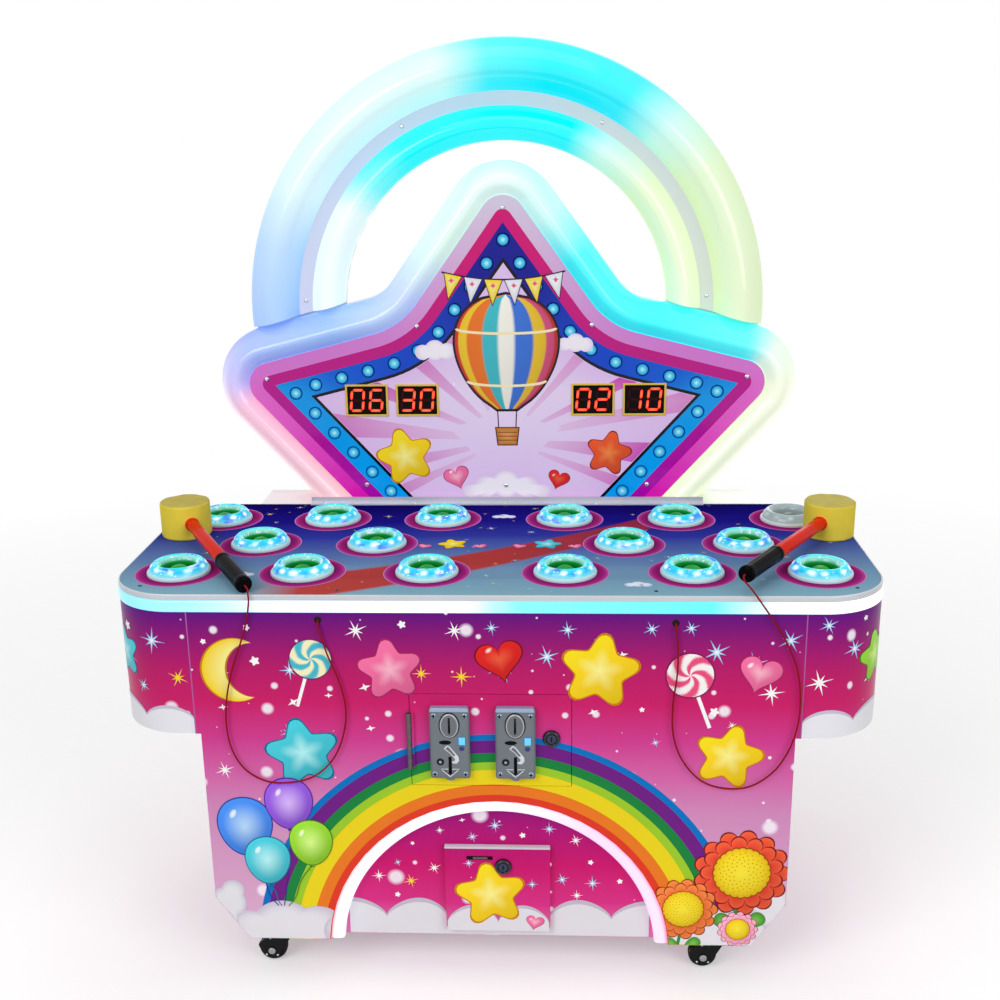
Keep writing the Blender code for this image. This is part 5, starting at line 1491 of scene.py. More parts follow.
@dataclass
class StarSign:
    """Star sign: lit rim moulded round it, printed face, score displays and ledge."""

    foot_reach: float = 0.390
    tip: tuple[float, float] = (0.6602, 0.3002)
    waist: tuple[float, float] = (0.2390, 0.4073)
    apex: float = 0.7391
    tip_radius: float = 0.108
    waist_radius: float = 0.090
    rim_width: float = 0.064
    rim_bulge: float = 0.036
    rim_flange: float = 0.012
    wall: float = 0.0035
    side_depth: float = 0.033
    face_setback: float = 0.0645
    lilac_end: float = 0.0905
    magenta_end: float = 0.1120
    blue_end: float = 0.1500
    line_end: float = 0.1560
    bulb_inset: float = 0.1310
    bulb_pitch: float = 0.054
    bulb_radius: float = 0.0105
    display_x: float = 0.2223
    display_pitch: float = 0.1002
    display_width: float = 0.083
    display_height: float = 0.0627
    display_z: float = 0.2065
    digit_width: float = 0.0236
    digit_rise: float = 0.0205
    digit_bar: float = 0.0050
    digit_pitch: float = 0.0375

    def outline(self, tip_steps: int = 22, waist_steps: int = 12, run_steps: int = 16) -> Outline:
        """The star's outline, anticlockwise from the right foot.

        Args:
            tip_steps: Steps on the arc of an arm's end.
            waist_steps: Steps on the arc between two arms.
            run_steps: Steps on a straight run.

        Returns:
            The outline.
        """
        right = [Corner(self.foot_reach, SIGN_Z), Corner(self.tip[0], SIGN_Z + self.tip[1], self.tip_radius,
                                                         tip_steps),
                 Corner(self.waist[0], SIGN_Z + self.waist[1], self.waist_radius, waist_steps)]
        left = [Corner(-c.x, c.y, c.radius, c.steps) for c in reversed(right)]
        top = Corner(0.0, SIGN_Z + self.apex, self.tip_radius, tip_steps)
        return Outline([*right, top, *left], run_steps, hold_last=True)

    def path(self, outline: Outline, distance: float) -> Array:
        """The outline from foot to foot, without the foot line."""
        return outline.points(distance)[:1 - outline.run_steps]

    def rim_section(self) -> Array:
        """Closed section of the rim as (distance in, depth).

        Returns:
            The section.
        """
        side = SIGN_BACK - self.side_depth
        seat = side - self.rim_bulge + HAIR
        outer = ridge(self.rim_width, (side, seat), self.rim_bulge, 20)
        inner = ridge(self.rim_width - 2 * self.wall, (side, seat), self.rim_bulge, 10)[::-1] + self.wall
        flange = self.rim_width + self.rim_flange
        return np.concatenate([[(0, SIGN_BACK)], outer, [(flange, seat), (flange, seat + self.wall)], inner,
                               [(self.wall, SIGN_BACK)]])

    def build_rim(self) -> None:
        """Sweep the section round the star and tint it as the lamps behind it do; painted shade darkens both
        sides of the ridge.
        """
        outline = self.outline()
        section = self.rim_section()
        rows = np.stack([in_xz(self.path(outline, d), depth) for d, depth in section])
        along = run_length(self.path(outline, 0.0))
        tint = ramp(RIM_LIGHT, along / along[-1])
        # painted shade: the tint is raised to a higher power, so darker and deeper, towards both sides of the
        # ridge
        edge = np.abs(2 * np.clip(section[:, 0] / self.rim_width, 0, 1) - 1) ** 3
        shell = Shell()
        shell.sweep(rows, np.clip(tint[None], 1e-3, 1) ** (1 + 0.55 * edge[:, None, None]))
        rim = shell.build("star_rim", LIT_SHELL, "cabinet", 55.0)
        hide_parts("star_housing")

    def build_face(self) -> None:
        """The face board itself."""
        loop = self.outline().points(self.face_setback)
        face = plate("face_board", loop, (FACE_Y, FACE_Y + 0.003), 0.0006, FACE_BOARD, "cabinet")
        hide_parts("star_face")

    def inner_reach(self, centre: Array, angle: Array, inset: float) -> Array:
        """Distance from a centre to the outline, moved in, along each angle.

        Args:
            centre: The centre.
            angle: The angles.
            inset: How far the outline is moved in.

        Returns:
            One distance for each angle.
        """
        loop = self.outline().points(inset) - centre
        turn = np.arctan2(loop[:, 1], loop[:, 0])
        order = np.argsort(turn)
        return np.interp(angle, turn[order], np.linalg.norm(loop, axis=1)[order], period=math.tau)

    def print_bands(self, sheet: ArtSheet) -> None:
        """Bands that follow the star's outline, coloured by height, and the pale field within.

        Args:
            sheet: Takes the shapes.
        """
        outline = self.outline(10, 10, 10)
        edges = (self.face_setback + 0.0004, self.lilac_end, self.magenta_end, self.blue_end, self.line_end)
        for first, second, stops in zip(edges, edges[1:], (LILAC_BAND, MAGENTA_BAND, BLUE_BAND, INK_BAND)):
            a, b = self.path(outline, first), self.path(outline, second)
            sheet.band(a, b, ramp(stops, a[:, 1] - SIGN_Z)[None], layer=1)
        centre = (0.0, SIGN_Z + 0.235)
        field_stops = [(0, rgb(240, 224, 248)), (0.6, rgb(234, 210, 246)), (1, rgb(230, 196, 242))]
        sheet.blob(outline.points(self.line_end) - np.array(centre), centre, field_stops, layer=1, rows=10)

    def print_rays(self, sheet: ArtSheet) -> None:
        """Slanting pink rays that fan out behind the balloon.

        Args:
            sheet: Takes the shapes.
        """
        centre = np.array((0.0, SIGN_Z + 0.125))
        pale, light, deep = (np.array(rgb(*tone))
                             for tone in ((236, 210, 240), (236, 200, 236), (206, 36, 178)))
        share = np.linspace(0.30, 1.0, 6)[:, None, None] ** 1.3
        for start, width, depth in RAYS:
            angle = np.linspace(start, start + width, 12)
            far = polar(angle, 1.0) * self.inner_reach(centre, angle, self.line_end + 0.001)[:, None]
            tint = (1 - share) * pale + share * (deep * depth + light * (1 - depth))
            sheet.band(centre + far * 0.30, centre + far, np.broadcast_to(tint, (6, 12, 3)), layer=2, rows=5)

    def print_bulbs(self, sheet: ArtSheet) -> None:
        """Round lamps at an even pitch along the blue band.

        Args:
            sheet: Takes the shapes.
        """
        path = self.path(self.outline(10, 10, 10), self.bulb_inset)
        length = run_length(path)[-1]
        count = int(round(length / self.bulb_pitch))
        glass = [(0, rgb(215, 255, 255)), (0.30, rgb(130, 232, 248)), (0.72, rgb(60, 190, 240)),
                 (1, rgb(40, 150, 225))]
        for x, z in read_path((np.arange(count) + 0.5) / count * length, path):
            low = float(np.interp(z, [SIGN_Z, SIGN_Z + 0.5], [1, 0]))
            rim = tuple((1 - low) * np.array(rgb(24, 80, 190)) + low * np.array(rgb(10, 160, 228)))
            sheet.blob(circle((0, 0), self.bulb_radius, 24), (x, z), glass, layer=2)
            sheet.blob(circle((0, 0), self.bulb_radius * 1.25, 24), (x, z),
                       [(0, rgb(60, 190, 240)), (1, rim)], layer=1, rows=2)

    def print_balloon(self, sheet: ArtSheet) -> None:
        """A striped hot-air balloon between the displays: x = w cos(lon) f(lat).

        Args:
            sheet: Takes the shapes.
        """
        centre = np.array((0.004, SIGN_Z + 0.300))
        rise = 0.112
        lat = np.linspace(-1.0, 1.0, 25)
        half = 0.098 * np.sqrt(np.maximum(1 - lat ** 2, 0)) * (1 + 0.20 * lat)
        half = np.maximum(half, 0.020 * (lat < 0))
        lon = np.linspace(-math.pi / 2, math.pi / 2, 49)
        flat = np.stack([centre[0] + half[:, None] * np.sin(lon)[None, :],
                         centre[1] + np.broadcast_to(rise * lat[:, None], (25, 49))], axis=-1)
        stripe = np.floor((lon / math.pi + 0.5) * 8.999).astype(int)
        tint = np.array(BALLOON_STRIPES)[stripe][None] * (0.72 + 0.32 * np.cos(lon + 0.35))[None, :, None]
        tint = tint * (0.94 + 0.10 * lat)[:, None, None]
        border = np.concatenate([flat[:, 0], flat[::-1, -1]])
        dark = rgb(30, 16, 40)
        sheet.blob((border - centre) * 1.045, centre, [(0, dark), (1, dark)], layer=4, rows=2)
        sheet.shell.grid(sheet.place(flat, 5), np.clip(tint, 0, 1))
        for level in (-0.45, 0.42):
            k = int((level + 1) * 12)
            sheet.line(flat[k] + np.array((0, 0.010)) * np.cos(lon)[:, None] * -1, 0.005, rgb(252, 238, 190),
                       layer=6)
        x, foot = centre[0], centre[1] - rise
        for side in (-1, 1):
            rope = np.linspace((x + side * 0.019, foot + 0.004), (x + side * 0.017, foot - 0.038), 4)
            sheet.line(rope, 0.0022, rgb(60, 30, 30), layer=4)
        basket = np.array([(-0.022, 0.016), (-0.018, -0.018), (0.018, -0.018), (0.022, 0.016)])
        sheet.outlined(basket, (x, foot - 0.054), [(0, rgb(228, 160, 84)), (1, rgb(196, 118, 52))],
                       rgb(60, 26, 16), 0.003, layer=4)
        for k in range(3):
            z = foot - 0.047 - 0.008 * k
            sheet.line(np.linspace((x - 0.019, z), (x + 0.019, z), 3), 0.0016, rgb(120, 62, 24), layer=6)

    def print_bunting(self, sheet: ArtSheet) -> None:
        """A string of gold and white pennants: z = z0 + sag x^2.

        Args:
            sheet: Takes the shapes.
        """
        dark, pink = rgb(44, 22, 60), rgb(236, 90, 140)
        foot, sag = SIGN_Z + 0.440, 1.1
        x = np.linspace(-0.118, 0.118, 41)
        sheet.line(np.stack([x, foot + sag * x ** 2], axis=1), 0.0035, dark, layer=6)
        shades = [GOLD, (WHITE, rgb(226, 226, 236))]
        for k, t in enumerate(np.linspace(-0.100, 0.100, 6)):
            top = foot + sag * t ** 2
            flag = turn_loop(np.array([(-0.0165, 0.016), (0.0, -0.030), (0.0165, 0.016)]), 2.2 * t)
            light, full = shades[k % 2][:2]
            sheet.outlined(flag, (t, top - 0.017), [(0, light), (1, full)], dark, 0.0045, layer=7, light=0.1)
            sheet.spark((t, top - 0.012), 0.007, (pink, pink), layer=9, thin=0.4)

    def build_print(self) -> None:
        """Everything that is printed on the face."""
        sheet = ArtSheet(lambda flat, lift: in_xz(flat, FACE_Y - lift), lift=0.0002, step=0.00005)
        self.print_bands(sheet)
        self.print_rays(sheet)
        self.print_bulbs(sheet)
        self.print_balloon(sheet)
        self.print_bunting(sheet)
        sheet.star((-0.200, SIGN_Z + 0.092), 0.074, GOLD, 0.25, layer=4)
        sheet.star((0.204, SIGN_Z + 0.098), 0.058, ORANGE, -0.22, layer=4)
        sheet.heart((-0.098, SIGN_Z + 0.050), 0.026, ROSE, 0.3, layer=4)
        sheet.heart((0.105, SIGN_Z + 0.045), 0.022, SCARLET, -0.3, layer=4)
        white = (rgb(250, 244, 252), rgb(232, 214, 240))
        for x, z, puffs in ((-0.135, 0.305, [(0, 0, 0.020), (-0.024, -0.004, 0.015), (0.024, -0.002, 0.016)]),
                            (0.138, 0.318, [(0, 0, 0.018), (-0.022, -0.003, 0.013), (0.020, -0.004, 0.014)]),
                            (0.0, 0.035, [(0, 0, 0.028), (-0.040, -0.006, 0.022), (0.042, -0.006, 0.022),
                                          (-0.072, -0.014, 0.014), (0.074, -0.014, 0.014)])):
            sheet.cloud((x, SIGN_Z + z), puffs, white, 3)
        rng = np.random.default_rng(4)
        middle = np.array((0.0, SIGN_Z + 0.19))
        for _ in range(26):
            angle, share = rng.uniform(-0.5, 3.64), rng.uniform(0.5, 0.92)
            reach = float(self.inner_reach(middle, np.array([angle]), self.line_end)[0]) * share
            spot = (reach * math.cos(angle), middle[1] + reach * math.sin(angle))
            if spot[1] > SIGN_Z + 0.01 and abs(abs(spot[0]) - self.display_x) > 0.11:
                sheet.spark(spot, rng.uniform(0.004, 0.009), (WHITE, rgb(255, 235, 250)), layer=3, thin=0.2)
        prints = sheet.build("face_print", FACE_ART, "cabinet")

    def segment(self, key: str) -> tuple[Array, Array]:
        """One bar of a leaning seven-segment digit.

        Args:
            key: Its usual letter, from a to g.

        Returns:
            Its loop, and its offset from the digit's middle.
        """
        across, up, upright = SEGMENTS[key]
        length = (self.digit_rise if upright else self.digit_width) / 2 - 0.0012
        point = self.digit_bar / 2
        bar = np.array([(-length, 0), (-length + point, -point), (length - point, -point),
                        (length, 0), (length - point, point), (-length + point, point)])
        if upright:
            bar = bar[:, ::-1] * np.array((1, -1))
        lean = np.array([[1, 0], [0.10, 1]])
        return bar @ lean, np.array((across * self.digit_width / 2, up * self.digit_rise / 2)) @ lean

    def build_digits(self) -> None:
        """Two seven-segment digits on each module, in a thin yellow frame."""
        front = FACE_Y - 0.0005
        lit, dim, glass = (ArtSheet(lambda flat, lift: in_xz(flat, front - lift), lift=lift)
                           for lift in (0.0008, 0.0006, 0.0004))
        z = SIGN_Z + self.display_z
        frames = []
        for text, side, step in (("06", -1, -1), ("30", -1, 1), ("02", 1, -1), ("10", 1, 1)):
            middle = side * self.display_x + step * self.display_pitch / 2
            w, h = self.display_width / 2, self.display_height / 2
            box = box_loop(-w, -h, w, h)
            glass.blob(box * 0.985, (middle, z), [(0, rgb(20, 12, 14)), (1, rgb(12, 10, 12))], rows=1)
            inner = box - np.sign(box) * 0.0032
            frames.append(plate(f"display_frame_{len(frames) + 1}", box + np.sign(box) * 0.0006 + (middle, z),
                                (front - 0.0022, front - 0.0001), 0.0005, FRAME_YELLOW, "cabinet",
                                [(inner + (middle, z))[::-1]]))
            for index, digit in enumerate(text):
                centre = np.array((middle + (index - 0.5) * self.digit_pitch, z))
                for key in SEGMENTS:
                    loop, offset = self.segment(key)
                    if key in DIGITS[digit]:
                        lit.blob(loop, centre + offset, [(0, rgb(255, 110, 60)), (1, rgb(250, 40, 16))],
                                 rows=2)
                    else:
                        dim.blob(loop, centre + offset, [(0, rgb(58, 14, 14)), (1, rgb(50, 10, 12))], rows=1)
        pieces = [lit.build("digits_lit", DIGIT_ART, "cabinet"),
                  dim.build("digits_unlit", GLASS_ART, "cabinet"),
                  glass.build("display_windows", GLASS_ART, "cabinet"), *frames]

    def build_screws(self) -> None:
        """Screws round the face's edge, on the board behind and along the ledge."""
        screws = Fastener(0.0046)
        for x, z in ((0.0, 1.296), (-0.169, 1.074), (0.169, 1.074), (-0.469, 0.972), (0.469, 0.972),
                     (-0.280, 0.756), (0.280, 0.756), (0.0, 0.754)):
            screws.add((x, FACE_Y - 0.0008, z), FRONT_SIDE)
        screws.build("face_screws", "cabinet")
        back = Fastener(0.0052)
        for x, z in self.outline(2, 2, 2).points(0.032)[::2]:
            back.add((x, BODY_BACK, z), REAR_SIDE)
        radius, centre = 0.477, SIGN_Z + ARCH_RISE
        for angle in np.linspace(0.12, math.pi - 0.12, 9):
            back.add((radius * math.cos(angle), BODY_BACK, centre + radius * math.sin(angle)), REAR_SIDE)
        back.build("board_screws", "cabinet")
        low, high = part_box("star_ledge")
        small = Fastener(0.0030)
        for x in np.linspace(low.x + 0.03, high.x - 0.03, 5):
            small.add((float(x), (low.y + high.y) / 2 - 0.001, low.z + 0.002), UPWARDS)
        small.build("ledge_screws", "cabinet")

    def build(self) -> None:
        """Build the sign."""
        self.build_rim()
        self.build_face()
        self.build_print()
        self.build_digits()
        self.build_screws()
        dress(STEEL_BRUSHED, "star_ledge")
        dress(CIRCUIT, "score_display_left", "score_display_right")
        dress(BOARD_PALE, "header_board")
        dress(STEEL_PLATE, "header_posts")
        LOG.info("star sign built")


# Colours of the lit shells along their way, from the right foot over the top to the left
RIM_LIGHT = [(0.00, rgb(243, 253, 222)), (0.14, rgb(246, 253, 228)), (0.185, rgb(235, 255, 240)),
             (0.215, rgb(96, 250, 255)), (0.30, rgb(60, 246, 254)), (0.385, rgb(80, 248, 254)),
             (0.43, rgb(205, 255, 250)), (0.50, rgb(232, 255, 248)), (0.60, rgb(228, 255, 244)),
             (0.655, rgb(200, 218, 255)), (0.72, rgb(160, 195, 250)), (0.80, rgb(172, 192, 252)),
             (0.85, rgb(205, 198, 252)), (0.89, rgb(248, 196, 222)), (1.00, rgb(250, 206, 212))]
OUTER_LIGHT = [(0.00, rgb(230, 243, 204)), (0.20, rgb(226, 246, 208)), (0.27, rgb(206, 250, 240)),
               (0.33, rgb(50, 240, 254)), (0.44, rgb(20, 244, 254)), (0.52, rgb(90, 246, 254)),
               (0.58, rgb(220, 255, 252)), (0.70, rgb(228, 252, 254)), (0.82, rgb(224, 248, 255)),
               (0.90, rgb(190, 222, 255)), (1.00, rgb(172, 206, 252))]
INNER_LIGHT = [(0.00, rgb(240, 249, 216)), (0.22, rgb(232, 250, 210)), (0.32, rgb(208, 252, 240)),
               (0.38, rgb(8, 246, 254)), (0.50, rgb(0, 246, 255)), (0.68, rgb(6, 250, 255)),
               (0.76, rgb(130, 252, 255)), (0.82, rgb(240, 255, 253)), (1.00, rgb(244, 255, 252))]
STRIP_LIGHT = [(0.00, rgb(206, 214, 200)), (0.35, rgb(192, 206, 212)), (0.55, rgb(176, 206, 224)),
               (0.80, rgb(190, 204, 230)), (1.00, rgb(200, 202, 226))]
# Colours of the strip under the deck, by x
BAND_LIGHT = [(-0.645, rgb(110, 196, 250)), (-0.46, rgb(150, 214, 252)), (-0.34, rgb(226, 240, 252)),
              (-0.06, rgb(236, 246, 252)), (0.02, rgb(110, 222, 250)), (0.36, rgb(80, 214, 250)),
              (0.46, rgb(226, 244, 250)), (0.645, rgb(250, 246, 226))]
# Colours of the printed bands by height over the sign's foot
LILAC_BAND = [(0.03, rgb(228, 26, 186)), (0.147, rgb(236, 90, 202)), (0.318, rgb(218, 128, 212)),
              (0.53, rgb(219, 190, 224)), (0.60, rgb(217, 206, 228))]
MAGENTA_BAND = [(0.02, rgb(176, 6, 172)), (0.15, rgb(182, 16, 152)), (0.30, rgb(196, 20, 134)),
                (0.50, rgb(212, 16, 118))]
BLUE_BAND = [(0.0, rgb(0, 168, 252)), (0.235, rgb(4, 156, 236)), (0.265, rgb(4, 96, 216)),
             (0.30, rgb(4, 72, 204)), (0.46, rgb(14, 20, 146))]
INK_BAND = [(0.0, rgb(8, 8, 16)), (1.0, rgb(8, 8, 16))]
# Start angle, width and depth of colour of each ray
RAYS = ((-0.18, 0.16, 0.85), (0.16, 0.11, 0.55), (0.42, 0.09, 0.9), (0.80, 0.10, 0.4), (1.12, 0.10, 0.5),
        (2.00, 0.10, 0.45), (2.32, 0.12, 0.6), (2.70, 0.10, 0.9), (2.98, 0.14, 0.6), (3.30, 0.13, 0.85),
        (-0.42, 0.10, 0.6), (3.55, 0.10, 0.5))
BALLOON_STRIPES = (rgb(226, 60, 50), rgb(250, 206, 50), rgb(240, 120, 40), rgb(64, 190, 200),
                   rgb(252, 248, 236), rgb(64, 120, 220), rgb(250, 206, 50), rgb(236, 90, 140),
                   rgb(226, 60, 50))
FACE_BOARD = Finish("face_board_white", rgb(232, 214, 236), roughness=0.3, coat=0.4, wave=0.01)
FACE_ART = Painted("face_art", rgb(240, 240, 240), roughness=0.16, wave=0.015, smear=0.06, vary=0.02,
                   glow=0.10, specular=0.25)
DIGIT_ART = Painted("digit_art", WHITE, roughness=0.3, wave=0.0, glow=1.0)
GLASS_ART = Painted("glass_art", WHITE, roughness=0.12, wave=0.0, specular=0.05)
STEEL_BRUSHED = Finish("steel_brushed", rgb(206, 206, 216), roughness=0.36, metallic=0.35, wave=0.04,
                       smear=0.3)


@dataclass
class LightArch:
    """Double-ridged arch that stands on the star's shoulders."""

    centre_height: float = ARCH_RISE
    radius: float = 0.5010
    outer_width: float = 0.094
    flat_width: float = 0.028
    inner_width: float = 0.063
    outer_bulge: float = 0.042
    inner_bulge: float = 0.030
    side_depth: float = 0.020
    wall: float = 0.0035
    gap: float = 0.004
    steps: int = 120
    star: StarSign = field(default_factory=StarSign)

    def start(self, radius: Array) -> Array:
        """Angle at which each circle meets the gap over the star's shoulder.

        Args:
            radius: The circles' radii.

        Returns:
            One angle for each.
        """
        rise = self.star.waist[1] - self.star.tip[1]
        slope = math.atan2(rise, self.star.tip[0] - self.star.waist[0])
        height = self.star.tip[1] + math.tan(slope) * self.star.tip[0] + self.gap / math.cos(slope)
        return np.arcsin((height - self.centre_height) * math.cos(slope) / radius) - slope

    def section(self) -> tuple[Array, Array]:
        """Closed section of the two ridges and the flat strip between them.

        Returns:
            The section as (distance in, depth), and which light tints each point.
        """
        side = SIGN_BACK - self.side_depth
        ends, twice = (side, side), 2 * self.wall
        inner_start = self.outer_width + self.flat_width
        inner_end = inner_start + self.inner_width
        under = ridge(self.outer_width - twice, ends, self.outer_bulge, 8)[::-1] + self.wall
        lower = ridge(self.inner_width - twice, ends, self.inner_bulge, 8)[::-1]
        lower = lower + (inner_start + self.wall, self.wall)
        parts = [(np.array([(0.0, SIGN_BACK)]), 0),
                 (ridge(self.outer_width, ends, self.outer_bulge, 18), 0),
                 (np.array([(self.outer_width + 0.0015, side), (inner_start - 0.0015, side)]), 1),
                 (ridge(self.inner_width, ends, self.inner_bulge, 14) + (inner_start, 0.0), 2),
                 (np.array([(inner_end, SIGN_BACK), (inner_end - self.wall, SIGN_BACK)]), 2),
                 (lower, 2), (under, 0), (np.array([(self.wall, SIGN_BACK)]), 0)]
        return (np.concatenate([part for part, _ in parts]),
                np.concatenate([np.full(len(part), kind) for part, kind in parts]))

    def build_shell(self) -> None:
        """Sweep the section over the arch and tint ridges and strip; painted shade darkens the ridges' sides.
        """
        section, kind = self.section()
        radius = self.radius - section[:, 0]
        share = np.linspace(0, 1, self.steps + 1)
        points = arc_rows(np.stack([radius, section[:, 1]], axis=1), self.start(radius), share,
                          SIGN_Z + self.centre_height)
        tint = np.stack([ramp(stops, share) for stops in (OUTER_LIGHT, STRIP_LIGHT, INNER_LIGHT)])[kind]
        # painted shade: each ridge's tint darkens and deepens towards its two sides
        outer = np.abs(2 * section[:, 0] / self.outer_width - 1)
        inner = np.abs(2 * (section[:, 0] - self.outer_width - self.flat_width) / self.inner_width - 1)
        edge = np.where(kind == 0, np.clip(outer, 0, 1), np.where(kind == 2, np.clip(inner, 0, 1), 0)) ** 3
        shell = Shell()
        shell.sweep(points, np.clip(tint, 1e-3, 1) ** (1 + 0.5 * edge[:, None, None]))
        arch = shell.build("light_arch", LIT_SHELL, "cabinet", 50.0)
        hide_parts("arch_housing")

    def build_screws(self) -> None:
        """Screws along the flat strip between the ridges."""
        screws = Fastener(0.0044)
        radius = self.radius - self.outer_width - self.flat_width / 2
        centre = SIGN_Z + self.centre_height
        for degrees in (3.0, 61.5, 119.0, 177.5):
            turn = math.radians(degrees)
            place = (radius * math.cos(turn), SIGN_BACK - self.side_depth, centre + radius * math.sin(turn))
            screws.add(place, FRONT_SIDE)
        screws.build("arch_screws", "cabinet")

    def build(self) -> None:
        """Build the arch."""
        self.build_shell()
        self.build_screws()
        LOG.info("light arch built")


@dataclass
class Playfield:
    """Deck: board with its print, lit rings, moles, trim and the strip of light."""

    ring_radius: float = 0.0535
    ring_height: float = 0.025
    bore: float = 0.0290
    mole_radius: float = 0.0255
    mole_top: float = 0.0130
    first_row: float = 0.1103
    row_pitch: float = 0.1505
    pitch: float = 0.2118
    split: float = 0.0210
    disc_radius: float = 0.0720

    def outline(self, offset: float = 0.0, steps: int = 24) -> Array:
        """Rounded plan of the deck.

        Args:
            offset: How far it is moved in.
            steps: Steps on each corner.

        Returns:
            The loop.
        """
        half, front, back = HALF_DECK, FRONT_Y, FRONT_Y + DECK_DEPTH
        corners = [Corner(-half, front, FRONT_CORNER, steps), Corner(half, front, FRONT_CORNER, steps),
                   Corner(half, back, BACK_CORNER, steps), Corner(-half, back, BACK_CORNER, steps)]
        return Outline(corners, 24).points(offset)

    def places(self) -> list[tuple[float, float]]:
        """Hole centres, row by row from the front.

        Returns:
            Their (x, y).
        """
        outer = [self.split / 2 + self.pitch * (k + 0.5) for k in range(3)]
        inner = [self.split / 2 + self.pitch * (k + 1) for k in range(2)]
        return [(x, FRONT_Y + self.first_row + self.row_pitch * row)
                for row, reach in enumerate((outer, inner, outer))
                for x in sorted([-v for v in reach] + reach)]

    def build_board(self) -> None:
        """The board with a round hole for each mole."""
        holes = [circle(place, self.bore)[::-1] for place in self.places()]
        board = plate("deck_board", self.outline(0.0031), (DECK_Z - 0.0098, DECK_Z), 0.0004, DECK_PRINT,
                      "cabinet", holes, upright=False)
        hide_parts("playfield")

    def build_edges(self) -> None:
        """Rounded pale trim and the glowing strip under it, swept round the plan."""
        trim = rounded_profile([(0.0028, -0.0098, 0), (0.0, -0.0098, 0.0012), (0.0, 0.0, 0.0042),
                                (0.0028, 0.0, 0)], 6)
        shell = Shell()
        shell.grid(np.stack([in_xy(self.outline(d), DECK_Z + z) for d, z in trim]), None, wrap=(True, True))
        piece = shell.build("deck_edge", TRIM_PALE, "cabinet", 45.0)
        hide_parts("deck_trim")
        low, high = BAND_LOW, DECK_Z - 0.0101
        profile = rounded_profile([(0.008, low, 0), (-0.0015, low, 0.003), (-0.0015, high, 0.003),
                                   (0.008, high, 0)], 6)
        rows = np.stack([in_xy(self.outline(d), z) for d, z in profile])
        shell = Shell()
        shell.grid(rows, ramp(BAND_LIGHT, rows[..., 0].ravel()), wrap=(True, True))
        strip = shell.build("light_strip", STRIP_GLOW, "cabinet", 45.0)
        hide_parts("light_band")

    def ring_rows(self) -> tuple[Array, Array]:
        """Sections of the white skirt and of the clear dome.

        Returns:
            Both as (radius, height), the dome at even steps.
        """
        r, h = self.ring_radius, self.ring_height
        skirt = rounded_profile([(r - 0.0004, 0.0, 0), (r, 0.0030, 0.0015), (r - 0.0010, 0.0056, 0.0015),
                                 (r - 0.0045, 0.0064, 0.001), (r - 0.0080, 0.0055, 0)], 4)
        dome = rounded_profile([(r - 0.0036, 0.0048, 0), (r - 0.0056, 0.0130, 0.006),
                                (r - 0.0130, h - 0.0040, 0.007), (r - 0.0195, h - 0.0066, 0.004),
                                (self.bore + 0.0006, 0.0120, 0.004), (self.bore + 0.0002, 0.0, 0)], 7)
        return skirt, read_path(np.linspace(0, run_length(dome)[-1], 30), dome)

    @staticmethod
    def lens_colours(index: int, steps: int, level: Array) -> Array:
        """Colours of one lens: a ramp by height with painted sheen and shade, blotches from small seeded
        grids, painted glints, uneven lamps.

        Args:
            index: Seed of the blotches.
            steps: Points round the lens.
            level: Share of the way from the outer foot over the top and down the hole.

        Returns:
            Linear colours, (heights, steps, 3).
        """
        rng = np.random.default_rng(40 + index)
        turn = np.arange(steps) / steps * math.tau

        def blotch(rows: int, across: int, start: float) -> Array:
            """Mask of soft patches.

            Args:
                rows: Height of the seeded grid.
                across: Its width.
                start: Value over which a patch shows.

            Returns:
                The mask, (heights, steps, 1).
            """
            grid = rng.random((rows, across))
            grid = np.concatenate([grid, grid[:, :1]], axis=1)
            wide = np.array([np.interp(turn, np.linspace(0, math.tau, across + 1), row) for row in grid])
            full = np.array([np.interp(level, np.linspace(0, 1, rows), column) for column in wide.T]).T
            return np.clip((full - start) * 5, 0, 1)[..., None]

        colour = ramp(LENS_LIGHT_AND_SHADE, level)[:, None, :] * np.ones((1, steps, 1))
        high = level[:, None, None]
        # pale patches are a painted sheen, blue patches the lamps' own colour, white specks painted glints
        for tint, share in ((rgb(196, 214, 246), blotch(8, 26, 0.70) * 0.75 * (high < 0.74)),
                            (rgb(44, 92, 240), blotch(7, 22, 0.62) * 0.8 * (high < 0.55)),
                            (rgb(236, 250, 255), (rng.random((len(level), steps, 1)) > 0.980)
                             * (high < 0.74))):
            colour = colour * (1 - share) + np.array(tint) * share
        for lamp in range(LENS_LAMPS):
            away = (turn - lamp * math.tau / LENS_LAMPS - rng.uniform(-0.12, 0.12)
                    + math.pi) % math.tau - math.pi
            wide, power = rng.uniform(0.08, 0.14), rng.uniform(0.6, 1.2)
            spot = np.exp(-(away[None, :] / wide) ** 2 - ((level[:, None] - 0.25) / 0.075) ** 2)[..., None]
            share = np.clip(spot * power * 1.2, 0, 1)
            colour = colour + (np.array(rgb(226, 250, 255)) * 1.25 - colour) * share
        return colour

    def build_rings(self) -> None:
        """A clear lens with lamps in it round each hole; the last one is unlit."""
        skirt, dome = self.ring_rows()
        lens, base = Shell(), Shell()
        steps = 108
        level = np.linspace(0, 1, len(dome))
        places = self.places()
        for index, place in enumerate(places):
            colour = self.lens_colours(index, steps, level)
            skirt_tint = rgb(184, 216, 220)
            # the unlit lens keeps the same pattern greyed, painted sheen and shade with it, and still glows
            # through its finish as painted light
            if index == len(places) - 1:
                colour = np.array(rgb(168, 184, 186)) * (0.45 + 0.5 * colour.mean(axis=2, keepdims=True))
                skirt_tint = rgb(206, 212, 214)
            turned(lens, dome, (*place, DECK_Z), UPWARDS, steps, np.clip(colour, 0, 1.6))
            turned(base, skirt, (*place, DECK_Z), UPWARDS, steps, np.array(skirt_tint))
        lens.build("ring_lenses", RING_CLEAR, "cabinet", 60.0)
        base.build("ring_skirts", RING_SKIRT, "cabinet", 60.0)

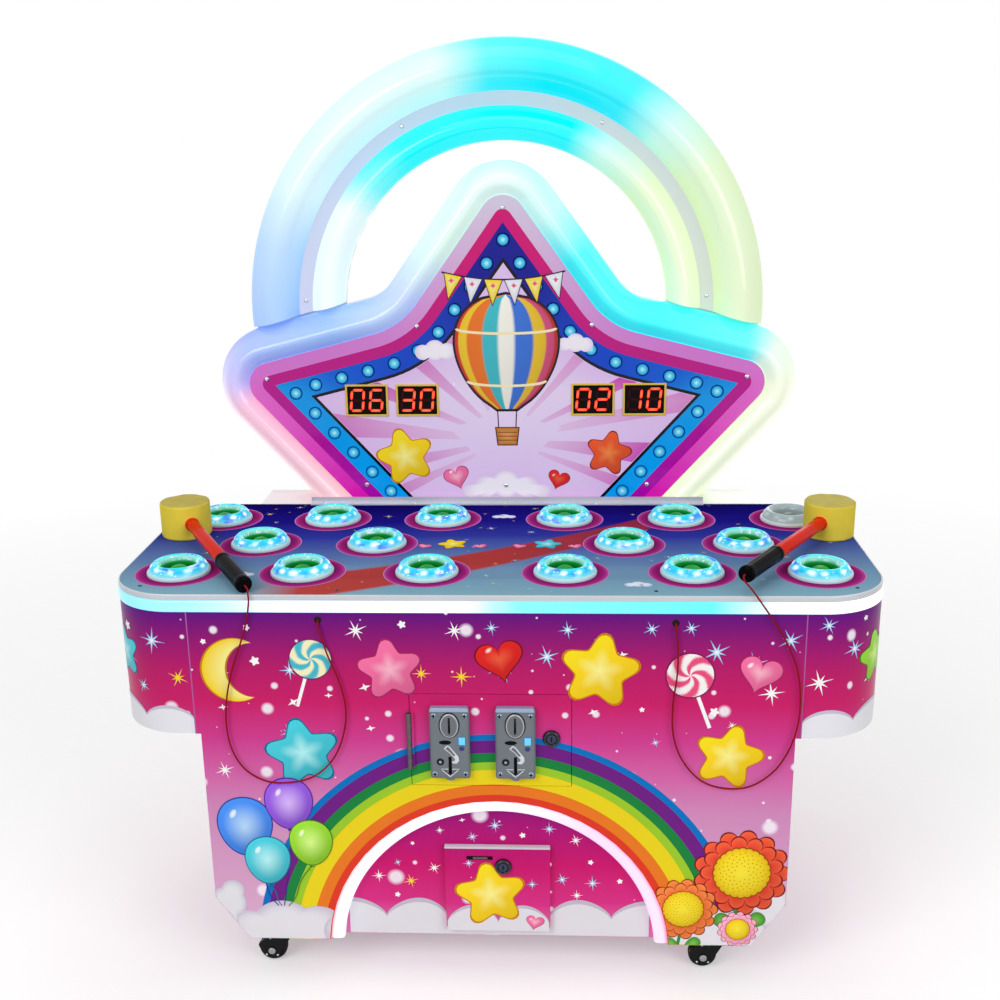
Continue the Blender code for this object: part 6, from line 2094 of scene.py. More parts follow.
    def build_art(self) -> None:
        """Printed discs round the rings, with sparks, stars, hearts and clouds between them."""
        sheet = ArtSheet(lambda flat, lift: in_xy(flat, DECK_Z + lift), lift=0.00015, step=0.00005)
        dark, full, pale, edge = (np.array(rgb(*tone)) for tone in
                                  ((124, 24, 98), (162, 36, 118), (188, 70, 150), (200, 132, 188)))
        reaches = (self.ring_radius - 0.003, self.disc_radius - 0.007, self.disc_radius,
                   self.disc_radius + 0.0018)
        for place in self.places():
            inner, middle, outer, rim = (circle(place, reach, 64) for reach in reaches)
            sheet.band(inner, middle, np.array([dark, full])[:, None, :], 1, closed=True)
            sheet.band(middle, outer, np.array([full, pale])[:, None, :], 1, closed=True)
            sheet.band(outer, rim, edge, 1, closed=True)
        rng = np.random.default_rng(11)
        spots = np.array(self.places())
        for _ in range(150):
            u, v = rng.uniform(-0.60, 0.60), FRONT_Y + rng.uniform(0.02, 0.49)
            near_ring = np.linalg.norm(spots - (u, v), axis=1).min() < 0.085
            if near_ring or abs(u) > 0.55 and not 0.1 < v - FRONT_Y < 0.4:
                continue
            tint = [GOLD[0], rgb(150, 210, 240), rgb(240, 180, 90), WHITE][rng.integers(4)]
            sheet.spark((u, v), rng.uniform(0.004, 0.013), (tint, tint), rays=int(rng.choice([4, 8])),
                        turn=rng.uniform(0, 1), layer=1)
        row = FRONT_Y + self.first_row + self.row_pitch
        for x, tone, turn in ((-0.085, GOLD, 0.3), (0.085, AQUA, -0.2)):
            sheet.star((x, row), 0.034, tone, turn, layer=2)
            for side in (-1, 1):
                sheet.heart((x + side * 0.050, row - 0.012), 0.013, ROSE, 0.3 * side, layer=2)
        white = (rgb(236, 240, 250), rgb(180, 190, 226))
        puffs = [(0, 0, 0.012), (-0.014, -0.003, 0.009), (0.014, -0.003, 0.009)]
        for x, y in ((-0.43, 0.10), (0.235, 0.055), (0.0, 0.43), (-0.21, 0.40)):
            if np.linalg.norm(spots - (x, FRONT_Y + y), axis=1).min() > 0.10:
                sheet.cloud((x, FRONT_Y + y), puffs, white, 1)
        art = sheet.build("deck_shapes", DECK_ART, "cabinet")

    def build_moles(self) -> None:
        """A domed mole on its collar and plunger in each hole."""
        seat = DECK_Z - 0.0985 + HAIR
        foot = seat - 0.060
        top = DECK_Z + self.mole_top
        turn = np.linspace(0, math.pi / 2, 13)
        dome = np.stack([self.mole_radius * np.cos(turn), top - 0.030 * (1 - np.sin(turn))], axis=1)[:-1]
        stem = [(0.006, foot), (0.006, seat), (0.030, seat), (0.030, seat + 0.004),
                (self.mole_radius, seat + 0.004)]
        profile = np.concatenate([stem, dome])
        places = self.places()
        for number, place in enumerate(places, 1):
            shell = Shell()
            turned(shell, profile, (*place, 0), UPWARDS, 36, poles=((0, foot), (-1, top)))
            name = f"mole_{number:02d}"
            # the mole under the unlit ring takes the dim copy; the others glow with painted ring light
            piece = shell.build(f"{name}_cap", MOLE_DIM if number == len(places) else MOLE_GREEN, name, 50.0)
            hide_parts(name)

    def build_screws(self) -> None:
        """Black screws near the deck's corners and along its front edge."""
        screws = Fastener(0.0032, BLACK_GLOSS)
        for x, y in ((-0.585, 0.040), (0.585, 0.040), (-0.255, 0.022), (0.262, 0.022), (-0.595, 0.440),
                     (0.595, 0.440), (0.0, 0.500), (-0.40, 0.500), (0.40, 0.500)):
            screws.add((x, FRONT_Y + y, DECK_Z + 0.0002), UPWARDS)
        screws.build("deck_screws", "cabinet")

    def build(self) -> None:
        """Build the deck."""
        self.build_board()
        self.build_edges()
        self.build_rings()
        self.build_art()
        self.build_moles()
        self.build_screws()
        dress(STEEL_PLATE, "solenoid_tray")
        LOG.info("playfield built")


LENS_LAMPS = 10  # lamps seen inside each lens
# Colours of a lens from its outer foot (0) over the top and down the hole (1): lit plastic, with a pale band
# near the top as painted sheen and darkening down the hole as painted shade
LENS_LIGHT_AND_SHADE = [(0.0, rgb(150, 206, 214)), (0.10, rgb(96, 200, 220)), (0.20, rgb(8, 178, 224)),
                (0.36, rgb(0, 198, 222)), (0.50, rgb(40, 214, 214)), (0.60, rgb(136, 206, 204)),
                (0.72, rgb(96, 176, 146)), (0.80, rgb(8, 122, 40)), (1.0, rgb(2, 70, 18))]
STRIP_GLOW = Painted("strip_glow", WHITE, roughness=0.25, coat=0.5, wave=0.03, vary=0.02, glow=0.75)


@dataclass
class Cabinet:
    """Pedestal, wings and the printed front with its painted shapes."""

    half_panel: float = 0.500
    half_body: float = 0.492
    wing_wall: float = 0.012
    chamfer_width: float = 0.056
    chamfer_height: float = 0.083

    def wing_path(self, offset: float, steps: int = 28) -> Array:
        """Plan of the right wing, from the seam round to the body.

        Args:
            offset: How far it is moved in.
            steps: Steps on each rounded corner.

        Returns:
            The loop.
        """
        half, front, back = HALF_DECK, FRONT_Y, FRONT_Y + DECK_DEPTH
        seam, wall = self.half_panel + HAIR, self.half_body + HAIR
        outline = Outline([Corner(seam, front), Corner(half, front, FRONT_CORNER, steps),
                           Corner(half, back, BACK_CORNER, steps), Corner(wall, back),
                           Corner(wall, front + 0.0203), Corner(seam, front + 0.0203)], 12)
        return outline.points(offset)

    def wing_skin(self) -> Array:
        """Outside path of the right wing, from the seam to the body.

        Returns:
            The path as (n, 2).
        """
        path = self.wing_path(0.0)
        away = np.abs(path[:, 0] - self.half_body - HAIR) + np.abs(path[:, 1] - FRONT_Y - DECK_DEPTH)
        return path[:int(np.argmin(away)) + 1]

    def build_wing(self, side: int) -> None:
        """A rounded box end, hollow and open at the top: wall swept round the plan, and a floor.

        Args:
            side: -1 for the left one, 1 for the right one.
        """
        top = BAND_LOW - HAIR
        path = self.wing_skin()
        inward = left_of(path)
        profile = rounded_profile([(self.wing_wall, WING_LOW + 0.006, 0), (self.wing_wall, WING_LOW, 0),
                                   (0.0, WING_LOW, 0.0022), (0.0, top, 0.001), (self.wing_wall, top, 0)], 5)
        mirror = np.array((side, 1, 1))
        shell = Shell()
        shell.sweep(np.stack([in_xy(path + inward * d, z) for d, z in profile]) * mirror)
        plan = self.wing_path(0.004)
        floor = np.stack([in_xy(plan, WING_LOW + 0.0002), in_xy(plan, WING_LOW + self.wing_wall)]) * mirror
        slab = shell.grid(floor, None, wrap=(False, True))
        shell.face(slab[0])
        shell.face(slab[1][::-1])
        name = f"{hand(side)}_wing"
        wing = shell.build(f"{name}_shell", FRONT_PRINT, "cabinet")
        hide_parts(name)

    def on_panel(self, flat: Array) -> Array:
        """Keep painted shapes on the pedestal's outline and off the arch.

        Args:
            flat: Flat points (x, z).

        Returns:
            The points, moved where they have to be.
        """
        u, v = flat[..., 0], np.clip(flat[..., 1], BASE_Z + 0.001, BAND_LOW - 0.002)
        rise = np.clip((v - BASE_Z) / self.chamfer_height, 0, 1)
        limit = np.where(v > WING_LOW, self.half_panel,
                         self.half_body - self.chamfer_width * (1 - rise)) - 0.001
        u = np.clip(u, -limit, limit)
        radius, least = np.hypot(u, v - RECESS_CENTRE_Z), RECESS_RADIUS + 0.001
        grow = np.where(radius < least, least / np.maximum(radius, 1e-6), 1)
        return np.stack([u * grow, RECESS_CENTRE_Z + (v - RECESS_CENTRE_Z) * grow], axis=-1)

    def on_wing(self, side: int) -> Callable[[Array, float], Array]:
        """Map from (distance round the wing, height) to its outside.

        Args:
            side: -1 for the left wing, 1 for the right one.

        Returns:
            The surface.
        """
        path = self.wing_skin()
        along, inward = run_length(path), left_of(path)

        def surface(flat: Array, lift: float) -> Array:
            """Points at a lift over the wing's outside."""
            u = flat[..., 0]
            x, y = (np.interp(u, along, path[:, k]) - lift * np.interp(u, along, inward[:, k])
                    for k in range(2))
            return np.stack([side * x, y, flat[..., 1]], axis=-1)

        return surface

    def print_front(self) -> None:
        """Painted shapes of the front panel."""
        sheet = ArtSheet(lambda flat, lift: in_xz(flat, FRONT_Y - lift), self.on_panel)
        door_low, door_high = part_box("coin_door")

        def clear(u: float, v: float) -> bool:
            """Whether a place is off the coin door and the rainbow."""
            near = door_low.x - 0.04 < u < door_high.x + 0.03 and door_low.z - 0.03 < v < door_high.z + 0.03
            return not near and math.hypot(u, v - RAINBOW_Z) > 0.46 and v < 0.675

        sheet.scatter(7, ((-0.48, 0.48), (0.52, 0.68)), 420, 0.056, clear)
        sheet.scatter(21, ((-0.47, 0.47), (0.38, 0.52)), 50, 0.085, clear, 0.7)
        for x, z, size, tone, turn in ((-0.322, 0.440, 0.082, AQUA, 0.18), (0.385, 0.440, 0.074, GOLD, -0.25),
                                       (-0.170, 0.592, 0.070, ROSE, 0.12),
                                       (0.172, 0.592, 0.084, GOLD, -0.15)):
            sheet.star((x, z), size, tone, turn, layer=3)
        sheet.heart((0.010, 0.612), 0.040, SCARLET, 0.2, layer=3)
        self.draw_moon(sheet, (-0.425, 0.590), 0.056)
        sheet.candy((0.318, 0.585), 0.038, (rgb(255, 250, 250), rgb(240, 80, 130)), 0.35, layer=3)
        sheet.candy((-0.300, 0.610), 0.034, (rgb(255, 246, 200), rgb(70, 190, 210)), -0.3, layer=3)
        sheet.heart((0.430, 0.590), 0.036, ROSE, -0.25, layer=3)
        for centre, layer, puffs in FRONT_CLOUDS:
            sheet.cloud(centre, puffs, (rgb(232, 230, 236), rgb(206, 196, 214)), layer)
        knot, wave = (-0.372, 0.145), np.linspace(0, 1, 14)
        for k, ((x, z), size, tone, bend) in enumerate((
                ((-0.430, 0.300), 0.046, SKY, 0.05), ((-0.352, 0.345), 0.040, VIOLET, 0.0),
                ((-0.395, 0.235), 0.038, AQUA, 0.02), ((-0.318, 0.270), 0.036, LIME, -0.04))):
            drop = z - size * 1.2 - knot[1]
            string = np.stack([(knot[0] - x) * wave ** 1.4 + bend * np.sin(wave * 5) * 0.2, -drop * wave],
                              axis=1)
            sheet.balloon((x, z), size, tone, string, layer=7 + 5 * k)
        for k, (centre, size, tone) in enumerate((((0.415, 0.222), 0.080, SCARLET),
                                                  ((0.318, 0.150), 0.058, ORANGE),
                                                  ((0.412, 0.112), 0.034, ROSE))):
            self.draw_stem(sheet, centre, size, 6 + 9 * k)
            sheet.flower(centre, size, tone, layer=8 + 9 * k)
        art = sheet.build("front_shapes", GLOSS_ART, "cabinet")

    @staticmethod
    def draw_moon(sheet: ArtSheet, centre: Sequence[float], size: float) -> None:
        """A crescent between two arcs that meet at its horns.

        Args:
            sheet: Takes the shape.
            centre: Where it lies.
            size: Reach of its horns.
        """
        a = np.linspace(-2.1, 2.1, 60)
        outer = np.stack([-np.cos(a), np.sin(a)], axis=1) * size
        inner = np.stack([0.505 - 0.82 * np.cos(a * 0.748), 0.863 * np.sin(a * 0.748)], axis=1) * size
        middle = (outer + inner) / 2
        for grow, tones, layer in ((1.16, (GOLD[2], GOLD[2]), 3), (1.0, (GOLD[1], GOLD[0]), 4)):
            edges = [centre + middle * (0.98 + grow * 0.02) + (edge - middle) * grow
                     for edge in (outer, inner)]
            sheet.band(*edges, np.array(tones)[:, None, :], layer)

    @staticmethod
    def draw_stem(sheet: ArtSheet, centre: tuple[float, float], size: float, layer: int) -> None:
        """Stem and two leaves under a flower.

        Args:
            sheet: Takes the shapes.
            centre: Centre of the flower.
            size: Reach of its petals.
            layer: Higher layers lie over lower ones.
        """
        path = np.linspace(centre, (centre[0] * 0.97, centre[1] - 1.7 * size), 6)
        sheet.line(path, size * 0.09, rgb(60, 140, 50), layer=layer)
        t = np.linspace(0, math.pi, 16)
        for side in (-1, 1):
            leaf = np.stack([side * size * 0.55 * np.sin(t / 2) * 1.1, size * 0.20 * np.sin(t) * side],
                            axis=1)
            back = np.stack([leaf[::-1, 0], -leaf[::-1, 1] * 0.8], axis=1)
            loop = turn_loop(np.concatenate([leaf, back]), 0.5 * side)
            middle = loop.mean(axis=0)
            sheet.blob(loop - middle, np.array((centre[0], centre[1] - size * 1.35)) + middle,
                       [(0, rgb(130, 200, 80)), (1, rgb(56, 140, 50))], layer=layer + (side + 3) // 2)

    def print_wings(self) -> None:
        """Painted shapes that run round both wings."""
        length = float(run_length(self.wing_skin())[-1])
        low = WING_LOW + 0.001

        def keep(flat: Array) -> Array:
            """Keep shapes between the wing's ends, its foot and its top."""
            return np.stack([np.clip(flat[..., 0], 0.001, length - 0.001),
                             np.clip(flat[..., 1], low, BAND_LOW - 0.002)], axis=-1)

        for side, seed, tone in ((-1, 5, AQUA), (1, 9, LIME)):
            sheet = ArtSheet(self.on_wing(side), keep)
            sheet.scatter(seed, ((0.02, length - 0.03), (0.550, 0.682)), 260, 0.050, lambda u, v: True)
            sheet.star((0.140, 0.604), 0.058, tone, 0.2 * side, layer=5)
            sheet.heart((0.330, 0.605), 0.042, ROSE, 0.1, layer=5)
            sheet.star((0.500, 0.602), 0.056, GOLD, -0.2, layer=5)
            sheet.bank((0.001, length - 0.001), low, (0.026, 0.024), (rgb(236, 236, 242), rgb(206, 196, 216)),
                       3)
            piece = sheet.build(f"{hand(side)}_wing_shapes", GLOSS_ART, "cabinet")

    def build_seams(self) -> None:
        """Edge strips where the wings meet the front."""
        path = np.linspace(WING_LOW, BAND_LOW - HAIR, 24)
        profile = rounded_profile([(-0.0008, 0.0, 0), (-0.0008, -0.0005, 0.0003), (0.0008, -0.0005, 0.0003),
                                   (0.0012, 0.0, 0)], 3)
        for side in (-1, 1):
            x = side * (self.half_panel + HAIR / 2)
            shell = Shell()
            shell.sweep(np.stack([in_xz(np.stack([np.full(24, x + a), path], axis=1), FRONT_Y + b)
                                  for a, b in profile]))
            shell.build(f"{hand(side)}_seam_strip", SEAM_LINE, "cabinet")

    def build_rear(self) -> None:
        """Screws of the service panel and of the mains inlet, and the inlet's pins."""
        low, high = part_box("service_panel")
        screws = Fastener(0.0042)
        for x in (low.x + 0.012, 0.0, high.x - 0.012):
            for z in (low.z + 0.012, high.z - 0.012):
                screws.add((x, high.y, z), REAR_SIDE)
        low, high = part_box("power_inlet")
        x, floor = (low.x + high.x) / 2, high.y - 0.0145
        for z in (low.z + 0.005, high.z - 0.005):
            screws.add((x, high.y, z), REAR_SIDE)
        screws.build("rear_screws", "cabinet")
        pin = rounded_profile([(0.0, 0.011, 0), (0.0016, 0.011, 0.0008), (0.0016, 0.0, 0)], 4)
        pins = Shell()
        for dx, dz in ((-0.007, -0.002), (0.007, -0.002), (0.0, 0.003)):
            turned(pins, pin, (x + dx, floor, (low.z + high.z) / 2 + dz), REAR_SIDE, 12)
        pins.build("inlet_pins", CHROME, "cabinet")

    def build(self) -> None:
        """Build the pedestal's looks."""
        dress(FRONT_PRINT, "front_panel")
        dress(BODY_PAINT, "cabinet_body")
        dress(STEEL_PLATE, "service_panel", "control_unit")
        dress(BLACK_MATT, "power_inlet")
        for side in (-1, 1):
            self.build_wing(side)
        self.print_front()
        self.print_wings()
        self.build_seams()
        self.build_rear()
        LOG.info("cabinet built")


# Centre, layer and discs of each cloud on the front
FRONT_CLOUDS = (
    ((-0.375, 0.095), 2, [(0, 0, 0.060), (-0.065, -0.005, 0.045), (0.062, 0.0, 0.050),
                          (0.115, -0.02, 0.040)]),
    ((-0.240, 0.115), 3, [(0, 0, 0.040), (-0.030, -0.02, 0.035), (0.022, 0.03, 0.022)]),
    ((0.375, 0.100), 2, [(0, 0, 0.055), (-0.060, -0.01, 0.045), (0.060, 0.0, 0.050)]),
    ((0.462, 0.170), 3, [(0, 0, 0.035), (0.02, -0.03, 0.035), (-0.01, 0.025, 0.02)]),
    ((-0.470, 0.150), 3, [(0, 0, 0.032), (-0.02, -0.03, 0.035), (0.01, 0.025, 0.02)]))
SEAM_LINE = Finish("seam_line", rgb(176, 96, 166), roughness=0.5, specular=0.2)


@dataclass
class Recess:
    """Arch with its lit tube, printed back panel, cash door and box."""

    light_width: float = 0.0235
    setback: float = 0.004
    steps: int = 96
    white: tuple[Colour, Colour] = (rgb(228, 226, 232), rgb(198, 190, 206))

    def build_light(self) -> None:
        """Lit tube: a round-fronted section carried round the arch."""
        outer, inner = RECESS_RADIUS - HAIR, RECESS_RADIUS - HAIR - self.light_width
        front, back = FRONT_Y + self.setback, RECESS_Y - HAIR
        section = rounded_profile([(outer, back, 0), (outer, front, 0.011), (inner, front, 0.011),
                                   (inner, back, 0)], 10)
        floor = np.arcsin((BASE_Z - RECESS_CENTRE_Z) / section[:, 0])
        share = np.linspace(0, 1, self.steps + 1)
        rows = arc_rows(section, floor, share, RECESS_CENTRE_Z)
        shell = Shell()
        shell.sweep(rows, np.broadcast_to(ramp(TUBE_LIGHT, share)[None], rows.shape))
        light = shell.build("arch_tube", TUBE_GLOW, "cabinet", 50.0)
        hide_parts("arch_light")

    def on_recess(self, flat: Array) -> Array:
        """Keep shapes inside the tube and above the floor.

        Args:
            flat: Flat points (x, z).

        Returns:
            The points, moved where they have to be.
        """
        low = BASE_Z + 0.001
        u, v = flat[..., 0], np.maximum(flat[..., 1], low)
        radius = np.hypot(u, v - RECESS_CENTRE_Z)
        limit = RECESS_RADIUS - self.light_width + 0.004
        shrink = np.where(radius > limit, limit / np.maximum(radius, 1e-6), 1)
        return np.stack([u * shrink, np.maximum(RECESS_CENTRE_Z + (v - RECESS_CENTRE_Z) * shrink, low)],
                        axis=-1)

    def build_art(self) -> None:
        """Shapes on the back panel."""
        sheet = ArtSheet(lambda flat, lift: in_xz(flat, RECESS_Y - lift), self.on_recess)

        def clear(u: float, v: float) -> bool:
            """Whether a place is in the arch and off the cash door."""
            return math.hypot(u, v - RAINBOW_Z) < 0.255 and not (abs(u) < 0.105 and v < 0.270)

        sheet.scatter(3, ((-0.25, 0.25), (0.155, 0.32)), 220, 0.036, clear, 0.62)
        sheet.bank((-0.262, 0.262), BASE_Z + 0.001, (0.036, 0.036), self.white, 3)
        sheet.build("recess_shapes", GLOSS_ART, "cabinet")

    def dress_door(self) -> None:
        """Shapes, edge strip, slot and pull of the cash door; the pale edge strip is painted light on the
        door's top edge.
        """
        low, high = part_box("cash_door")
        sheet = ArtSheet(lambda flat, lift: in_xz(flat, CASH_FRONT - lift))
        sheet.star((-0.012, 0.166), 0.080, GOLD, 0.14, layer=3)
        sheet.heart((0.064, 0.112), 0.016, ROSE, -0.2, layer=6)
        sheet.bank((low.x + 0.002, high.x - 0.002), low.z + 0.002, (0.018, 0.034), self.white, 1)
        sheet.scatter(8, ((low.x + 0.01, high.x - 0.01), (0.150, 0.245)), 30, 0.040,
                      lambda u, v: abs(u) > 0.04, 0.6)
        sheet.build("cash_door_shapes", GLOSS_ART, "cash_door")
        for name, box, lift, back, finish in (
                # the edge: a pale strip over the top edge, painted light from the arch
                ("edge", (low.x, high.z - 0.0030, high.x, high.z + 0.0004), 0.0006, 0.0090, TRIM_PALE),
                # the slot: a dark plate as painted shade in the recess
                ("slot", (-0.0530, 0.2345, -0.0080, 0.2412), 0.0009, 0.0004, SHADE_AND_BLACK),
                ("pull", (-0.0420, 0.2358, -0.0170, 0.2399), 0.0013, 0.0004, STEEL_DARK)):
            piece = plate(f"cash_door_{name}", box_loop(*box), (CASH_FRONT - lift, CASH_FRONT + back), 0.0002,
                          finish, "cash_door")

    def build(self) -> None:
        """Build the arch and the cash door's looks."""
        self.build_light()
        self.build_art()
        self.dress_door()
        dress(RECESS_PRINT, "recess_panel", "cash_door")
        dress(STEEL_PLATE, "cash_box")
        CamLock("cash_door_lock", 0.0100, 0.2220, CASH_FRONT).build()
        LOG.info("arch recess built")


TUBE_LIGHT = [(0.0, rgb(236, 196, 232)), (0.30, rgb(234, 190, 236)), (0.5, rgb(250, 226, 250)),
              (0.7, rgb(246, 240, 255)), (1.0, rgb(232, 244, 255))]
TUBE_GLOW = Painted("tube_glow", WHITE, roughness=0.25, coat=0.4, wave=0.03, vary=0.01, glow=0.62)


@dataclass
class CamLock:
    """Key lock: domed ring, dark plug with a key slot, barrel and cam."""

    node: str
    x: float
    z: float
    face: float
    bezel: float = 0.015
    proud: float = 0.006
    barrel: float = 0.0095

    def build(self) -> None:
        """Build ring, plug and the hidden barrel with its cam; it rides the body of its node's name."""
        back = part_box(self.node)[1].y
        front = self.face - HAIR - self.proud
        foot, place = (self.x, 0, self.z), (self.x, self.z)
        ring = rounded_profile([(0.0086, front + 0.0026, 0), (0.0096, front, 0.0012),
                                (self.bezel - 0.0012, front + 0.0006, 0.003),
                                (self.bezel, self.face - 0.0004, 0.001), (self.barrel, self.face - HAIR, 0),
                                (self.barrel, back, 0)], 6)
        shell = Shell()
        turned(shell, ring * (1, -1), foot, FRONT_SIDE, 48, poles=((-1, -back), (0, -front - 0.0026)))
        barrel = shell.build(f"{self.node}_ring", BLACK_GLOSS, self.node, 45.0)
        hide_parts(self.node)
        face = rounded_profile([(0.0082, -(front + 0.0026), 0), (0.0080, -(front + 0.0004), 0.0008),
                                (0.0, -(front + 0.0002), 0)], 5)
        plug = Shell()
        turned(plug, face[:-1], foot, FRONT_SIDE, 40, poles=((-1, -front - 0.0002), (0, -front - 0.0028)))
        plug.build(f"{self.node}_plug", LOCK_DARK, self.node, 45.0)
        for name, box, span, bevel, finish in (
                # the key slot: a dark plate as painted shade
                ("slot", (-0.0011, -0.0046, 0.0011, 0.0046), (front - 0.0001, front + 0.0012), 0.0003,
                 SHADE_AND_BLACK),
                ("cam", (-0.004, -0.005, 0.042, 0.005), (back - 0.0020, back + HAIR), 0.0004, STEEL_PLATE)):
            piece = plate(f"{self.node}_{name}", box_loop(*box) + place, span, bevel, finish, self.node)


@dataclass
class CoinDoor:
    """Coin door with two acceptors, their return buttons, hinge and lock."""

    left_x: float = -0.0743
    spacing: float = 0.1084
    bottom: float = 0.4010
    width: float = 0.0660
    height: float = 0.1250
    proud: float = 0.0120
    bezel: tuple[float, float] = (0.031, 0.043)
    bezel_z: float = 0.4990
    button_proud: float = 0.003
    button_depth: float = 0.015
    hinge: tuple[float, float, float] = (-0.1417, FRONT_Y - 0.0046, 0)
    hinge_span: tuple[float, float] = (0.4163, 0.5163)

    def build_button(self, side: str, x: float) -> None:
        """Oval button with a rounded light rim and the coin slot through it.

        Args:
            side: "left" or "right".
            x: Middle of its acceptor.
        """
        front = FRONT_Y - self.proud - self.button_proud
        half, place, body = np.array(self.bezel) / 2, (x, self.bezel_z), f"return_button_{side}"
        apart = np.where(np.arange(24) < 12, 1, -1)[:, None] * (0, 0.0131)
        slot = (circle((0, 0), 1.0, 24) * (0.0019, 0.0019) + apart + place)[::-1]
        button = plate(f"button_{side}", circle((0, 0), 1.0) * half + place,
                       (front, front + self.button_depth), 0.0012, BUTTON_RIM, body, [slot])
        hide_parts(body)
        dish = plate(f"button_dish_{side}", circle((0, 0), 1.0, 40) * (half - 0.0023) + place,
                     (front - 0.0004, front + 0.0008), 0.0003, BUTTON_DISH, body, [slot])

    def build_screws(self, side: str, x: float) -> None:
        """Screws in cups at the corners of an acceptor.

        Args:
            side: "left" or "right".
            x: Middle of the acceptor.
        """
        front, high = FRONT_Y - self.proud, self.bottom + self.height
        for name, radius, finish, lift in (("cups", 0.0050, DIECAST_LIT_EDGE, 0.0),
                                           ("screws", 0.0034, BLACK_GLOSS, 0.0006)):
            screws = Fastener(radius, finish)
            for dx in (-1, 1):
                for z in (self.bottom + 0.009, high - 0.010):
                    screws.add((x + dx * (self.width / 2 - 0.0075), front - lift, z), FRONT_SIDE)
            screws.build(f"acceptor_{name}_{side}", "coin_door")

    def build_fittings(self, side: str, x: float) -> None:
        """Lip, raised edge, lamp, lever, dial and bracket on an acceptor's face; the lip's pale blue is a
        painted highlight.

        Args:
            side: "left" or "right".
            x: Middle of the acceptor.
        """
        front, low, high = FRONT_Y - self.proud, self.bottom, self.bottom + self.height
        left, right = x - self.width / 2, x + self.width / 2
        corner = np.array((x, low))

        def add(name: str, loop: Array, lift: float, depth: float, bevel: float, finish: Finish,
                holes: Sequence[Array] = ()) -> None:
            """Plate from a lift off the acceptor's face to a depth in it."""
            piece = plate(f"acceptor_{name}_{side}", loop, (front - lift, front + depth), bevel, finish,
                          "coin_door", holes)

        for name, place, size, lift, finish in ACCEPTOR_OVALS:
            add(name, circle((0, 0), 1.0, 32) * size + corner + place, lift, 0.0004, 0.0002, finish)
        lamp = box_loop(-0.0052, -0.0064, 0.0052, 0.0064) + corner + (0.0205, 0.0700)
        add("lamp", lamp, 0.0022, -0.0002, 0.0008, LAMP_BLUE)
        for name, (lift, points) in ACCEPTOR_MARKS.items():
            finish = BUTTON_DISH if name == "lever_face" else ARROW_PALE
            add(name, np.array(points) / 1000 + corner, lift / 1000, 0.0004, 0.0002, finish)
        # the coin return: a dark plate sunk behind the face, painted shade inside the opening
        add("return", box_loop(-0.0022, 0.0, 0.0022, 0.030) + (x, low + 0.0095), -0.0030, 0.0060, 0.0002,
            SHADE_AND_BLACK)
        edge = Outline([Corner(*place, 0.004, 6)
                        for place in box_loop(left + 0.002, low + 0.002, right - 0.002, high - 0.002)], 4)
        add("edge", edge.points(0.0), 0.0004, 0.0022, 0.0003, DIECAST, [edge.points(0.0010)[::-1]])
        # the lip over the top, pale blue as a painted highlight on the bevel
        foot, top = high - 0.0030, high + 0.0040
        lip = Outline([Corner(left + 0.001, foot, 0.001, 6), Corner(right - 0.001, foot, 0.001, 6),
                       Corner(right - 0.002, top, 0.003, 6), Corner(left + 0.002, top, 0.003, 6)], 4)
        add("lip", lip.points(0.0), 0.0008, self.proud - 0.0010, 0.0008, LIP_HIGHLIGHT_BLUE)
        # a dark ring round the button's outside: painted shadow of the button on the face
        ring, hole = (circle((0, 0), 1.0) * (np.array(self.bezel) / 2 + grow) + (x, self.bezel_z)
                      for grow in (0.0016, 0.0004))
        add("bezel", ring, 0.0010, 0.0006, 0.0003, SHADE_AND_BLACK, [hole[::-1]])

    def build_hinge(self) -> None:
        """Knuckles of the steel hinge: turned sleeves on the door's barrel."""
        shell = Shell()
        edges = np.linspace(self.hinge_span[0] - 0.001, self.hinge_span[1] + 0.001, 6)
        for start, end in zip(edges, edges[1:]):
            profile = rounded_profile([(0.0, start + 0.0004, 0), (0.0044, start + 0.0004, 0.0006),
                                       (0.0044, end - 0.0004, 0.0006), (0.0, end - 0.0004, 0)], 4)
            turned(shell, profile[1:-1], self.hinge, UPWARDS, 28,
                   poles=((0, profile[0, 1]), (-1, profile[-1, 1])))
        shell.build("coin_hinge_knuckles", STEEL_DARK, "coin_door", 45.0)

    def build(self) -> None:
        """Build the door's looks."""
        dress(FRONT_PRINT, "coin_door")
        dress(DIECAST, "coin_acceptor_left", "coin_acceptor_right")
        for index, side in enumerate(("left", "right")):
            x = self.left_x + self.spacing * index
            self.build_button(side, x)
            self.build_screws(side, x)
            self.build_fittings(side, x)
        self.build_hinge()
        CamLock("coin_door_lock", 0.0936, 0.4713, FRONT_Y).build()
        LOG.info("coin door built")


BUTTON_DISH = Finish("button_dish", rgb(108, 112, 118), roughness=0.34, metallic=0.6, wave=0.06, smear=0.2)
BUTTON_RIM = Finish("button_rim", rgb(172, 174, 178), roughness=0.28, metallic=0.7, wave=0.06, smear=0.15)
# Pale blue of the lip over an acceptor's top: painted highlight on its bevel
LIP_HIGHLIGHT_BLUE = Finish("lip_highlight_blue", rgb(158, 176, 208), roughness=0.34, metallic=0.3, wave=0.05, smear=0.15)
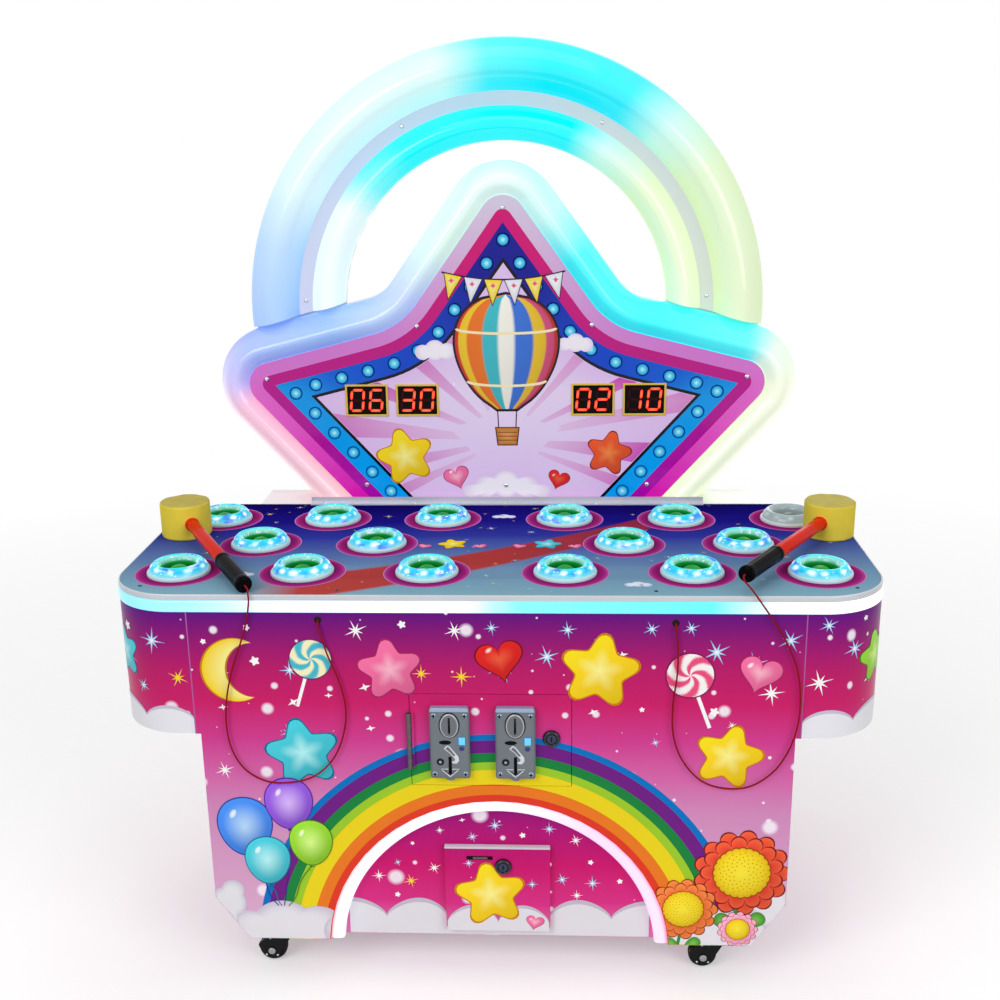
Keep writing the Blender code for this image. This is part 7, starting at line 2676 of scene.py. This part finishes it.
# Lift and outline in mm of each mark on an acceptor, from the middle of its foot
ACCEPTOR_MARKS = {
    "lever": (0.7, [(-4.8, 61.6), (-9.9, 55.7), (-0.8, 48.2), (8.7, 36.6), (7.2, 33.0), (2.7, 31.8),
                    (4.8, 28.6), (11.1, 28.6), (15.1, 33.9), (14.3, 41.0), (8.7, 48.2), (0.0, 59.8)]),
    "lever_face": (1.1, [(-3.6, 59.4), (-7.2, 55.8), (0.4, 49.0), (6.2, 42.4), (9.2, 44.0), (4.4, 50.4),
                         (-0.4, 57.2)]),
    "bracket_a": (2.6, [(-14.4, 17.2), (0.0, 4.3), (0.0, 6.4), (-12.2, 17.2)]),
    "bracket_b": (2.6, [(14.4, 17.2), (12.2, 17.2), (0.0, 6.4), (0.0, 4.3)]),
    "bracket_c": (0.8, [(-15.4, 18.8), (-15.4, 17.6), (-3.2, 17.6), (-3.2, 18.8)]),
    "bracket_d": (0.8, [(3.2, 18.8), (3.2, 17.6), (15.4, 17.6), (15.4, 18.8)])}
MARK_BLUE = Finish("mark_blue", rgb(24, 52, 120), roughness=0.4)
# Name, place, half size, lift and finish of each oval on an acceptor
ACCEPTOR_OVALS = (
    ("oval", (-0.0075, 0.0668), (0.0100, 0.0036), 0.0007, SHADE_AND_BLACK),
    ("dial", (-0.0162, 0.0313), (0.0062, 0.0062), 0.0007, BLACK_MATT),
    ("mark", (0.0200, 0.0558), (0.0044, 0.0040), 0.0007, MARK_BLUE),
    ("dial_hub", (-0.0162, 0.0313), (0.0024, 0.0024), 0.0011, DIECAST_LIT_EDGE))
LOCK_DARK = Finish("lock_dark", rgb(52, 58, 84), roughness=0.22, metallic=0.6, wave=0.04, smear=0.15)
STEEL_DARK = Finish("steel_dark", rgb(96, 92, 94), roughness=0.42, metallic=0.8, wave=0.1, smear=0.3)


@dataclass
class Mallet:
    """Foam mallet laid on the deck, with the cord that tethers it."""

    side: int
    route: tuple[tuple[float, float, float], ...]
    x: float
    turn: float
    y: float = 0.318
    radius: float = 0.0452
    height: float = 0.0655
    reach: float = 0.3635
    rod: float = 0.0115
    grip: float = 0.0142
    grip_length: float = 0.125
    cord_width: float = 0.003

    @property
    def name(self) -> str:
        """Left or right."""
        return hand(self.side)

    @property
    def body(self) -> str:
        """The CAD body that it rides on."""
        return f"mallet_{self.name}"

    def frame(self) -> tuple[Array, Array]:
        """Centre of the head and the handle's direction."""
        centre = np.array((self.side * self.x, FRONT_Y + self.y, DECK_Z + HAIR + self.height / 2))
        turn = math.radians(self.turn)
        droop = math.asin((self.height / 2 - self.grip) / self.reach) if self.side < 0 else 0.0
        flat = np.array((-self.side * math.cos(turn), -math.sin(turn), 0.0)) * math.cos(droop)
        return centre, flat - np.array((0, 0, math.sin(droop)))

    def build_head(self) -> None:
        """Foam roll: radius = r (1 + small sines of angle and height), top slightly crowned."""
        centre, _ = self.frame()
        r, h = self.radius, self.height / 2
        profile = rounded_profile([(0.004, -h, 0), (r, -h, 0.0045), (r, h, 0.0055), (0.004, h - 0.0012, 0)],
                                  9)
        wall = np.stack([np.full(12, r), np.linspace(-h + 0.006, h - 0.007, 12)], axis=1)
        crown = np.stack([np.linspace(0.9, 0.1, 9) * r * 0.9, np.full(9, h - 0.0006)], axis=1)
        profile = np.concatenate([profile[:10], wall, profile[10:-1], crown])
        a, z = (np.arange(96) / 96 * math.tau)[None, :], profile[:, 1, None]
        bumps = (1 + 0.006 * np.sin(3 * a + 1.3 * self.side) + 0.004 * np.sin(7 * a + 60 * z)
                 + 0.003 * np.sin(13 * a - 90 * z))
        reach = np.minimum(profile[:, 0, None] * bumps, r + 0.0006)
        sag = 0.0009 * np.cos(5 * a + 2 * self.side) * (z > 0.5 * h) * (reach / r)
        shell = Shell()
        rows = shell.grid(np.stack([centre[0] + reach * np.cos(a), centre[1] + reach * np.sin(a),
                                    centre[2] + z + np.minimum(sag, 0)], axis=-1), wrap=(False, True))
        shell.pole(centre + (0, 0, -h), rows[0])
        shell.pole(centre + (0, 0, h - 0.0006), rows[-1])
        head = shell.build(f"foam_head_{self.name}", FOAM_YELLOW, self.body, 70.0)
        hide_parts(f"mallet_head_{self.name}")

    def build_handle(self) -> None:
        """Red rod, ribbed rubber grip with a rounded end, and the collar at the head."""
        centre, axis = self.frame()
        start = self.reach - self.grip_length
        rod = rounded_profile([(0.0, -0.018, 0), (self.rod, -0.018, 0.001), (self.rod, start + 0.004, 0.0005),
                               (0.0, start + 0.004, 0)], 4)
        shell = Shell()
        turned(shell, rod[1:-1], centre, axis, 36, poles=((0, rod[0, 1]), (-1, rod[-1, 1])))
        piece = shell.build(f"rod_{self.name}", HANDLE_RED, self.body, 45.0)
        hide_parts(f"mallet_handle_{self.name}")
        along = np.linspace(start + 0.012, self.reach - 0.016, 60)
        ribs = self.grip - 0.0005 - 0.0004 * (np.sin((along - start) * math.tau / 0.0052) > 0.55)
        lip = rounded_profile([(self.rod, start, 0), (self.grip - 0.0002, start, 0.0015),
                               (self.grip, start + 0.010, 0)], 4)
        tail = rounded_profile([(self.grip, self.reach - 0.012, 0), (self.grip, self.reach, 0.0085),
                                (0.002, self.reach, 0)], 8)
        shell = Shell()
        turned(shell, np.concatenate([lip, np.stack([ribs, along], axis=1), tail]), centre, axis, 40,
               poles=((-1, self.reach),))
        shell.build(f"grip_{self.name}", GRIP_RUBBER, self.body)
        collar = rounded_profile([(self.rod + 0.0002, self.radius - 0.004, 0),
                                  (self.rod + 0.0018, self.radius - 0.003, 0.001),
                                  (self.rod + 0.0012, self.radius + 0.006, 0.001),
                                  (self.rod, self.radius + 0.007, 0)], 4)
        shell = Shell()
        turned(shell, collar, centre, axis, 36)
        shell.build(f"rod_collar_{self.name}", HANDLE_RED, self.body, 60.0)

    def cord_points(self) -> Array:
        """Catmull-Rom curve through the cord's route, eight points to a step."""
        centre, axis = self.frame()
        lead = [centre + axis * (self.reach + ahead) for ahead in (HAIR, 0.005)]
        route = np.array(lead + [np.array((x, FRONT_Y + y, z)) for x, y, z in self.route])
        ends = np.concatenate([[2 * route[0] - route[1]], route, [2 * route[-1] - route[-2]]])
        t = (np.arange(8) / 8)[:, None]
        parts = [0.5 * (2 * b + (c - a) * t + (2 * a - 5 * b + 4 * c - d) * t ** 2
                        + (3 * b - a - 3 * c + d) * t ** 3)
                 for a, b, c, d in zip(ends, ends[1:], ends[2:], ends[3:])]
        return np.concatenate([*parts, route[-1:]])

    def build_cord(self) -> None:
        """Tube along the route, from the panel's hole up to the grip."""
        path = self.cord_points()
        mesh = curve_mesh("cord_path", [path], False, dimensions="3D", bevel_depth=self.cord_width / 2,
                          bevel_resolution=3, use_fill_caps=True)
        clean(mesh)
        mesh.materials.append(CORD_RED.material())
        mesh.shade_smooth()
        cord = add_object(f"tether_{self.name}", mesh)
        self.body
        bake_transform(cord)
        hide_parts(f"tether_cord_{self.name}")

    def build_grommet(self) -> None:
        """Small rubber ring round the cord's hole."""
        x, _, z = self.route[-1]
        profile = rounded_profile([(0.0022, -0.0010, 0), (0.0024, 0.0010, 0.0008), (0.0060, 0.0008, 0.0009),
                                   (0.0064, -0.0002, 0)], 5)
        shell = Shell()
        turned(shell, profile, (x, FRONT_Y, z), FRONT_SIDE, 32)
        shell.build(f"grommet_{self.name}", BLACK_MATT, "cabinet", 60.0)

    def build(self) -> None:
        """Build the mallet."""
        self.build_head()
        self.build_handle()
        self.build_grommet()
        LOG.info("mallet %s built", self.name)


# Course of each cord from the grip to its hole: x, distance from the front panel, z
LEFT_ROUTE = (
    (-0.3948, -0.0016, 0.7322), (-0.3937, -0.0048, 0.7262), (-0.3933, -0.0065, 0.7110),
    (-0.3990, -0.0065, 0.6800), (-0.4110, -0.0065, 0.6420), (-0.4270, -0.0065, 0.5990),
    (-0.4405, -0.0065, 0.5480), (-0.4458, -0.0065, 0.4960), (-0.4395, -0.0065, 0.4480),
    (-0.4190, -0.0065, 0.4110), (-0.3840, -0.0065, 0.3900), (-0.3430, -0.0065, 0.3885),
    (-0.3030, -0.0065, 0.4010), (-0.2700, -0.0065, 0.4330), (-0.2510, -0.0065, 0.4770),
    (-0.2448, -0.0065, 0.5240),
    (-0.2530, -0.0065, 0.5720), (-0.2700, -0.0065, 0.6200), (-0.2820, -0.0060, 0.6640),
    (-0.2840, 0.0000, 0.6785), (-0.2840, 0.0120, 0.6790))
RIGHT_ROUTE = (
    (0.3975, 0.0020, 0.7505), (0.4000, -0.0022, 0.7460), (0.4100, -0.0060, 0.7350), (0.4270, -0.0065, 0.7110),
    (0.4500, -0.0065, 0.6770), (0.4720, -0.0065, 0.6380), (0.4880, -0.0065, 0.5960),
    (0.4950, -0.0065, 0.5480), (0.4925, -0.0065, 0.4980), (0.4795, -0.0065, 0.4530),
    (0.4560, -0.0065, 0.4150), (0.4190, -0.0065, 0.3890), (0.3760, -0.0065, 0.3860),
    (0.3380, -0.0065, 0.4010), (0.3080, -0.0065, 0.4370), (0.2925, -0.0065, 0.4820),
    (0.2908, -0.0065, 0.5350), (0.2960, -0.0065, 0.5853), (0.2968, -0.0065, 0.6330),
    (0.2930, -0.0060, 0.6650),
    (0.2925, 0.0000, 0.6755), (0.2925, 0.0120, 0.6760))


@dataclass
class Caster:
    """Swivel caster: hooded fork, wheel with a tyre and its axle."""

    where: str
    x: float
    y: float
    trail: float = 0.025
    radius: float = 0.025
    width: float = 0.020
    bore: float = 0.0045
    hood_width: float = 0.033

    @property
    def axle(self) -> tuple[float, float, float]:
        """Centre of the wheel."""
        return self.x - self.trail, self.y, self.radius

    def build_wheel(self) -> None:
        """Tyre and hub: one turned section with a groove in each flank."""
        half = self.width / 2
        flank = [(self.bore, -half, 0), (0.016, -half, 0.001), (0.0165, -half + 0.0016, 0.0006),
                 (0.0185, -half + 0.0016, 0.0006), (0.019, -half, 0.0006),
                 (self.radius - 0.003, -half, 0.001), (self.radius, -half + 0.004, 0.003)]
        section = rounded_profile(flank + [(radius, -y, bend) for radius, y, bend in flank[::-1]], 4)
        shell = Shell()
        turned(shell, np.concatenate([section, section[:1]]), self.axle, REAR_SIDE, 56)
        wheel = shell.build(f"wheel_{self.where}_tyre", RUBBER, f"wheel_{self.where}")
        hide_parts(f"caster_wheel_{self.where}")

    def build_fork(self) -> None:
        """Rivets and axle ends of the fork, and the ring that it swivels in."""
        body, (x, y, z) = f"caster_{self.where}", self.axle
        for sign, end in ((-1, "front"), (1, "rear")):
            rivets = Fastener(0.0020)
            for dx, height in ((-0.0105, 0.0160), (0.0095, 0.0155), (-0.0020, 0.0500), (0.0110, 0.0520)):
                rivets.add((x + dx, y + sign * (self.hood_width / 2 + 0.0002), height), (0, sign, 0))
            rivets.build(f"fork_rivets_{self.where}_{end}", body)
        cap = rounded_profile([(0.0066, 0.0, 0), (0.0064, 0.0026, 0.0014), (0.0, 0.0032, 0)], 6)[:-1]
        caps = Shell()
        for sign in (-1, 1):
            turned(caps, cap, (x, y + sign * (self.hood_width / 2 + 0.0008), z), (0, sign, 0), 28,
                   poles=((-1, 0.0032), (0, 0.0)))
        caps.build(f"axle_caps_{self.where}", STEEL_PLATE, body, 50.0)
        band = rounded_profile([(0.0172, 0.0, 0), (0.0204, 0.0, 0.0012), (0.0204, 0.0050, 0.0012),
                                (0.0172, 0.0050, 0)], 4)
        ring = Shell()
        turned(ring, np.concatenate([band, band[:1]]), (self.x, y, BASE_Z - 0.0095), UPWARDS, 40)
        ring.build(f"swivel_ring_{self.where}", STEEL_PLATE, body, 45.0)

    def build(self) -> None:
        """Dress the fork and build the wheel, its axle ends, the swivel ring and the bolts."""
        dress(CASTER_BLACK, f"caster_fork_{self.where}")
        self.build_wheel()
        self.build_fork()
        bolts = Fastener(0.0046, STEEL_PLATE)
        for dx in (-0.023, 0.023):
            for dy in (-0.023, 0.023):
                bolts.add((self.x + dx, self.y + dy, BASE_Z - 0.003), DOWNWARDS)
        bolts.build(f"plate_bolts_{self.where}", "cabinet")
        LOG.info("caster %s built", self.where)


CASTER_REACH, CASTER_INSET = 0.385, 0.055  # from the middle, and in from the front and the rear

# Studio

@dataclass
class Studio:
    """Pale floor, soft light and the camera at the photograph's angle."""

    eye: tuple[float, float, float] = (0.1076, -2.1665, 1.4305)
    ahead: tuple[float, float, float] = (-0.04798, 0.95809, -0.28241)
    right: tuple[float, float, float] = (0.99885, 0.04586, -0.01413)
    lens: float = 44.88
    world_light: float = 0.34

    def build_camera(self) -> None:
        """Camera from its eye point and axes."""
        camera = bpy.data.cameras.new("camera")
        camera.lens = self.lens
        camera.sensor_width = 36.0
        camera.clip_end = 100.0
        ahead, right = Vector(self.ahead).normalized(), Vector(self.right).normalized()
        eye = add_object("camera", camera)
        turn = Matrix((right, right.cross(ahead), -ahead)).transposed().to_4x4()
        eye.matrix_world = Matrix.Translation(self.eye) @ turn
        bpy.context.scene.camera = eye

    def build_floor(self) -> None:
        """Wide level floor, near white."""
        shell = Shell()
        span = np.linspace(-6.0, 6.0, 5)
        x, y = np.meshgrid(span, span, indexing="ij")
        shell.grid(np.stack([x, y, np.zeros_like(x)], axis=-1))
        mesh = bpy.data.meshes.new("floor")
        mesh.from_pydata(np.concatenate(shell.points).tolist(), [], shell.faces)
        mesh.materials.append(FLOOR_PALE.material())
        add_object("floor", mesh)

    def build_world(self) -> None:
        """Plain grey light all round; white where the camera or a mirror looks past."""
        world = bpy.data.worlds.new("studio")
        world.use_nodes = True
        nodes = Nodes(world.node_tree)
        back = world.node_tree.nodes["Background"]
        back.inputs["Color"].default_value = (1, 1, 1, 1)
        strength = nodes.math("MULTIPLY_ADD", seen_rays(nodes), 1.0 - self.world_light, self.world_light)
        nodes.link(strength, back.inputs["Strength"])
        bpy.context.scene.world = world

    def build_lamps(self) -> None:
        """Large soft lamps, as name, place, aim, size and power: front left, front right, above, behind."""
        for name, place, aim, size, power in (
                ("key", (-2.2, -3.2, 3.0), (0, 0, 0.8), 2.4, 86.0),
                ("fill", (2.6, -2.8, 2.0), (0, 0, 0.7), 2.4, 56.0),
                ("top", (0.0, -0.4, 3.8), (0, 0, 0.7), 2.2, 14.0),
                ("rear", (0.4, 3.2, 2.6), (0, 0, 0.9), 2.4, 34.0)):
            lamp = bpy.data.lights.new(name, "AREA")
            lamp.shape = "SQUARE"
            lamp.size = size
            lamp.energy = power
            turn = (Vector(aim) - Vector(place)).to_track_quat("-Z", "Y").to_matrix().to_4x4()
            add_object(name, lamp).matrix_world = Matrix.Translation(place) @ turn

    def build(self) -> None:
        """Build the floor and the light round it."""
        self.build_floor()
        self.build_world()
        self.build_lamps()
        bpy.context.scene.view_settings.view_transform = "Standard"
        LOG.info("studio built")


def seen_rays(nodes: Nodes) -> bpy.types.NodeSocket:
    """1 for rays from the camera, a mirror or glass, 0 for light that is gathered."""
    rays = nodes.new("ShaderNodeLightPath")
    bent = nodes.math("ADD", rays.outputs["Is Glossy Ray"], rays.outputs["Is Transmission Ray"])
    return nodes.math("ADD", rays.outputs["Is Camera Ray"], bent, clamp=True)


@dataclass(frozen=True)
class Backdrop(Finish):
    """Floor paint that is seen near white and turns into the white world far out; the shadow stays."""

    near: float = 0.9
    far: float = 3.2
    lift: float = 0.30

    def lay_colour(self, nodes: Nodes, shader: bpy.types.Node) -> None:
        """Paint that fades to black as its glow rises with the distance from the cabinet.

        Args:
            nodes: Tools on the material's tree.
            shader: Its Principled shader.
        """
        reach = nodes.new("ShaderNodeVectorMath", operation="LENGTH")
        nodes.link(nodes.object_point(), reach.inputs[0])
        out = nodes.rise(reach.outputs["Value"], self.near, 1 / (self.far - self.near))
        nodes.link(nodes.mix(out, self.colour, (0.0, 0.0, 0.0)), shader.inputs["Base Color"])
        shader.inputs["Emission Color"].default_value = (1.0, 1.0, 1.0, 1.0)
        glow = nodes.math("MULTIPLY_ADD", out, 1.0 - self.lift, self.lift)
        nodes.link(nodes.math("MULTIPLY", glow, seen_rays(nodes)), shader.inputs["Emission Strength"])


FLOOR_PALE = Backdrop("floor_pale", rgb(236, 236, 236), roughness=0.85, wave=0.0, smear=0.0, specular=0.0)


def main() -> None:
    """Build every sub-assembly in order."""
    studio = Studio()
    studio.build_camera()
    mallets = [Mallet(-1, LEFT_ROUTE, x=0.5858, turn=59.4), Mallet(1, RIGHT_ROUTE, x=0.5945, turn=57.8)]
    for mallet in mallets:
        mallet.build_cord()
    studio.build()
    for part in (Cabinet(), Recess(), CoinDoor(), Playfield(), StarSign(), LightArch(), *mallets):
        part.build()
    for end, y in (("front", FRONT_Y + CASTER_INSET), ("rear", BODY_BACK - CASTER_INSET)):
        for side in (-1, 1):
            Caster(f"{end}_{hand(side)}", side * CASTER_REACH, y).build()


if __name__ == "__main__":
    main()
